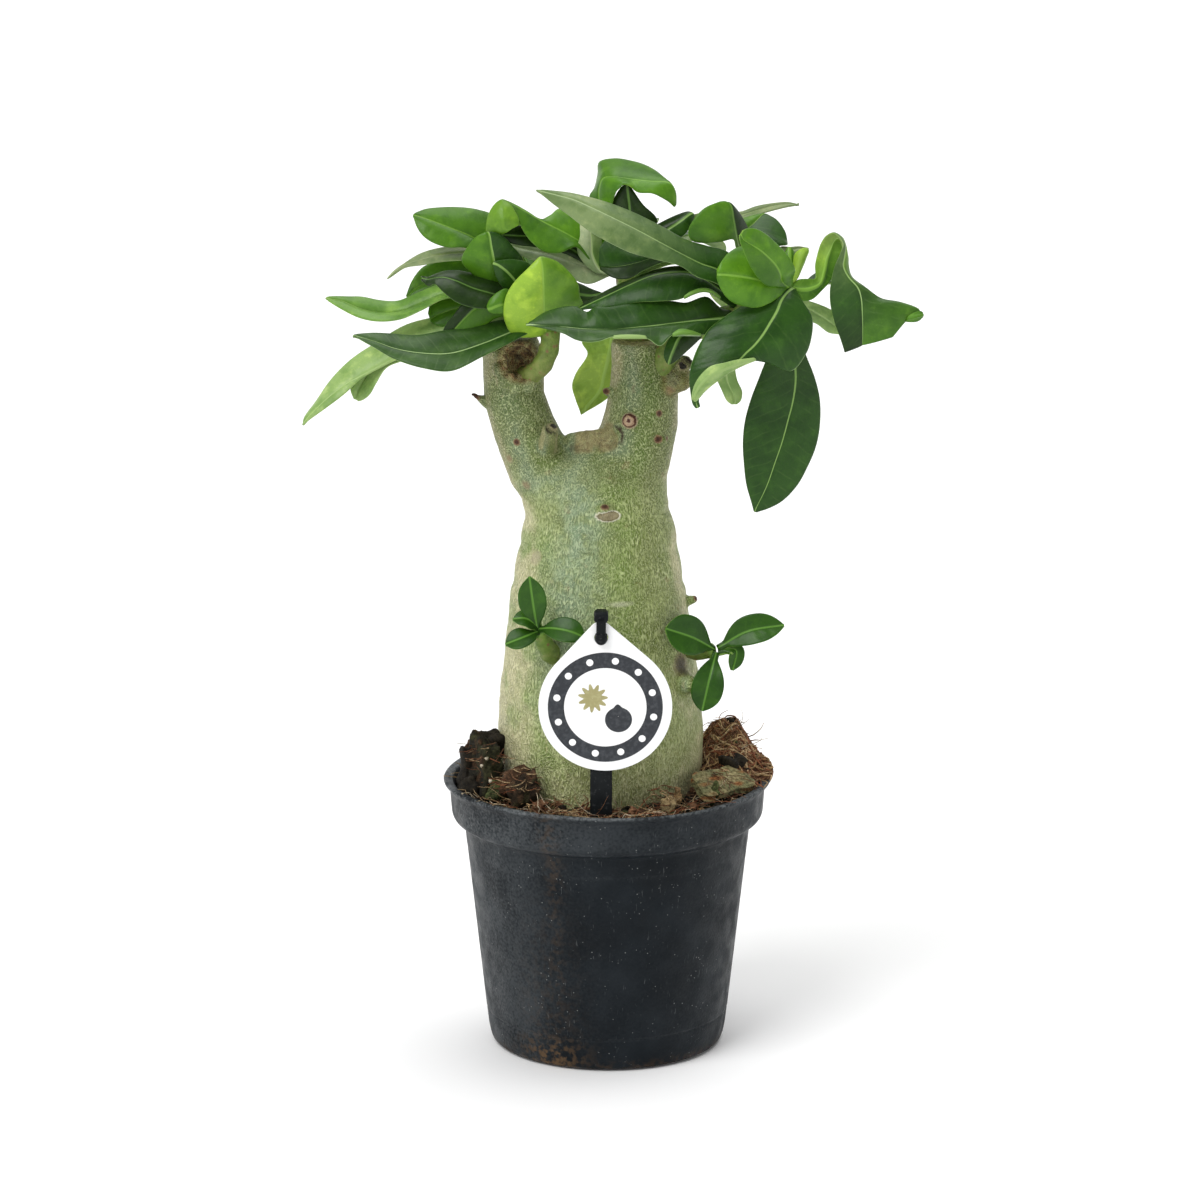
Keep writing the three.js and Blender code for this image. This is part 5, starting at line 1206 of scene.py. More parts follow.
def bark_material():
    """Green bark in soft zones, partly painted light and shade by the way the bark faces, under fine pale
    beads with painted shade between them, which draw out into strands lower down.
    """
    paint = Paint("bark_skin", 0.5, 0.35)
    zone = paint.noise(16, 3)
    blotch = paint.noise(4.5, 3)
    greens = [(0.3, (0.2, 0.25, 0.055)), (0.5, (0.29, 0.36, 0.11)), (0.7, (0.195, 0.295, 0.05))]
    green = paint.ramp(zone, greens)
    # blue: a pale blue-green, partly the bark's own and partly a painted sheen where the bark faces the key
    # light
    blue = paint.times(paint.value("blue"), paint.between(blotch, 0.3, 0.6, 0.4, 1))
    green = paint.blend(paint.times(blue, 0.9), green, (0.3, 0.42, 0.28))
    vivid = paint.times(paint.value("vivid"), paint.between(zone, 0.35, 0.55, 0.3, 1))
    green = paint.blend(vivid, green, (0.185, 0.32, 0.035))
    # olive: a duller olive, partly the bark's own and partly painted shade where the bark turns away from
    # the key light
    olive = paint.times(paint.value("olive"), paint.between(zone, 0.3, 0.6))
    green = paint.blend(paint.times(olive, 0.7), green, (0.17, 0.2, 0.04))
    # warm: beige, partly the bark's own tan and partly painted light along both edges of the trunk
    sway = paint.math("MULTIPLY_ADD", blotch, 0.7, -0.35)
    warm = paint.math("ADD", paint.value("warm"), sway, clamp=True)
    colour = paint.blend(paint.between(warm, 0.15, 0.95), green, (0.57, 0.55, 0.3))
    duller = paint.tinted(colour, (0.62, 0.62, 0.52))
    colour = paint.blend(paint.between(paint.value("strands"), 0, 1, 0.85, 0), colour, duller)
    rust = paint.between(paint.noise(6, 4), 0.63, 0.74, 0, 0.45)
    colour = paint.blend(rust, colour, (0.3, 0.19, 0.085))

    drifted = paint.warp(paint.place, 1.8, 0.36)
    grainy = paint.noise(0.5, 1, paint.stretch((1, 1, 0.68), drifted))
    beads = paint.between(grainy, 0.33, 0.7)
    stringy = paint.noise(0.56, 1, paint.stretch((1, 1, 0.34), drifted))
    strands = paint.between(stringy, 0.33, 0.68)
    swap = paint.times(paint.between(paint.noise(5, 2), 0.35, 0.6), paint.value("strands"))
    lines = paint.blend(swap, beads, strands)
    lines = paint.times(lines, paint.between(paint.noise(2.6, 3), 0.3, 0.58, 0.75, 1))
    # Painted shade and highlight: the bark between the beads and strands is darkened like shade in furrows,
    # and the beads' pale is partly their own colour, partly a painted highlight on lit ridges.
    pale = paint.blend(paint.value("warm"), (0.72, 0.77, 0.42), (0.88, 0.82, 0.54))
    strength = paint.between(paint.value("plain"), 0, 1, 0.48, 0.08)
    strength = paint.times(strength, paint.between(zone, 0.25, 0.6, 0.65, 1))
    deeper = paint.tinted(colour, (0.5, 0.52, 0.4))
    colour = paint.blend(paint.between(lines, 0.1, 0.6, 0.58, 0), colour, deeper)
    colour = paint.blend(paint.times(lines, strength), colour, pale)

    colour = paint.blend(paint.value("crack"), colour, (0.045, 0.025, 0.014))
    browns = [(0.3, (0.08, 0.045, 0.02)), (0.45, (0.27, 0.17, 0.07)), (0.62, (0.42, 0.36, 0.17))]
    colour = paint.blend(paint.value("callus"), colour, paint.ramp(paint.noise(1.8, 4), browns))
    # near black inside the hollow and in the holes at the ends of the cut stub and the knob: partly the dead
    # wood's own colour, partly painted shade in the holes
    colour = paint.blend(paint.value("rot"), colour, (0.02, 0.011, 0.007))
    colour = scarred(paint, colour)
    relief = paint.math("MULTIPLY_ADD", lines, 0.9, paint.times(paint.noise(0.6, 2), 0.3))
    return paint.finish(colour, paint.bump(relief, 0.85))


def scarred(paint, colour):
    """The colour with every scar painted over it, from its centre on the bark outwards."""
    jitter = paint.math("MULTIPLY_ADD", paint.noise(1.1, 3), 0.34, -0.17)
    centres = settled(trunk_distance, np.array([scar[:3] for scar in SCARS], float), 4)
    for (x, y, z), (_, _, _, radius, look) in zip(centres.tolist(), SCARS):
        tall = SCAR_SQUASH.get(look, 1)
        distance = paint.vector("DISTANCE", paint.stretch((1, 1, tall)), (x, y, z * tall))
        reach = paint.math("ADD", paint.math("DIVIDE", distance, radius), jitter)
        stops = SCAR_LOOKS[look]
        fill = paint.ramp(reach, [(position, tone) for position, tone, _ in stops])
        share = paint.ramp(reach, [(position, (amount,) * 3) for position, _, amount in stops])
        colour = paint.blend(share, colour, fill)
    return colour


def pot_material():
    """Blown black plastic: slate, dusty, with a painted sheen on its front left, pale specks, scuffs and
    dried soil.
    """
    paint = Paint("pot_skin", 0.5, 0.12)
    cloud = paint.noise(22, 4)
    slates = [(0.3, (0.003, 0.005, 0.007)), (0.55, (0.005, 0.008, 0.011)), (0.75, (0.01, 0.014, 0.018))]
    colour = paint.ramp(cloud, slates)
    broad = paint.times(cloud, 0.4)
    worn = paint.math("ADD", paint.times(paint.noise(1, 4), 0.6), broad)
    # dust: real dust on the lip, the band and its ledges, and on the front left partly a painted sheen
    dust = paint.times(paint.value("dust"), paint.between(worn, 0.34, 0.66))
    colour = paint.blend(dust, colour, (0.12, 0.13, 0.135))
    seldom = paint.between(paint.noise(9, 2), 0.42, 0.62)
    speck = paint.times(paint.between(paint.speckle(2.2), 0.06, 0.13, 0.5, 0), seldom)
    colour = paint.blend(speck, colour, (0.3, 0.31, 0.3))
    scratched = paint.noise(0.6, 2, paint.stretch((1, 1, 0.1)))
    scratch = paint.times(paint.between(scratched, 0.66, 0.72, 0, 0.22), seldom)
    colour = paint.blend(scratch, colour, (0.2, 0.21, 0.21))
    dirt = paint.times(paint.value("dirt"), paint.between(paint.noise(2.2, 4), 0.42, 0.62))
    colour = paint.blend(dirt, colour, (0.1, 0.06, 0.03))
    dullness = paint.between(paint.noise(7, 3), 0.3, 0.7, 0.36, 0.6)
    return paint.finish(colour, paint.bump(paint.noise(0.8, 3), 0.12), dullness)


def grit_material():
    """Soil, chips and fibres: each piece's own colour, broken up by fine grain."""
    paint = Paint("grit", 0.85, 0.2)
    base = paint.colour_of("tint")
    dark = paint.tinted(base, (0.35, 0.33, 0.3))
    light = paint.tinted(base, (1.7, 1.6, 1.45))
    colour = paint.blend(paint.between(paint.noise(1.2, 4), 0.35, 0.65), dark, base)
    colour = paint.blend(paint.between(paint.noise(0.5, 3), 0.5, 0.72, 0, 0.6), colour, light)
    return paint.finish(colour, paint.bump(paint.noise(0.45, 3), 0.35))


def stake_material():
    paint = Paint("stake_plastic", 0.5, 0.12)
    cloud = paint.noise(5, 3)
    colour = paint.ramp(cloud, [(0.35, (0.003, 0.004, 0.005)), (0.7, (0.008, 0.01, 0.011))])
    dust = paint.between(paint.noise(1.2, 4), 0.58, 0.72, 0, 0.12)
    colour = paint.blend(dust, colour, (0.2, 0.2, 0.2))
    grain = paint.noise(0.35, 2, paint.stretch((1, 1, 0.15)))
    return paint.finish(colour, paint.bump(grain, 0.05))


def tag_material():
    paint = Paint("tag_card", 0.38, 0.3)
    cloud = paint.noise(9, 3)
    colour = paint.ramp(cloud, [(0.3, (0.88, 0.89, 0.9)), (0.7, (0.93, 0.93, 0.92))])
    rub = paint.between(paint.noise(0.8, 4), 0.62, 0.74, 0, 0.25)
    colour = paint.blend(rub, colour, (0.55, 0.55, 0.52))
    return paint.finish(colour, paint.bump(paint.noise(0.6, 2), 0.02))


def print_material(name, colour, worn):
    paint = Paint(name, 0.4, 0.3)
    cloud = paint.between(paint.noise(1.4, 4), 0.4, 0.75)
    return paint.finish(paint.blend(cloud, colour, worn), paint.bump(paint.noise(0.5, 2), 0.02))


leaf_skin = leaf_material()
green_stem = stem_material()
pot_skin = pot_material()
grit = grit_material()
stake_plastic = stake_material()
tag_card = tag_material()
ink = print_material("ink_charcoal", (0.024, 0.027, 0.033), (0.05, 0.055, 0.062))
olive_ink = print_material("ink_olive", (0.34, 0.31, 0.14), (0.42, 0.39, 0.2))


# ---------------------------------------------------------------- leaves
def seen(px, py, y):
    """The point at depth y that the photograph shows at a pixel."""
    slope = (PHOTO_SIZE / 2 - py) / CAMERA_PIXELS
    lean = math.radians(CAMERA_PITCH)
    reach = y - CAMERA_PLACE[1]
    drop = reach * (slope * math.cos(lean) - math.sin(lean)) / (math.cos(lean) + slope * math.sin(lean))
    depth = reach * math.cos(lean) - drop * math.sin(lean)
    x = CAMERA_PLACE[0] + (px - PHOTO_SIZE / 2) / CAMERA_PIXELS * depth
    return np.stack([x, y, CAMERA_PLACE[2] + drop], -1)


def drawn_blade(leaf, u, v):
    """A drawn leaf's middle surface as a grid of points, the distances along and across, the length."""
    rows = seen(*np.moveaxis(np.array(leaf["rows"], float).reshape(-1, 3, 3), 2, 0))
    step = np.sqrt(np.linalg.norm(np.diff(rows, axis=0), axis=2).mean(1))
    knots = np.concatenate([[0], np.cumsum(step)])
    slopes = np.gradient(rows, knots, axis=0)
    at = u * knots[-1]
    first = np.clip(np.searchsorted(knots, at, "right") - 1, 0, len(step) - 1)
    span = step[first][:, None, None]
    t = ((at - knots[first]) / step[first])[:, None, None]
    lines = (
        rows[first] * (1 + 2 * t) * (1 - t) ** 2
        + rows[first + 1] * t * t * (3 - 2 * t)
        + slopes[first] * span * t * (1 - t) ** 2
        - slopes[first + 1] * span * t * t * (1 - t)
    )
    rib = lines[:, 1]
    heading = unit(np.gradient(rib, axis=0))
    grid = np.zeros((len(u), len(v), 3))
    across = np.zeros((len(u), len(v)))
    bow = leaf.get("bow", 0.09)
    for sign, edge in ((-1, lines[:, 0]), (1, lines[:, 2])):
        columns = np.where(v * sign >= 0)[0]
        width = np.linalg.norm(edge - rib, axis=1)
        up = unit(np.cross(sign * (edge - rib), heading))
        for j in columns:
            share = abs(v[j])
            rise = bow * width * 4 * share * (1 - share) * (1 - 0.4 * share)
            grid[:, j] = rib + (edge - rib) * share + up * rise[:, None]
            across[:, j] = v[j] * width
    along = np.concatenate([[0], np.cumsum(np.linalg.norm(np.diff(rib, axis=0), axis=1))])
    return grid, across, along


def blade_shape(u, widest, blunt):
    """The half width from stalk to tip, as a share of the widest."""
    rising = np.sin(math.pi / 2 * clamp(u / widest)) ** 1.25
    falling = np.cos(math.pi / 2 * clamp((u - widest) / (1 - widest)) ** 1.35)
    return np.where(u < widest, rising, clamp(falling) ** blunt)


PETIOLE_HALF = 1.5  # half widths
TIP_HALF = 0.5


def ribbed_blade(leaf, u, v):
    """The same for a leaf that is given by its rib and half width."""
    centre, heading, length = along_curve(leaf["rib"], u)
    side = unit(np.cross(heading, leaf["face"]))
    up = unit(np.cross(side, heading))
    height, count, start = leaf["wave"]
    grid = np.zeros((len(u), len(v), 3))
    across = np.zeros((len(u), len(v)))
    width = leaf["half"] * blade_shape(u, leaf["widest"], leaf["blunt"])
    width = np.maximum(width, PETIOLE_HALF + (TIP_HALF - PETIOLE_HALF) * u)
    fold = math.radians(leaf["fold"])
    bend = math.radians(leaf["curl"]) / width
    for j, place_across in enumerate(v):
        reach = abs(place_across) * width
        out = (np.sin(fold + bend * reach) - math.sin(fold)) / bend
        rise = (math.cos(fold) - np.cos(fold + bend * reach)) / bend
        turns = count * u + start + 0.3 * (place_across >= 0)
        ripple = height * place_across**2 * np.sin(math.pi * u) * np.sin(2 * math.pi * turns)
        sign = 1 if place_across >= 0 else -1
        grid[:, j] = centre + side * (sign * out)[:, None] + up * (rise + ripple)[:, None]
        across[:, j] = sign * reach
    return grid, across, u * length


def tones_along(leaf, u, v, part):
    """The leaf's greens of one kind over its grid: from stalk to tip, and for each half."""
    halves = []
    for names in (leaf["tone"], leaf.get("right", leaf["tone"])):
        names = [names] if isinstance(names, str) else names
        colours = np.array([TONES[name][part] for name in names])
        places = np.linspace(0, 1, len(names))
        halves.append(np.stack([np.interp(u, places, colours[:, k]) for k in range(3)], -1))
    share = smooth_step(-0.04, 0.04, v)[None, :, None]
    return (halves[0][:, None] * (1 - share) + halves[1][:, None] * share).reshape(-1, 3)


COLUMNS = [0, 0.035, 0.08, 0.16, 0.28, 0.42, 0.56, 0.7, 0.82, 0.91, 0.965, 1]  # from rib to margin
BLADE_HALF = 0.36  # half the thickness at the margin
STALK_REACH = 5


def add_leaf(shape, leaf):
    """A closed blade: leathery, thick at the rib and stalk, thin and rounded at the margin."""
    v = np.array([-step for step in COLUMNS[:0:-1]] + COLUMNS)
    flap = leaf.get("flap", False)
    if "rows" in leaf:
        rows = 14 + 4 * len(leaf["rows"])
        u = np.linspace(0, 1, rows)
        grid, across, along = drawn_blade(leaf, u, v)
    else:
        rows = 30
        u = 1 - (1 - np.linspace(0, 1, rows)) ** 1.25
        grid, across, along = ribbed_blade(leaf, u, v)
    slope_u = np.gradient(grid, axis=0)
    slope_v = np.gradient(grid, axis=1)
    normal = unit(np.cross(slope_v, slope_u))
    body = 0 if flap else 1
    stalk = body * hill(along, STALK_REACH)[:, None]
    edge = np.abs(v)[None, :]
    round_off = np.sqrt(np.clip(1 - clamp((edge - 0.9) / 0.1) ** 2, 0.02, 1))
    half = (BLADE_HALF + 0.12 * (1 - edge) + 0.75 * stalk * np.sqrt(1 - edge**2 * 0.9)) * round_off
    ridge = body * (0.95 - 0.7 * u)[:, None] * hill(across, 1)
    groove = body * 0.2 * hill(across, 0.55) * (1 - stalk)
    upper = grid + normal * (half - groove)[..., None]
    lower = grid - normal * (half + ridge)[..., None]
    columns = len(v)
    faces = grid_faces(rows, columns)
    under = rows * columns
    faces += [(under + d, under + c, under + b, under + a) for a, b, c, d in faces]
    for i in range(rows - 1):
        first, last = i * columns, i * columns + columns - 1
        faces.append((first, first + columns, under + first + columns, under + first))
        faces.append((last + columns, last, under + last, under + last + columns))
    for j in range(columns - 1):
        last = (rows - 1) * columns + j
        faces.append((j + 1, j, under + j, under + j + 1))
        faces.append((last, last + 1, under + last + 1, under + last))
    young = (1 - 0.25 * np.repeat(stalk, columns, axis=1)).ravel()[:, None]
    top = tones_along(leaf, u, v, "top") * young
    bottom = tones_along(leaf, u, v, "under")
    rib_top = tones_along(leaf, u, v, "top" if flap else "rib")
    rib_under = bottom if flap else 1.25 * tones_along(leaf, u, v, "rib")
    shape.add(
        np.concatenate([upper.reshape(-1, 3), lower.reshape(-1, 3)]),
        faces,
        along=np.tile(np.repeat(along, columns), 2),
        across=np.tile(across.ravel(), 2),
        edge=np.tile(np.repeat(edge, rows, axis=0).ravel(), 2),
        upper=np.repeat([1.0, 0.0], under),
        tint=np.concatenate([top, bottom]),
        rib_tint=np.concatenate([rib_top, rib_under]),
    )


def leafy(name, leaves):
    shape = Shape()
    for leaf in leaves:
        add_leaf(shape, leaf)
    shape.build(name + "_leaves", leaf_skin, replaces=[name])


STEM_STEPS = 36
STEM_SIDES = 20


def stem(name, path, radii, brown, seed):
    """A young stem with swollen leaf bases, on the line of the solid's stem."""
    shape = Shape()
    share = np.linspace(0, 1, STEM_STEPS)
    line, _, length = along_curve(path, share)
    thick = radii[0] + (radii[1] - radii[0]) * share
    swell = 0.28 * np.abs(np.sin(share * length / 5.5 * math.pi)) ** 6
    tip = np.sqrt(np.clip(1 - clamp((share - 0.93) / 0.07) ** 2, 0.04, 1))
    brown = brown * (1 - share).repeat(STEM_SIDES)
    add_tube(shape, line, (thick + swell) * tip, STEM_SIDES, 0.22, seed, brown=brown)
    shape.build(name + "_stem", green_stem)


# ---------------------------------------------------------------- trunk
def far(points, place):
    """How far the points are from a place."""
    return np.linalg.norm(points - place, axis=1)


def limb_distance(points, start, end):
    """Distance to a limb whose radius changes evenly between two stations."""
    a, b = np.asarray(start[:3], float), np.asarray(end[:3], float)
    share = clamp((points - a) @ (b - a) / np.dot(b - a, b - a))
    nearest = a + share[:, None] * (b - a)
    return far(points, nearest) - (start[3] + (end[3] - start[3]) * share)


def chain_distance(points, stations):
    """Distance to a limb of many stations."""
    return np.minimum.reduce([limb_distance(points, a, b) for a, b in zip(stations, stations[1:])])


def soft_min(a, b, blend):
    """The smaller of two distances, rounded where they meet."""
    share = np.maximum(blend - np.abs(a - b), 0) / blend
    return np.minimum(a, b) - share * share * blend / 4


# small swellings of callus about the rotted pocket and along the crotch: x, y, z, radius
CALLUS_LUMPS = [
    [-39, -9.6, 257.5, 2.6],
    [-38.6, -11, 252, 2.6],
    [-36.8, -11.8, 247.6, 2.8],
    [-32.5, -12.4, 245.8, 2.9],
    [-28, -11.5, 246.4, 2.8],
    [-26, -10.8, 250, 2.2],
    [-34, -13, 250.2, 1.7],
    [-34, -8.6, 256.4, 2.5],
    [-31.4, -8.4, 251.6, 2.7],
    [-36, -9.4, 252.6, 2.1],
    [-30.2, -9.4, 247.8, 2.1],
    [-37.6, -8, 256, 1.9],
    [-9, -9, 223.6, 2],
    [-4, -10.4, 224, 2.2],
    [1, -11, 226.6, 2.3],
    [3.4, -10.2, 230, 2],
]
BORE = (-20, -18, 232.4)  # the dark end of the cut stub
PIT = (28.6, -9.4, 255)  # the dark end of the knob on the right branch


def trunk_distance(points):
    """Signed distance to the trunk's surface, negative inside."""
    z = points[:, 2]
    flattening = 1 + CAUDEX_FLATTENING * smooth_step(FLATTENING_FROM, FLATTENING_TO, z)
    caudex = chain_distance(points * np.stack([np.ones_like(z), flattening, np.ones_like(z)], 1), CAUDEX)
    left = np.maximum(chain_distance(points, LEFT_BRANCH), z - LEFT_CUT_HEIGHT)
    right = np.maximum(chain_distance(points, RIGHT_BRANCH), z - RIGHT_CUT_HEIGHT)
    total = soft_min(soft_min(caudex, left, LIMB_BLEND), right, LIMB_BLEND)
    total = soft_min(total, limb_distance(points, *CROTCH_CALLUS), CALLUS_BLEND)
    for start, end, blend in STUBS:
        total = soft_min(total, limb_distance(points, start, end), blend)
    for x, y, z_lump, radius in CALLUS_LUMPS:
        total = soft_min(total, far(points, (x, y, z_lump)) - radius, 1.2)
    for centre, radius in ((HOLLOW[:3], HOLLOW[3]), (BORE, 2), (PIT, 2.3)):
        total = np.maximum(total, radius - far(points, centre))
    return np.maximum(total, TRUNK_BOTTOM - z)


def settled(distance, points, rounds=2):
    """The points moved onto the zero surface."""
    step = 0.05
    for _ in range(rounds):
        here = distance(points)
        slope = np.stack([(distance(points + step * axis) - here) / step for axis in np.eye(3)], 1)
        steep = np.maximum(0.5, (slope * slope).sum(1))
        points = points - (here / steep)[:, None] * slope
    return points


def surface_net(distance, low, high, cell):
    """The zero surface of a distance function in a box from low to high, as points and quads."""
    axes = [np.arange(low[axis], high[axis] + cell, cell) for axis in range(3)]
    grid = np.stack(np.meshgrid(*axes, indexing="ij"), -1)
    values = distance(grid.reshape(-1, 3)).reshape(grid.shape[:3])
    inside = values < 0
    size = np.array(values.shape) - 1
    total = np.zeros((*size, 3))
    crossings = np.zeros(size)

    def corner_of(array, corner):
        return array[tuple(slice(start, start + count) for start, count in zip(corner, size))]

    for corner in itertools.product((0, 1), repeat=3):
        for axis in range(3):
            if corner[axis]:
                continue
            far = list(corner)
            far[axis] = 1
            a, b = corner_of(values, corner), corner_of(values, far)
            crossed = (a < 0) != (b < 0)
            share = np.where(crossed, a / np.where(crossed, a - b, 1), 0)
            for k in range(3):
                total[..., k] += crossed * (corner[k] + (share if k == axis else 0))
            crossings += crossed
    active = crossings > 0
    index = np.full(size, -1)
    index[active] = np.arange(active.sum())
    mean = total[active] / crossings[active][:, None]
    points = np.asarray(low) + (np.argwhere(active) + mean) * cell
    quads = []
    for axis in range(3):
        u, v = (axis + 1) % 3, (axis + 2) % 3
        first = [slice(None)] * 3
        second = [slice(None)] * 3
        first[axis], second[axis] = slice(0, -1), slice(1, None)
        changed = np.argwhere(inside[tuple(first)] != inside[tuple(second)])
        keep = (changed[:, u] > 0) & (changed[:, v] > 0)
        keep &= (changed[:, u] < size[u]) & (changed[:, v] < size[v])
        changed = changed[keep]
        eu, ev = np.eye(3, dtype=int)[u], np.eye(3, dtype=int)[v]
        ring = np.stack([index[tuple((changed - move).T)] for move in (eu + ev, ev, 0 * eu, eu)], 1)
        outward = inside[tuple(changed.T)]
        ring[~outward] = ring[~outward][:, ::-1]
        quads.append(ring)
    return settled(distance, points), np.concatenate(quads)


# height and depth of the faint rings round the trunk
GROWTH_RINGS = [(203, 0.2), (186.5, 0.16), (171.5, 0.2), (152, 0.1), (130, 0.2), (222, 0.08)]


TRUNK_BOX = ([-54, -42, TRUNK_BOTTOM - 3], [38, 42, 266])


def build_trunk():
    """The bark: its surface and relief, and for each point how much it has of each colour, mark, painted
    light or painted shade.
    """
    points, quads = surface_net(trunk_distance, *TRUNK_BOX, TRUNK_CELL)
    normals = vertex_normals(points, quads)
    x, y, z = points.T
    relief = 0.1 * rough(points, 16, 2, 5) + 0.07 * noise(points, 2.6, 9)
    turned = z + 1.6 * noise(np.stack([x, y, 0 * z], 1), 18, 21)
    for height, depth in GROWTH_RINGS:
        relief -= depth * hill(turned - height, 1.1)
        relief += 0.6 * depth * hill(turned - height + 2.2, 1.6)
    pocket = far(points, HOLLOW[:3]) - HOLLOW[3]
    near_pocket = smooth_step(4.6, 1.4, pocket) * smooth_step(243, 246, z)
    crotch = smooth_step(3.4, 1.2, np.abs(limb_distance(points, *CROTCH_CALLUS)))
    crotch = crotch * smooth_step(-4, -7, y) * smooth_step(-13, -10, x) * smooth_step(6, 3, x)
    relief += 0.75 * rough(points, 2.6, 2, 31) * np.maximum(near_pocket, 0.7 * crotch)
    points = points + normals * relief[:, None]

    # Colours set by the way the bark faces. The beige at both sides is partly the bark's own tan, partly
    # painted light along the edges; the blue-green facing a little left is partly painted sheen; the olive
    # facing right is partly painted shade.
    side = normals[:, 0]
    sway = 0.16 * rough(points, 20, 2, 41)
    patchy = np.clip(0.72 + 0.9 * rough(points, 9, 3, 61), 0.3, 1)
    warm = 0.95 * smooth_step(0.55, 0.95, -side + sway) + 0.9 * smooth_step(0.72, 1, side + sway)
    warm *= patchy
    warm += 0.5 * smooth_step(140, 98, z + 14 * sway) + 0.35 * smooth_step(244, 258, z)
    warm += 0.4 * smooth_step(0.3, 0.8, normals[:, 1])
    low_trunk = smooth_step(222, 205, z)
    blue = hill(side + 0.3 + sway, 0.3) * smooth_step(112, 150, z)
    olive = hill(side - 0.48 + sway, 0.4) * (0.4 + 0.6 * low_trunk)
    branch = smooth_step(226, 236, z) * smooth_step(-14, -22, x)
    blue = np.maximum(blue * (1 - 0.5 * branch), 0.5 * hill(side - 0.1, 0.4) * branch)
    vivid = hill(side - 0.22 + sway, 0.24) * smooth_step(120, 160, z)
    stub = smooth_step(1.2, 0.2, limb_distance(points, [-21, -10, 225, 3.4], STUBS[0][1]))
    crack = smooth_step(0.9, 0.35, np.abs(far(points, (2.2, -11.6, 228)) - 3.4))
    crack *= smooth_step(1.6, 3.6, x) * smooth_step(224, 227, z)
    under_edge = np.abs(limb_distance(points, [-12, -9, 223, 1], [0, -11.5, 224.6, 1]))
    broken = smooth_step(-0.4, 0.1, noise(points, 2, 3))
    crack = np.maximum(crack, 0.6 * smooth_step(0.7, 0.2, under_edge) * broken)
    callus = clamp(np.maximum(near_pocket * 1.1, 0.4 * crotch))
    knob = smooth_step(1.6, 0.2, limb_distance(points, *STUBS[2][:2])) * smooth_step(17, 20, x)
    callus = np.maximum(callus, 0.45 * knob)
    # painted shade mixed with the rot: near black deep in the hollow, at the knob's end and at the cut
    # stub's end
    rot = 0.9 * smooth_step(0.6, -1.2, pocket + 1.4 * noise(points, 2.2, 51)) * smooth_step(244, 247, z)
    pit = smooth_step(3, 2.2, far(points, PIT))
    bore = smooth_step(2.5, 1.9, far(points, BORE))
    cut = smooth_step(0.7, 0.9, normals[:, 2]) * smooth_step(256, 259, z)
    shape = Shape()
    shape.add(
        points,
        quads.tolist(),
        warm=clamp(warm + 0.9 * crotch + 0.45 * stub),
        blue=clamp(blue),
        olive=clamp(olive),
        vivid=clamp(vivid * (1 - 0.7 * branch)),
        strands=smooth_step(222, 196, z),
        plain=clamp(np.maximum.reduce([near_pocket, crotch, knob, cut, stub])),
        crack=clamp(crack),
        callus=clamp(np.maximum(callus, 0.6 * cut)),
        rot=clamp(np.maximum.reduce([rot, pit, bore])),
    )
    shape.build("trunk_bark", bark_skin, replaces=["trunk"])


bark_skin = bark_material()
build_trunk()


# ---------------------------------------------------------------- crowns and shoots
CROWNS = [  # name, stem, leaves, how brown the stem's foot is, seed
    ("left_crown", LEFT_STEM, LEFT_LEAVES, 0.5, 3),
    ("centre_crown", CENTRE_STEM, CENTRE_LEAVES, 0.6, 5),
    ("right_crown", RIGHT_STEM, RIGHT_LEAVES, 0.3, 7),
    ("side_shoot_left", SIDE_LEFT_STEM, SIDE_LEFT_LEAVES, 0.5, 11),
    ("side_shoot_right", SIDE_RIGHT_STEM, SIDE_RIGHT_LEAVES, 0.6, 13),
]
for name, line, leaves, brown, seed in CROWNS:
    leafy(name, leaves)
    stem(name, line["path"], line["radii"], brown, seed)


# ---------------------------------------------------------------- pot
def rounded(profile, radius, steps=4):
    """A profile of radius and height whose corners are rounded."""
    points = [np.asarray(point[:2], float) for point in profile]
    result = [points[0]]
    for before, corner, after, spec in zip(points, points[1:], points[2:], profile[1:]):
        own = spec[2] if len(spec) > 2 else radius
        back, ahead = before - corner, after - corner
        own = min(own, np.linalg.norm(back) * 0.45, np.linalg.norm(ahead) * 0.45)
        start, end = corner + own * unit(back), corner + own * unit(ahead)
        for t in np.linspace(0, 1, steps):
            result.append((1 - t) ** 2 * start + 2 * t * (1 - t) * corner + t * t * end)
    return result + [points[-1]]


def lathe(profile, sides, bend=None):
    """Points and quads of a turned surface. bend moves the points as it likes."""
    angles = round_angles(sides)
    c, s = np.cos(angles), np.sin(angles)
    points = np.concatenate([np.stack([r * c, r * s, np.full(sides, z)], 1) for r, z in profile])
    if bend is not None:
        points = bend(points)
    return points, grid_faces(len(profile), sides, closed=True)


def pot_bend(points):
    """Thin blown plastic: the lip wavers and the wall is a little out of round."""
    angle = np.arctan2(points[:, 1], points[:, 0])
    high = smooth_step(40, POT_HEIGHT, points[:, 2])
    out = 0.28 * high * np.sin(2 * angle + 0.8) + 0.12 * high * np.sin(5 * angle + 2)
    out += 0.06 * noise(points, 12, 3)
    lift = 0.28 * smooth_step(92, POT_HEIGHT, points[:, 2]) * (np.sin(3 * angle + 1.9) - 1)
    radius = np.maximum(np.hypot(points[:, 0], points[:, 1]), 1e-6)
    scale = 1 + np.where(radius > 30, out - 0.3 * high, 0) / radius
    moved = points * np.stack([scale, scale, np.ones_like(scale)], 1)
    moved[:, 2] += lift
    return moved


FLOOR_REACH = DRAIN_CIRCLE + 7  # the floor and the turned wall meet at this radius
HOLE_SIDES = 24


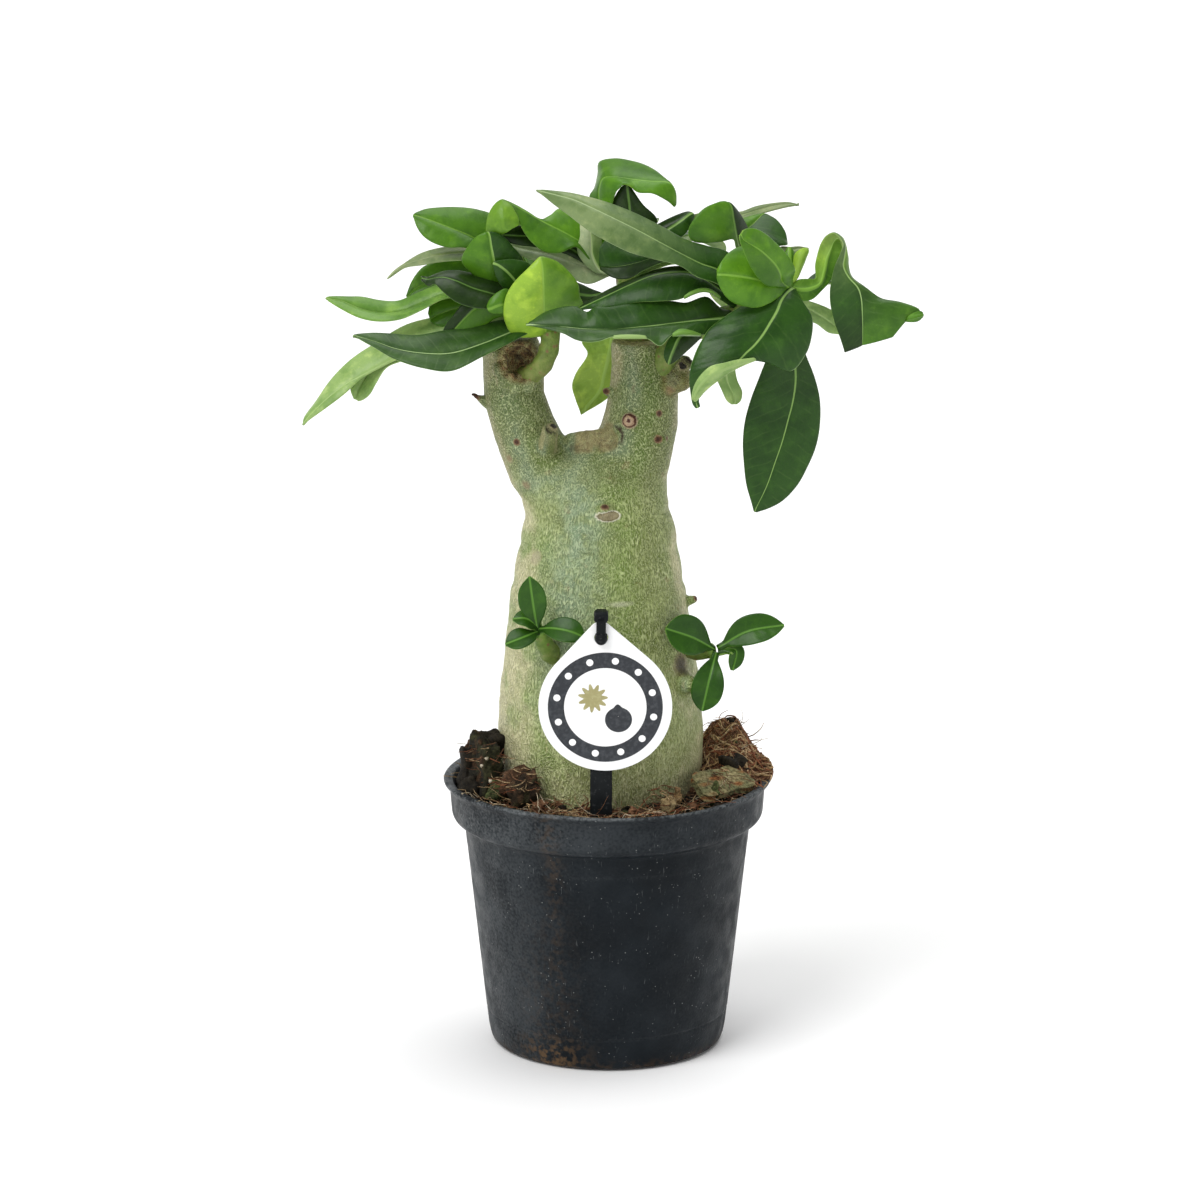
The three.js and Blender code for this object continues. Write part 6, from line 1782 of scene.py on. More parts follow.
def build_pot():
    """The turned wall and the floor, with dust on the edges, a painted sheen mixed into the dust on the
    front left, and dried soil low at the front.
    """
    # radius and height of the turned wall, up the outside and down the inside, and how round a corner is
    wall = [
        [FLOOR_REACH, 0],
        [POT_FOOT_RADIUS - 1.2, 0.4, 1.5],
        [POT_FOOT_RADIUS, POT_CORNER, 3],
        [POT_FOOT_RADIUS + 0.75, 11.4, 0.5],
        [POT_FOOT_RADIUS + 0.5, 12, 0.3],
        [POT_FOOT_RADIUS + 0.95, 12.7, 0.5],
        [POT_SHOULDER_RADIUS - 1.1, 73, 0.4],
        [POT_SHOULDER_RADIUS - 0.95, 74.2, 0.4],
        [POT_SHOULDER_RADIUS - 0.75, 75.4, 0.4],
        [POT_SHOULDER_RADIUS, POT_BAND_BOTTOM - 1.2, 1.6],
        [POT_BAND_RADIUS - 1.2, POT_BAND_BOTTOM + 0.5, 1],
        [POT_BAND_RADIUS - 0.1, POT_BAND_BOTTOM + 2.4, 1.4],
        [POT_BAND_RADIUS + 0.7, POT_HEIGHT - 3.4, 1.4],
        [POT_RIM_RADIUS - 0.3, POT_HEIGHT - 1.5, 0.6],
        [POT_RIM_RADIUS, POT_HEIGHT - 0.5, 0.5],
        [POT_RIM_RADIUS - 0.9, POT_HEIGHT, 0.3],
        [POT_BAND_RADIUS + 1 - POT_WALL, POT_HEIGHT - 0.6, 0.6],
        [POT_BAND_RADIUS - POT_WALL, POT_HEIGHT - 3, 0.8],
        [POT_BAND_RADIUS - POT_WALL, POT_BAND_BOTTOM + 3],
        [POT_SHOULDER_RADIUS - POT_WALL, POT_BAND_BOTTOM],
        [POT_FOOT_RADIUS - POT_WALL, POT_CORNER],
        [FLOOR_REACH, POT_WALL],
    ]
    points, faces = lathe(rounded(wall, 0.8), POT_SIDES, pot_bend)
    shape = Shape()
    add_floor(shape)
    shape.add(points, faces)
    points = np.concatenate(shape.points)
    angle = np.arctan2(points[:, 1], points[:, 0])
    z = points[:, 2]
    radius = np.hypot(points[:, 0], points[:, 1])
    lip = smooth_step(98.2, 99.4, z)
    band = smooth_step(83, 88, z) * smooth_step(54, 56, radius)
    # the pale that grows towards the front left is partly dust, partly a painted sheen where the key light
    # falls
    left = 0.5 + 0.5 * np.cos(angle - math.radians(205))
    right = 0.5 + 0.5 * np.cos(angle - math.radians(345))
    dust = 0.9 * lip + band * (0.1 + 0.2 * left**4) + 0.3 * left**8 + 0.08 * right**8
    dust += 0.3 * smooth_step(0.9, 0.2, np.abs(z - 84.2)) * smooth_step(54, 55.6, radius)
    dust += 0.08 * smooth_step(1.2, 0.2, np.abs(z - 12.2)) + 0.06 * smooth_step(1.4, 0.2, np.abs(z - 75))
    corner = hill(angle + math.radians(118), 0.25) * smooth_step(16, 4, z)
    spill = hill(angle + math.radians(112), 0.06) * smooth_step(66, 76, z) * 0.25
    dirt = np.maximum.reduce([corner, spill, 0.3 * smooth_step(5, 0.5, z)])
    shape.values = {"dust": [clamp(dust)], "dirt": [clamp(dirt)]}
    shape.build("pot_shell", pot_skin, replaces=["pot"])


def add_floor(shape):
    """The pot's floor: two flat sheets with round drain holes and the walls of the holes."""
    sector = 2 * math.pi / DRAIN_HOLES
    hole_angles = round_angles(HOLE_SIDES)
    faces = grid_faces(2, HOLE_SIDES, closed=True)
    for n in range(DRAIN_HOLES):
        middle = n * sector
        centre = np.array([DRAIN_CIRCLE * math.cos(middle), DRAIN_CIRCLE * math.sin(middle)])
        ring = circle(centre, DRAIN_RADIUS, hole_angles)
        outer = []
        for angle in hole_angles:
            direction = np.array([math.cos(angle), math.sin(angle)])
            outer.append(centre + direction * sector_reach(centre, direction, middle, sector))
        flat = np.concatenate([ring, outer])
        for height, sheet in ((0, flipped(faces)), (POT_WALL, faces)):
            shape.add(np.column_stack([flat, np.full(len(flat), height)]), sheet)
        walls = [np.column_stack([ring, np.full(HOLE_SIDES, height)]) for height in (0, POT_WALL)]
        shape.add(np.concatenate(walls), flipped(faces))


def sector_reach(centre, direction, middle, sector):
    """How far the floor's sector goes from a drain hole's centre in a direction."""
    least = 1e9
    for sign in (-1, 1):
        edge = middle + sign * sector / 2
        normal = np.array([-math.sin(edge), math.cos(edge)]) * sign
        speed = np.dot(direction, normal)
        if speed > 1e-9:
            least = min(least, -np.dot(centre, normal) / speed)
    along = np.dot(centre, direction)
    to_rim = -along + math.sqrt(along * along - np.dot(centre, centre) + FLOOR_REACH * FLOOR_REACH)
    return min(least, to_rim)


build_pot()


# ---------------------------------------------------------------- soil, lumps, chips and fibres
def soil_height(x, y):
    """The solid's own formula for the top of the soil."""
    edge = 1 - smooth_step(48, 55, np.hypot(x, y))
    heaps = sum(
        height * np.exp(-((x - cx) ** 2 + (y - cy) ** 2) / (wide * wide)) for cx, cy, wide, height in HEAPS
    )
    crumbs = np.sin(0.55 * x + 1.3 * np.sin(0.31 * y)) * np.cos(0.47 * y + np.sin(0.23 * x))
    return SOIL_LEVEL + heaps * (0.6 + 0.4 * edge) + CRUMB_HEIGHT * crumbs * edge


SOIL_REACH = 54.9
SOIL_SIDES = 300
WALL_SIDES = 120
# PEAT: dark brown peat, partly its own colour and partly painted shade from the shaded soil at the left
PEAT = (0.02, 0.016, 0.01)
COIR = (0.17, 0.085, 0.045)
STRAW = (0.42, 0.3, 0.17)
PALE_STRAW = (0.6, 0.5, 0.36)
RED_BROWN = (0.2, 0.075, 0.035)
MOSS = (0.07, 0.085, 0.03)
PERLITE = (0.6, 0.54, 0.42)
DARK_COIR = (0.08, 0.042, 0.022)
BARK_TAN = (0.32, 0.21, 0.1)
CHIP_BELT = (37, 53.5)  # between which radii chips, fibres and strands of the mat begin
FIBRE_BELT = (41, 54.5)
MAT_BELT = (33, 55.5)
random = np.random.default_rng(41)


def build_soil():
    """The soil's uneven top and, inside the pot, its plain sides and bottom."""
    shape = Shape()
    radii = np.concatenate([[0.01], np.linspace(30, SOIL_REACH, 64)])
    angles = round_angles(SOIL_SIDES)
    x = (radii[:, None] * np.cos(angles)).ravel()
    y = (radii[:, None] * np.sin(angles)).ravel()
    z = soil_height(x, y)
    flat = np.stack([x, y, 0 * x], 1)
    inside = 1 - smooth_step(51, SOIL_REACH, np.hypot(x, y))
    clods = 1.1 * np.abs(noise(flat, 4.2, 61)) + 0.8 * np.abs(noise(flat, 1.9, 62))
    clods = clods + 0.3 * noise(flat, 0.9, 63)
    z = z + (clods - 0.9) * (0.35 + 0.65 * inside)
    z = np.where(np.hypot(x, y) > SOIL_REACH - 0.01, SOIL_LEVEL - 2, z)
    kind = noise(flat, 7, 64) * 0.6 + noise(flat, 2.2, 65) * 0.5
    heap = smooth_step(2, 9, soil_height(x, y) - SOIL_LEVEL) * (x > 10)
    warm = clamp(smooth_step(0.1, 0.6, kind) * 0.5 + heap * 0.75)[:, None]
    tint = mixed(PEAT, np.array(COIR) * 0.7, warm)
    green = smooth_step(0.35, 0.7, noise(flat, 5, 66))[:, None] * 0.5 * (1 - heap[:, None])
    tint = mixed(tint, np.array(MOSS) * 0.7, green)
    shape.add(np.stack([x, y, z], 1), grid_faces(len(radii), SOIL_SIDES, closed=True), tint=tint)
    wall = POT_WALL + GAP
    profile = [
        (SOIL_REACH, SOIL_LEVEL - 2),
        (POT_BAND_RADIUS - wall - 0.3, POT_BAND_BOTTOM + 3.4),
        (POT_SHOULDER_RADIUS - wall, POT_BAND_BOTTOM),
        (POT_FOOT_RADIUS - wall, POT_CORNER + GAP),
        (POT_FOOT_RADIUS - POT_CORNER, SOIL_BOTTOM),
        (0.01, SOIL_BOTTOM),
    ]
    points, faces = lathe(profile, WALL_SIDES)
    shape.add(points, flipped(faces), tint=np.tile(PEAT, (len(points), 1)))
    shape.build("soil_bed", grit, replaces=["soil"])


def ball(rings, sides):
    """Points and faces of a unit ball."""
    polar = np.linspace(0, math.pi, rings + 2)[1:-1]
    azimuth = round_angles(sides)
    points = [[0, 0, 1]]
    for p in polar:
        points += [[math.sin(p) * math.cos(a), math.sin(p) * math.sin(a), math.cos(p)] for a in azimuth]
    points.append([0, 0, -1])
    faces = [(0, 1 + j, 1 + (j + 1) % sides) for j in range(sides)]
    faces += flipped(grid_faces(rings, sides, closed=True, start=1))
    last = len(points) - 1
    start = 1 + (rings - 1) * sides
    faces += [(last, start + (j + 1) % sides, start + j) for j in range(sides)]
    return np.array(points, float), faces


def lump_points(unit_ball, centre, half, turn, tilt, seed):
    """The solid's own formula for an angular lump, on a finer ball."""
    x, y, z = unit_ball.T
    dents = np.sin(5 * x + seed) + np.sin(4 * y + 2 * seed) + np.sin(6 * z + seed)
    push = 1 + LUMP_ROUGHNESS * dents
    square = np.sign(unit_ball) * np.abs(unit_ball) ** 0.62
    points = square * push[:, None] * np.asarray(half)
    return turn_z(turn_x(points, tilt), turn) + np.asarray(centre)


LUMP_LOOKS = {  # slot, height and size of the roughness, three colours
    "peat_lump_left": ("peat", 1.7, 3.2, (0.014, 0.012, 0.007), (0.032, 0.032, 0.013), (0.06, 0.032, 0.016)),
    "peat_lump_front": ("peat", 1.4, 2.8, (0.03, 0.02, 0.011), (0.09, 0.05, 0.027), (0.05, 0.045, 0.02)),
    "bark_chip": ("chip", 0.7, 5, (0.3, 0.26, 0.13), (0.17, 0.17, 0.08), (0.28, 0.12, 0.04)),
    "bark_crumb": ("chip", 0.5, 2, (0.3, 0.22, 0.11), (0.14, 0.08, 0.04), (0.36, 0.3, 0.16)),
}


def build_lump(name, slot, amount, size, *colours):
    """A lump of peat or a chip of bark, roughened, with its colours in grains."""
    centre, half, turn, tilt, seed = LUMPS[name]
    base, faces = ball(46, 72)
    points = lump_points(base, centre, half, turn, tilt, seed)
    outward = unit(points - np.asarray(centre))
    points = points + outward * (amount * rough(points, size, 3, seed) - 0.4 * amount)[:, None]
    grain = turn_z(points, -turn) * (0.35, 1, 1.2) if name.startswith("bark") else points
    pick = noise(grain, 3.4, seed + 5) + 0.5 * noise(grain, 1.3, seed + 6)
    first = smooth_step(-0.3, 0.5, pick)[:, None]
    second = smooth_step(0.2, 0.7, noise(grain, 2.4, seed + 8))[:, None]
    tint = mixed(mixed(colours[0], colours[1], first), colours[2], second)
    shape = Shape()
    shape.add(points, faces, tint=tint)
    shape.build(name + "_form", grit, replaces=[name])


def surface_spot(low, high, from_angle, to_angle):
    """A random place on the soil between two radii and two angles in degrees."""
    angle = math.radians(random.uniform(from_angle, to_angle))
    radius = random.uniform(low, high)
    x, y = radius * math.cos(angle), radius * math.sin(angle)
    return np.array([x, y, float(soil_height(x, y))])


CHIPS = [  # colour, size and count
    (PEAT, 1.3, 210),
    (BARK_TAN, 1.2, 70),
    (PERLITE, 0.7, 34),
    (MOSS, 1.1, 60),
    (COIR, 1.4, 80),
]


def build_chips():
    """Crumbs of peat and bark, grains of perlite and tufts of moss strewn over the soil."""
    shape = Shape()
    base, faces = ball(5, 8)
    for colour, size, count in CHIPS:
        for _ in range(count):
            spot = surface_spot(*CHIP_BELT, 0, 360)
            half = size * random.uniform(0.5, 1.5) * np.array([1.2, 0.8, 0.55])
            half = half * random.uniform(0.7, 1.3, 3)
            seed = int(random.integers(1, 900))
            points = base * half * (1 + 0.3 * noise(base, 0.9, seed))[:, None]
            points = turn_z(turn_x(points, random.uniform(-0.7, 0.7)), random.uniform(0, 6.28)) + spot
            points[:, 2] += 0.25 * half[2]
            tint = np.array(colour) * random.uniform(0.7, 1.35)
            shape.add(points, faces, tint=np.tile(tint, (len(points), 1)))
    shape.build("soil_chips", grit)


FIBRE_SIDES = 5
LIP_RADIUS = 54  # from here on a fibre of the mat lies over the pot's lip
RIM_RADIUS = 56  # and from here on every fibre does
FIBRE_REACH = 60.5  # no fibre goes further out


def fibre(shape, start, angle, length, radius, colour, rise, curl, hug=None):
    """One hair-like fibre that wanders from a place above the soil. hug keeps it that close to the soil."""
    steps = max(6, int(length / 1.6))
    heading, climb = angle, rise
    spot = np.array(start, float)
    path = [spot.copy()]
    for n in range(steps):
        heading += random.normal(0, 0.16) + curl / steps
        climb += random.normal(0, 0.12) - 0.9 * rise / steps
        level = math.cos(climb)
        move = np.array([math.cos(heading) * level, math.sin(heading) * level, math.sin(climb)])
        spot = spot + move * length / steps
        reach = math.hypot(spot[0], spot[1])
        ground = float(soil_height(spot[0], spot[1])) if reach < RIM_RADIUS else POT_HEIGHT
        spot[2] = max(spot[2], ground + radius)
        if hug is not None:
            arch = 1.1 * math.sin(math.pi * (n + 1) / steps)
            least = POT_HEIGHT if reach > LIP_RADIUS else 0
            spot[2] = max(ground + radius + hug * (0.3 + arch), least)
        path.append(spot.copy())
    path = np.array(path)
    over = np.hypot(path[:, 0], path[:, 1])
    path[:, :2] *= np.minimum(1, FIBRE_REACH / np.maximum(over, 1))[:, None]
    taper = radius * np.linspace(1, 0.45, len(path))
    tint = np.tile(colour, (len(path) * FIBRE_SIDES, 1))
    add_tube(shape, path, taper, FIBRE_SIDES, tint=tint, capped=False)


MAT_CENTRE = (46, 9)
MAT_REACH = 18
MAT_TRIES = 1000
STREWN = [  # fibres over the soil: between which angles, count, steepest rise and greatest length
    (0, 360, 380, 0.5, 12),
    (215, 330, 240, 0.8, 19),
    (-30, 50, 40, 0.9, 12),
]
TUFTS = [  # places on the lumps where fibres cling: centre, reach and count
    ((-31, -37, 107), 4.5, 70),
    ((-44, -22, 113), 5, 34),
    ((-38, -29, 104), 4, 40),
    ((42, -27, 104), 6, 30),
    ((20, -42, 102), 4, 24),
]


def one_of(*colours):
    return np.array(colours[int(random.integers(0, len(colours)))])


def build_fibres():
    """Loose fibres over the soil, more and longer ones along the front, and tufts on the lumps."""
    shape = Shape()
    for from_angle, to_angle, count, height, longest in STREWN:
        for _ in range(count):
            spot = surface_spot(*FIBRE_BELT, from_angle, to_angle)
            tint = one_of(STRAW, PALE_STRAW, COIR, RED_BROWN, BARK_TAN) * random.uniform(0.7, 1.3)
            angle, length = random.uniform(0, 6.28), random.uniform(4, longest)
            radius, rise = random.uniform(0.1, 0.26), random.uniform(0, height)
            fibre(shape, spot, angle, length, radius, tint, rise, random.normal(0, 1.2))
    for centre, reach, count in TUFTS:
        for _ in range(count):
            spot = np.array(centre) + random.normal(0, 0.5, 3) * reach
            tint = one_of(STRAW, COIR, RED_BROWN) * random.uniform(0.6, 1.2)
            angle, length = random.uniform(0, 6.28), random.uniform(3, 9)
            radius, rise = random.uniform(0.12, 0.26), random.uniform(-0.6, 0.3)
            fibre(shape, spot, angle, length, radius, tint, rise, random.normal(0, 1.5))
    shape.build("coir_fibres", grit)


def build_mat():
    """The block of coir at the right: strands that lie in loops round it, layer upon layer, the lower layers
    painted darker as shade.
    """
    shape = Shape()
    for _ in range(MAT_TRIES):
        angle = random.uniform(0, 2 * math.pi)
        reach = MAT_REACH * math.sqrt(random.uniform(0.01, 1))
        x = MAT_CENTRE[0] + reach * math.cos(angle) * 0.7
        y = MAT_CENTRE[1] + reach * math.sin(angle)
        if not MAT_BELT[0] <= math.hypot(x, y) <= MAT_BELT[1]:
            continue
        layer = random.uniform(0, 1)
        spot = (x, y, float(soil_height(x, y)) + 0.3)
        turn = angle + math.pi / 2 * random.choice([-1, 1]) + random.normal(0, 0.3)
        high = one_of(COIR, RED_BROWN, COIR, STRAW, BARK_TAN)
        # painted shade: the lower a strand lies in the mat, the more of the dark coir brown it takes
        share = clamp(0.1 + 1.1 * layer + random.normal(0, 0.15))
        tint = mixed(np.array(DARK_COIR) * 0.8, 1.35 * high, share)
        length, radius = random.uniform(9, 24), random.uniform(0.18, 0.5)
        curl = random.choice([-1, 1]) * random.uniform(0.4, 1.8)
        fibre(shape, spot, turn, length, radius, tint, 0, curl, 1.5 * layer)
    shape.build("coir_mat", grit)


# chunks of peat and bark beside the lumps: centre, half sizes, turn, tilt, seed, colour
CHUNKS = [
    ((-50, -12.5, 105), (3.6, 5, 9), 0.2, 0.2, 23, PEAT),
    ((-49, -20, 99.5), (3.4, 4, 4.4), 0.9, -0.3, 27, PEAT),
    ((-42, -11, 114), (5, 4, 5.6), 0.5, 0.3, 31, PEAT),
    ((-47.5, -8, 112.5), (3, 3, 3), 0.7, 0.5, 37, DARK_COIR),
    ((-39.5, -27, 100), (4.4, 3.6, 4.6), 0.4, 0.2, 33, MOSS),
    ((-35, -31, 104.5), (3.6, 3, 5), 1.2, 0.4, 35, DARK_COIR),
    ((-31, -33.5, 107), (5.4, 3.4, 4.2), 0.5, -0.3, 39, DARK_COIR),
    ((-24, -40.5, 98.5), (3, 2, 2.4), 0.8, 0.2, 43, COIR),
    ((25, -37.5, 101.5), (1.4, 1.2, 4.2), 0.3, 0.3, 47, BARK_TAN),
    ((38, -31, 101), (1, 2.4, 5), 0.8, 0.4, 51, MOSS),
    ((51, -16, 100), (3.6, 2.4, 1.8), 0.5, 0.2, 53, RED_BROWN),
    ((-3, -45, 98.6), (2.6, 1.8, 1.6), 0.2, 0.1, 57, BARK_TAN),
    ((9, -46, 98.4), (2.2, 1.4, 1.4), 0.9, 0.3, 59, COIR),
    ((45, -8, 104), (4, 5, 5), 0.7, 0.2, 61, PEAT),
]
GRAINS = [(-43.6, -25.8, 112.5), (-44.8, -25.2, 109.7), (-42, -26.8, 104.4)]


def build_chunks():
    """The chunks beside the lumps, and the few pale grains on the left one."""
    shape = Shape()
    base, faces = ball(18, 28)
    for centre, half, turn, tilt, seed, colour in CHUNKS:
        points = lump_points(base, centre, half, turn, tilt, seed)
        outward = unit(points - np.asarray(centre))
        points = points + outward * (1.1 * rough(points, 2.6, 3, seed) - 0.4)[:, None]
        shade = 0.75 + 0.6 * smooth_step(-0.4, 0.5, noise(points, 2.2, seed + 3))[:, None]
        shape.add(points, faces, tint=np.array(colour) * shade)
    base, faces = ball(5, 8)
    for n, spot in enumerate(GRAINS):
        points = base * (0.9, 0.7, 0.8) * (1 + 0.35 * noise(base, 0.9, n))[:, None] + spot
        shape.add(points, faces, tint=np.tile(PERLITE, (len(points), 1)))
    shape.build("peat_chunks", grit)


build_soil()
for name, look in LUMP_LOOKS.items():
    build_lump(name, *look)
build_chips()
build_fibres()
build_mat()
build_chunks()


# ---------------------------------------------------------------- label
def leaning(points):
    """From the label's own frame to the object's."""
    return turn_x(np.asarray(points, float), LABEL_LEAN) + np.asarray(LABEL_FOOT)


def swung(points):
    """The tag hangs a little askew about its hole."""
    points = np.asarray(points, float)
    c, s = math.cos(TAG_SWING), math.sin(TAG_SWING)
    x, z = points[:, 0], points[:, 2] - TAG_HOLE_CENTRE
    return np.stack([c * x - s * z, points[:, 1], TAG_HOLE_CENTRE + s * x + c * z], 1)


TAG_BACK = -STAKE_THICKNESS / 2 - GAP
TAG_FRONT = TAG_BACK - TAG_THICKNESS


def plate(shape, outline, hole, back, front, round_off=0.12):
    """A flat plate in the label's frame: outline and hole are matching loops of x and z."""
    outline, hole = np.asarray(outline, float), np.asarray(hole, float)
    count = len(outline)
    out_dir = unit(np.roll(outline, 1, 0) - np.roll(outline, -1, 0))[:, ::-1] * (1, -1)
    in_dir = unit(np.roll(hole, 1, 0) - np.roll(hole, -1, 0))[:, ::-1] * (-1, 1)
    rows = []
    for loop, direction, y, inset in (
        (hole, in_dir, back, 1),
        (outline, out_dir, back, 1),
        (outline, out_dir, back - round_off, 0),
        (outline, out_dir, front + round_off, 0),
        (outline, out_dir, front, 1),
        (hole, in_dir, front, 1),
        (hole, in_dir, front + round_off, 0),
        (hole, in_dir, back - round_off, 0),
        (hole, in_dir, back, 1),
    ):
        moved = loop - direction * round_off * inset
        rows.append(np.stack([moved[:, 0], np.full(count, y), moved[:, 1]], 1))
    faces = grid_faces(len(rows), count, closed=True)
    shape.add(leaning(swung(np.concatenate(rows))), flipped(faces))


def tag_outline():
    """The drop's outline, with the matching loop of its hole."""
    lift = TAG_TIP_CENTRE - TAG_CENTRE
    tangent = math.asin((TAG_RADIUS - TAG_TIP_RADIUS) / lift)
    tip = np.linspace(tangent, math.pi - tangent, 24)
    body = np.linspace(math.pi - tangent, 2 * math.pi + tangent, 96)
    side = np.linspace(0, 1, 14)[1:-1, None]
    tip_arc = circle((0, TAG_TIP_CENTRE), TAG_TIP_RADIUS, tip)
    body_arc = circle((0, TAG_CENTRE), TAG_RADIUS, body)
    left_side = tip_arc[-1] + (body_arc[0] - tip_arc[-1]) * side
    right_side = body_arc[-1] + (tip_arc[0] - body_arc[-1]) * side
    outline = np.concatenate([tip_arc, left_side, body_arc, right_side])
    about = outline - (0, TAG_HOLE_CENTRE)
    angles = np.unwrap(np.arctan2(about[:, 1], about[:, 0]))
    return outline, circle((0, TAG_HOLE_CENTRE), TAG_HOLE_RADIUS, angles)


INK_DEPTH = 0.05
INK_FRONT = TAG_FRONT - INK_DEPTH
RING_OUTER = 20.3
RING_INNER = 14.6
DOT_COUNT = 12
DOT_RADIUS = 1.25


def print_plate(shape, outline, centre, back=TAG_FRONT, front=INK_FRONT, round_off=0.015):
    """A printed patch: a hair-thin raised shape between its outline and its centre."""
    plate(shape, outline, centre + 0.02 * (outline - centre), back, front, round_off)


def build_label():
    """The white drop, and on it a ring with pale dots, a drop and a sun."""
    shape = Shape()
    outline, hole = tag_outline()
    plate(shape, outline, hole, TAG_BACK, TAG_FRONT)
    shape.build("tag_plate", tag_card, replaces=["label_tag"], smooth=False)

    full = round_angles(120)
    middle = np.array([0, TAG_CENTRE])
    dark = Shape()
    inner, outer = (circle(middle, radius, full) for radius in (RING_INNER, RING_OUTER))
    plate(dark, outer, inner, TAG_FRONT, INK_FRONT, 0.015)
    drop = np.array([4.4, TAG_CENTRE - 3.6])
    drop_radius = 4.6 * (1 - 0.28 * np.sin(full)) * (1 + 0.34 * hill(full - math.pi / 2, 0.3))
    print_plate(dark, circle(drop, drop_radius, full), drop)
    dark.build("tag_print_charcoal", ink, smooth=False)

    sun = Shape()
    sun_middle = np.array([-4.2, TAG_CENTRE + 3.6])
    rays = 4.3 * (1 + 0.24 * np.cos(11 * full))
    print_plate(sun, circle(sun_middle, rays, full), sun_middle)
    sun.build("tag_print_olive", olive_ink, smooth=False)

    dots = Shape()
    for n in range(DOT_COUNT):
        angle = 2 * math.pi * (n + 0.5) / DOT_COUNT
        spot = middle + (RING_OUTER + RING_INNER) / 2 * np.array([math.cos(angle), math.sin(angle)])
        disc = circle(spot, DOT_RADIUS, round_angles(28))
        print_plate(dots, disc, spot, INK_FRONT, TAG_FRONT - 1.7 * INK_DEPTH, 0.01)
    dots.build("tag_print_dots", tag_card, smooth=False)


def box_points(width, depth, bottom, top, y, bevel):
    """Points of an upright bar with bevelled long edges, ring by ring, with slightly drawn-in ends."""
    half_w, half_d = width / 2, depth / 2
    ring = []
    for quarter, (sx, sy) in enumerate(((1, 1), (-1, 1), (-1, -1), (1, -1))):
        corner = np.array([sx * (half_w - bevel), sy * (half_d - bevel)])
        for degree in range(0, 91, 30):
            radians = math.radians(90 * quarter + degree)
            ring.append(corner + bevel * np.array([math.cos(radians), math.sin(radians)]))
    ring = np.array(ring)
    rows = []
    for height, shrink in ((bottom, bevel), (bottom + bevel, 0), (top - bevel, 0), (top, bevel)):
        scaled = ring * (1 - shrink / np.array([half_w, half_d]) * 0.8)
        rows.append(np.column_stack([scaled[:, 0], scaled[:, 1] + y, np.full(len(ring), height)]))
    return np.concatenate(rows), len(ring)


def add_bar(shape, *sizes):
    """Adds the bar that box_points describes, with its ends closed."""
    points, count = box_points(*sizes)
    faces = grid_faces(4, count, closed=True)
    faces.append(tuple(range(count))[::-1])
    faces.append(tuple(range(3 * count, 4 * count)))
    shape.add(leaning(points), faces)


def build_stake():
    """The bar behind the tag, the hook over its top and the peg through its hole."""
    shape = Shape()
    reach = TAG_FRONT - GAP - STAKE_THICKNESS
    middle = reach + STAKE_THICKNESS / 2
    add_bar(shape, STAKE_WIDTH, STAKE_THICKNESS, STAKE_BOTTOM, STAKE_TOP - 8, 0, 0.45)
    add_bar(shape, HOOK_WIDTH - 0.8, STAKE_THICKNESS, STAKE_TOP - 9, HOOK_TOP, 0, 0.5)
    depth = STAKE_THICKNESS / 2 - reach
    foot = TAG_TIP_CENTRE + TAG_TIP_RADIUS + GAP
    add_bar(shape, HOOK_WIDTH, depth, foot, HOOK_TOP, (STAKE_THICKNESS / 2 + reach) / 2, 0.8)
    add_bar(shape, HOOK_WIDTH - 1.6, STAKE_THICKNESS, TAG_HOLE_CENTRE, HOOK_TOP - 1, middle, 0.6)
    base, faces = ball(14, 24)
    radius = TAG_HOLE_RADIUS - GAP
    shape.add(leaning(base * radius + (0, middle, TAG_HOLE_CENTRE)), faces)
    shape.build("stake_bar", stake_plastic, replaces=["label_stake"])


build_label()
build_stake()


# ---------------------------------------------------------------- stage, light and camera
WALL_TOP = 0.14  # height of the white wall, as the sine of its elevation
CEILING = 0.4  # its brightness
STAGE_REACH = 30  # metres
STAGE_DROP = 0.0004  # how far the floor is under the object, in metres


def build_floor():
    """A matt white floor, which isn't part of the object."""
    material = bpy.data.materials.new("studio_floor")
    material.use_nodes = True
    shader = material.node_tree.nodes["Principled BSDF"]
    shader.inputs["Base Color"].default_value = (0.9, 0.9, 0.9, 1)
    shader.inputs["Roughness"].default_value = 0.9
    shader.inputs["Specular IOR Level"].default_value = 0
    mesh = bpy.data.meshes.new("studio_floor")
    corners = [(STAGE_REACH * x, STAGE_REACH * y, 0) for x, y in ((-1, -1), (1, -1), (1, 1), (-1, 1))]
    mesh.from_pydata(corners, [], [(0, 1, 2, 3)])
    floor = bpy.data.objects.new("studio_floor", mesh)
    bpy.context.scene.collection.objects.link(floor)
    floor.data.materials.append(material)
    floor.location.z = -STAGE_DROP


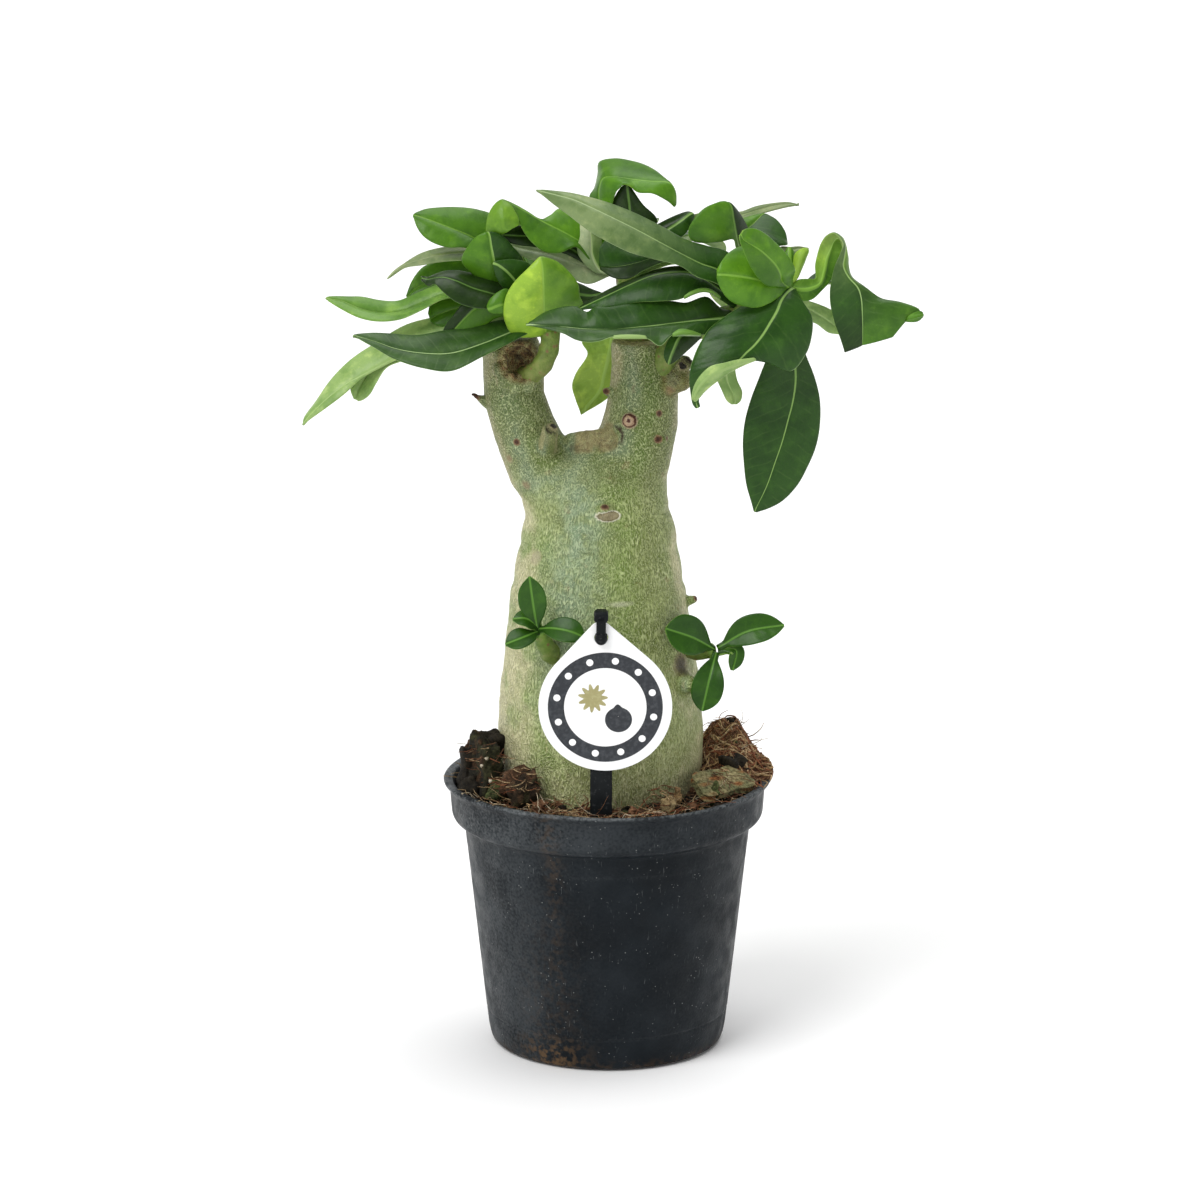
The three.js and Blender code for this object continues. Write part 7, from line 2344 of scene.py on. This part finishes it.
def add_sun(name, azimuth, elevation, strength, softness):
    """A wide soft light from a direction: azimuth in degrees from the front, to the right."""
    light = bpy.data.lights.new(name, "SUN")
    light.energy = strength
    light.angle = math.radians(softness)
    lamp = bpy.data.objects.new(name, light)
    bpy.context.scene.collection.objects.link(lamp)
    across, up = math.radians(azimuth), math.radians(elevation)
    source = Vector((math.sin(across) * math.cos(up), -math.cos(across) * math.cos(up), math.sin(up)))
    lamp.rotation_euler = (-source).to_track_quat("-Z", "Y").to_euler()
    lamp.location = source


def build_world():
    """A white wall all round under a dimmer ceiling."""
    world = bpy.data.worlds.new("studio_white")
    world.use_nodes = True
    tree = world.node_tree
    coordinates = tree.nodes.new("ShaderNodeTexCoord")
    parts = tree.nodes.new("ShaderNodeSeparateXYZ")
    height = tree.nodes.new("ShaderNodeMapRange")
    height.interpolation_type = "SMOOTHSTEP"
    height.inputs["From Min"].default_value = WALL_TOP
    height.inputs["From Max"].default_value = 3 * WALL_TOP
    height.inputs["To Min"].default_value = 1
    height.inputs["To Max"].default_value = CEILING
    tree.links.new(coordinates.outputs["Generated"], parts.inputs[0])
    tree.links.new(parts.outputs["Z"], height.inputs["Value"])
    tree.links.new(height.outputs["Result"], tree.nodes["Background"].inputs["Strength"])
    tree.nodes["Background"].inputs["Color"].default_value = (1, 1, 1, 1)
    bpy.context.scene.world = world


def build_camera():
    """The photograph's view."""
    data = bpy.data.cameras.new("photo_view")
    data.lens = CAMERA_LENS
    data.sensor_width = CAMERA_SENSOR
    data.sensor_fit = "HORIZONTAL"
    data.clip_end = 100
    camera = bpy.data.objects.new("photo_view", data)
    bpy.context.scene.collection.objects.link(camera)
    camera.location = Vector(CAMERA_PLACE) * MM
    camera.rotation_euler = (math.radians(90 - CAMERA_PITCH), 0, 0)
    bpy.context.scene.camera = camera


build_floor()
build_world()
build_camera()
add_sun("key_left", -42, 48, 1.9, 35)
add_sun("top_soft", 150, 76, 1.7, 50)
bpy.context.scene.view_settings.view_transform = "Standard"

bpy.context.view_layer.update()
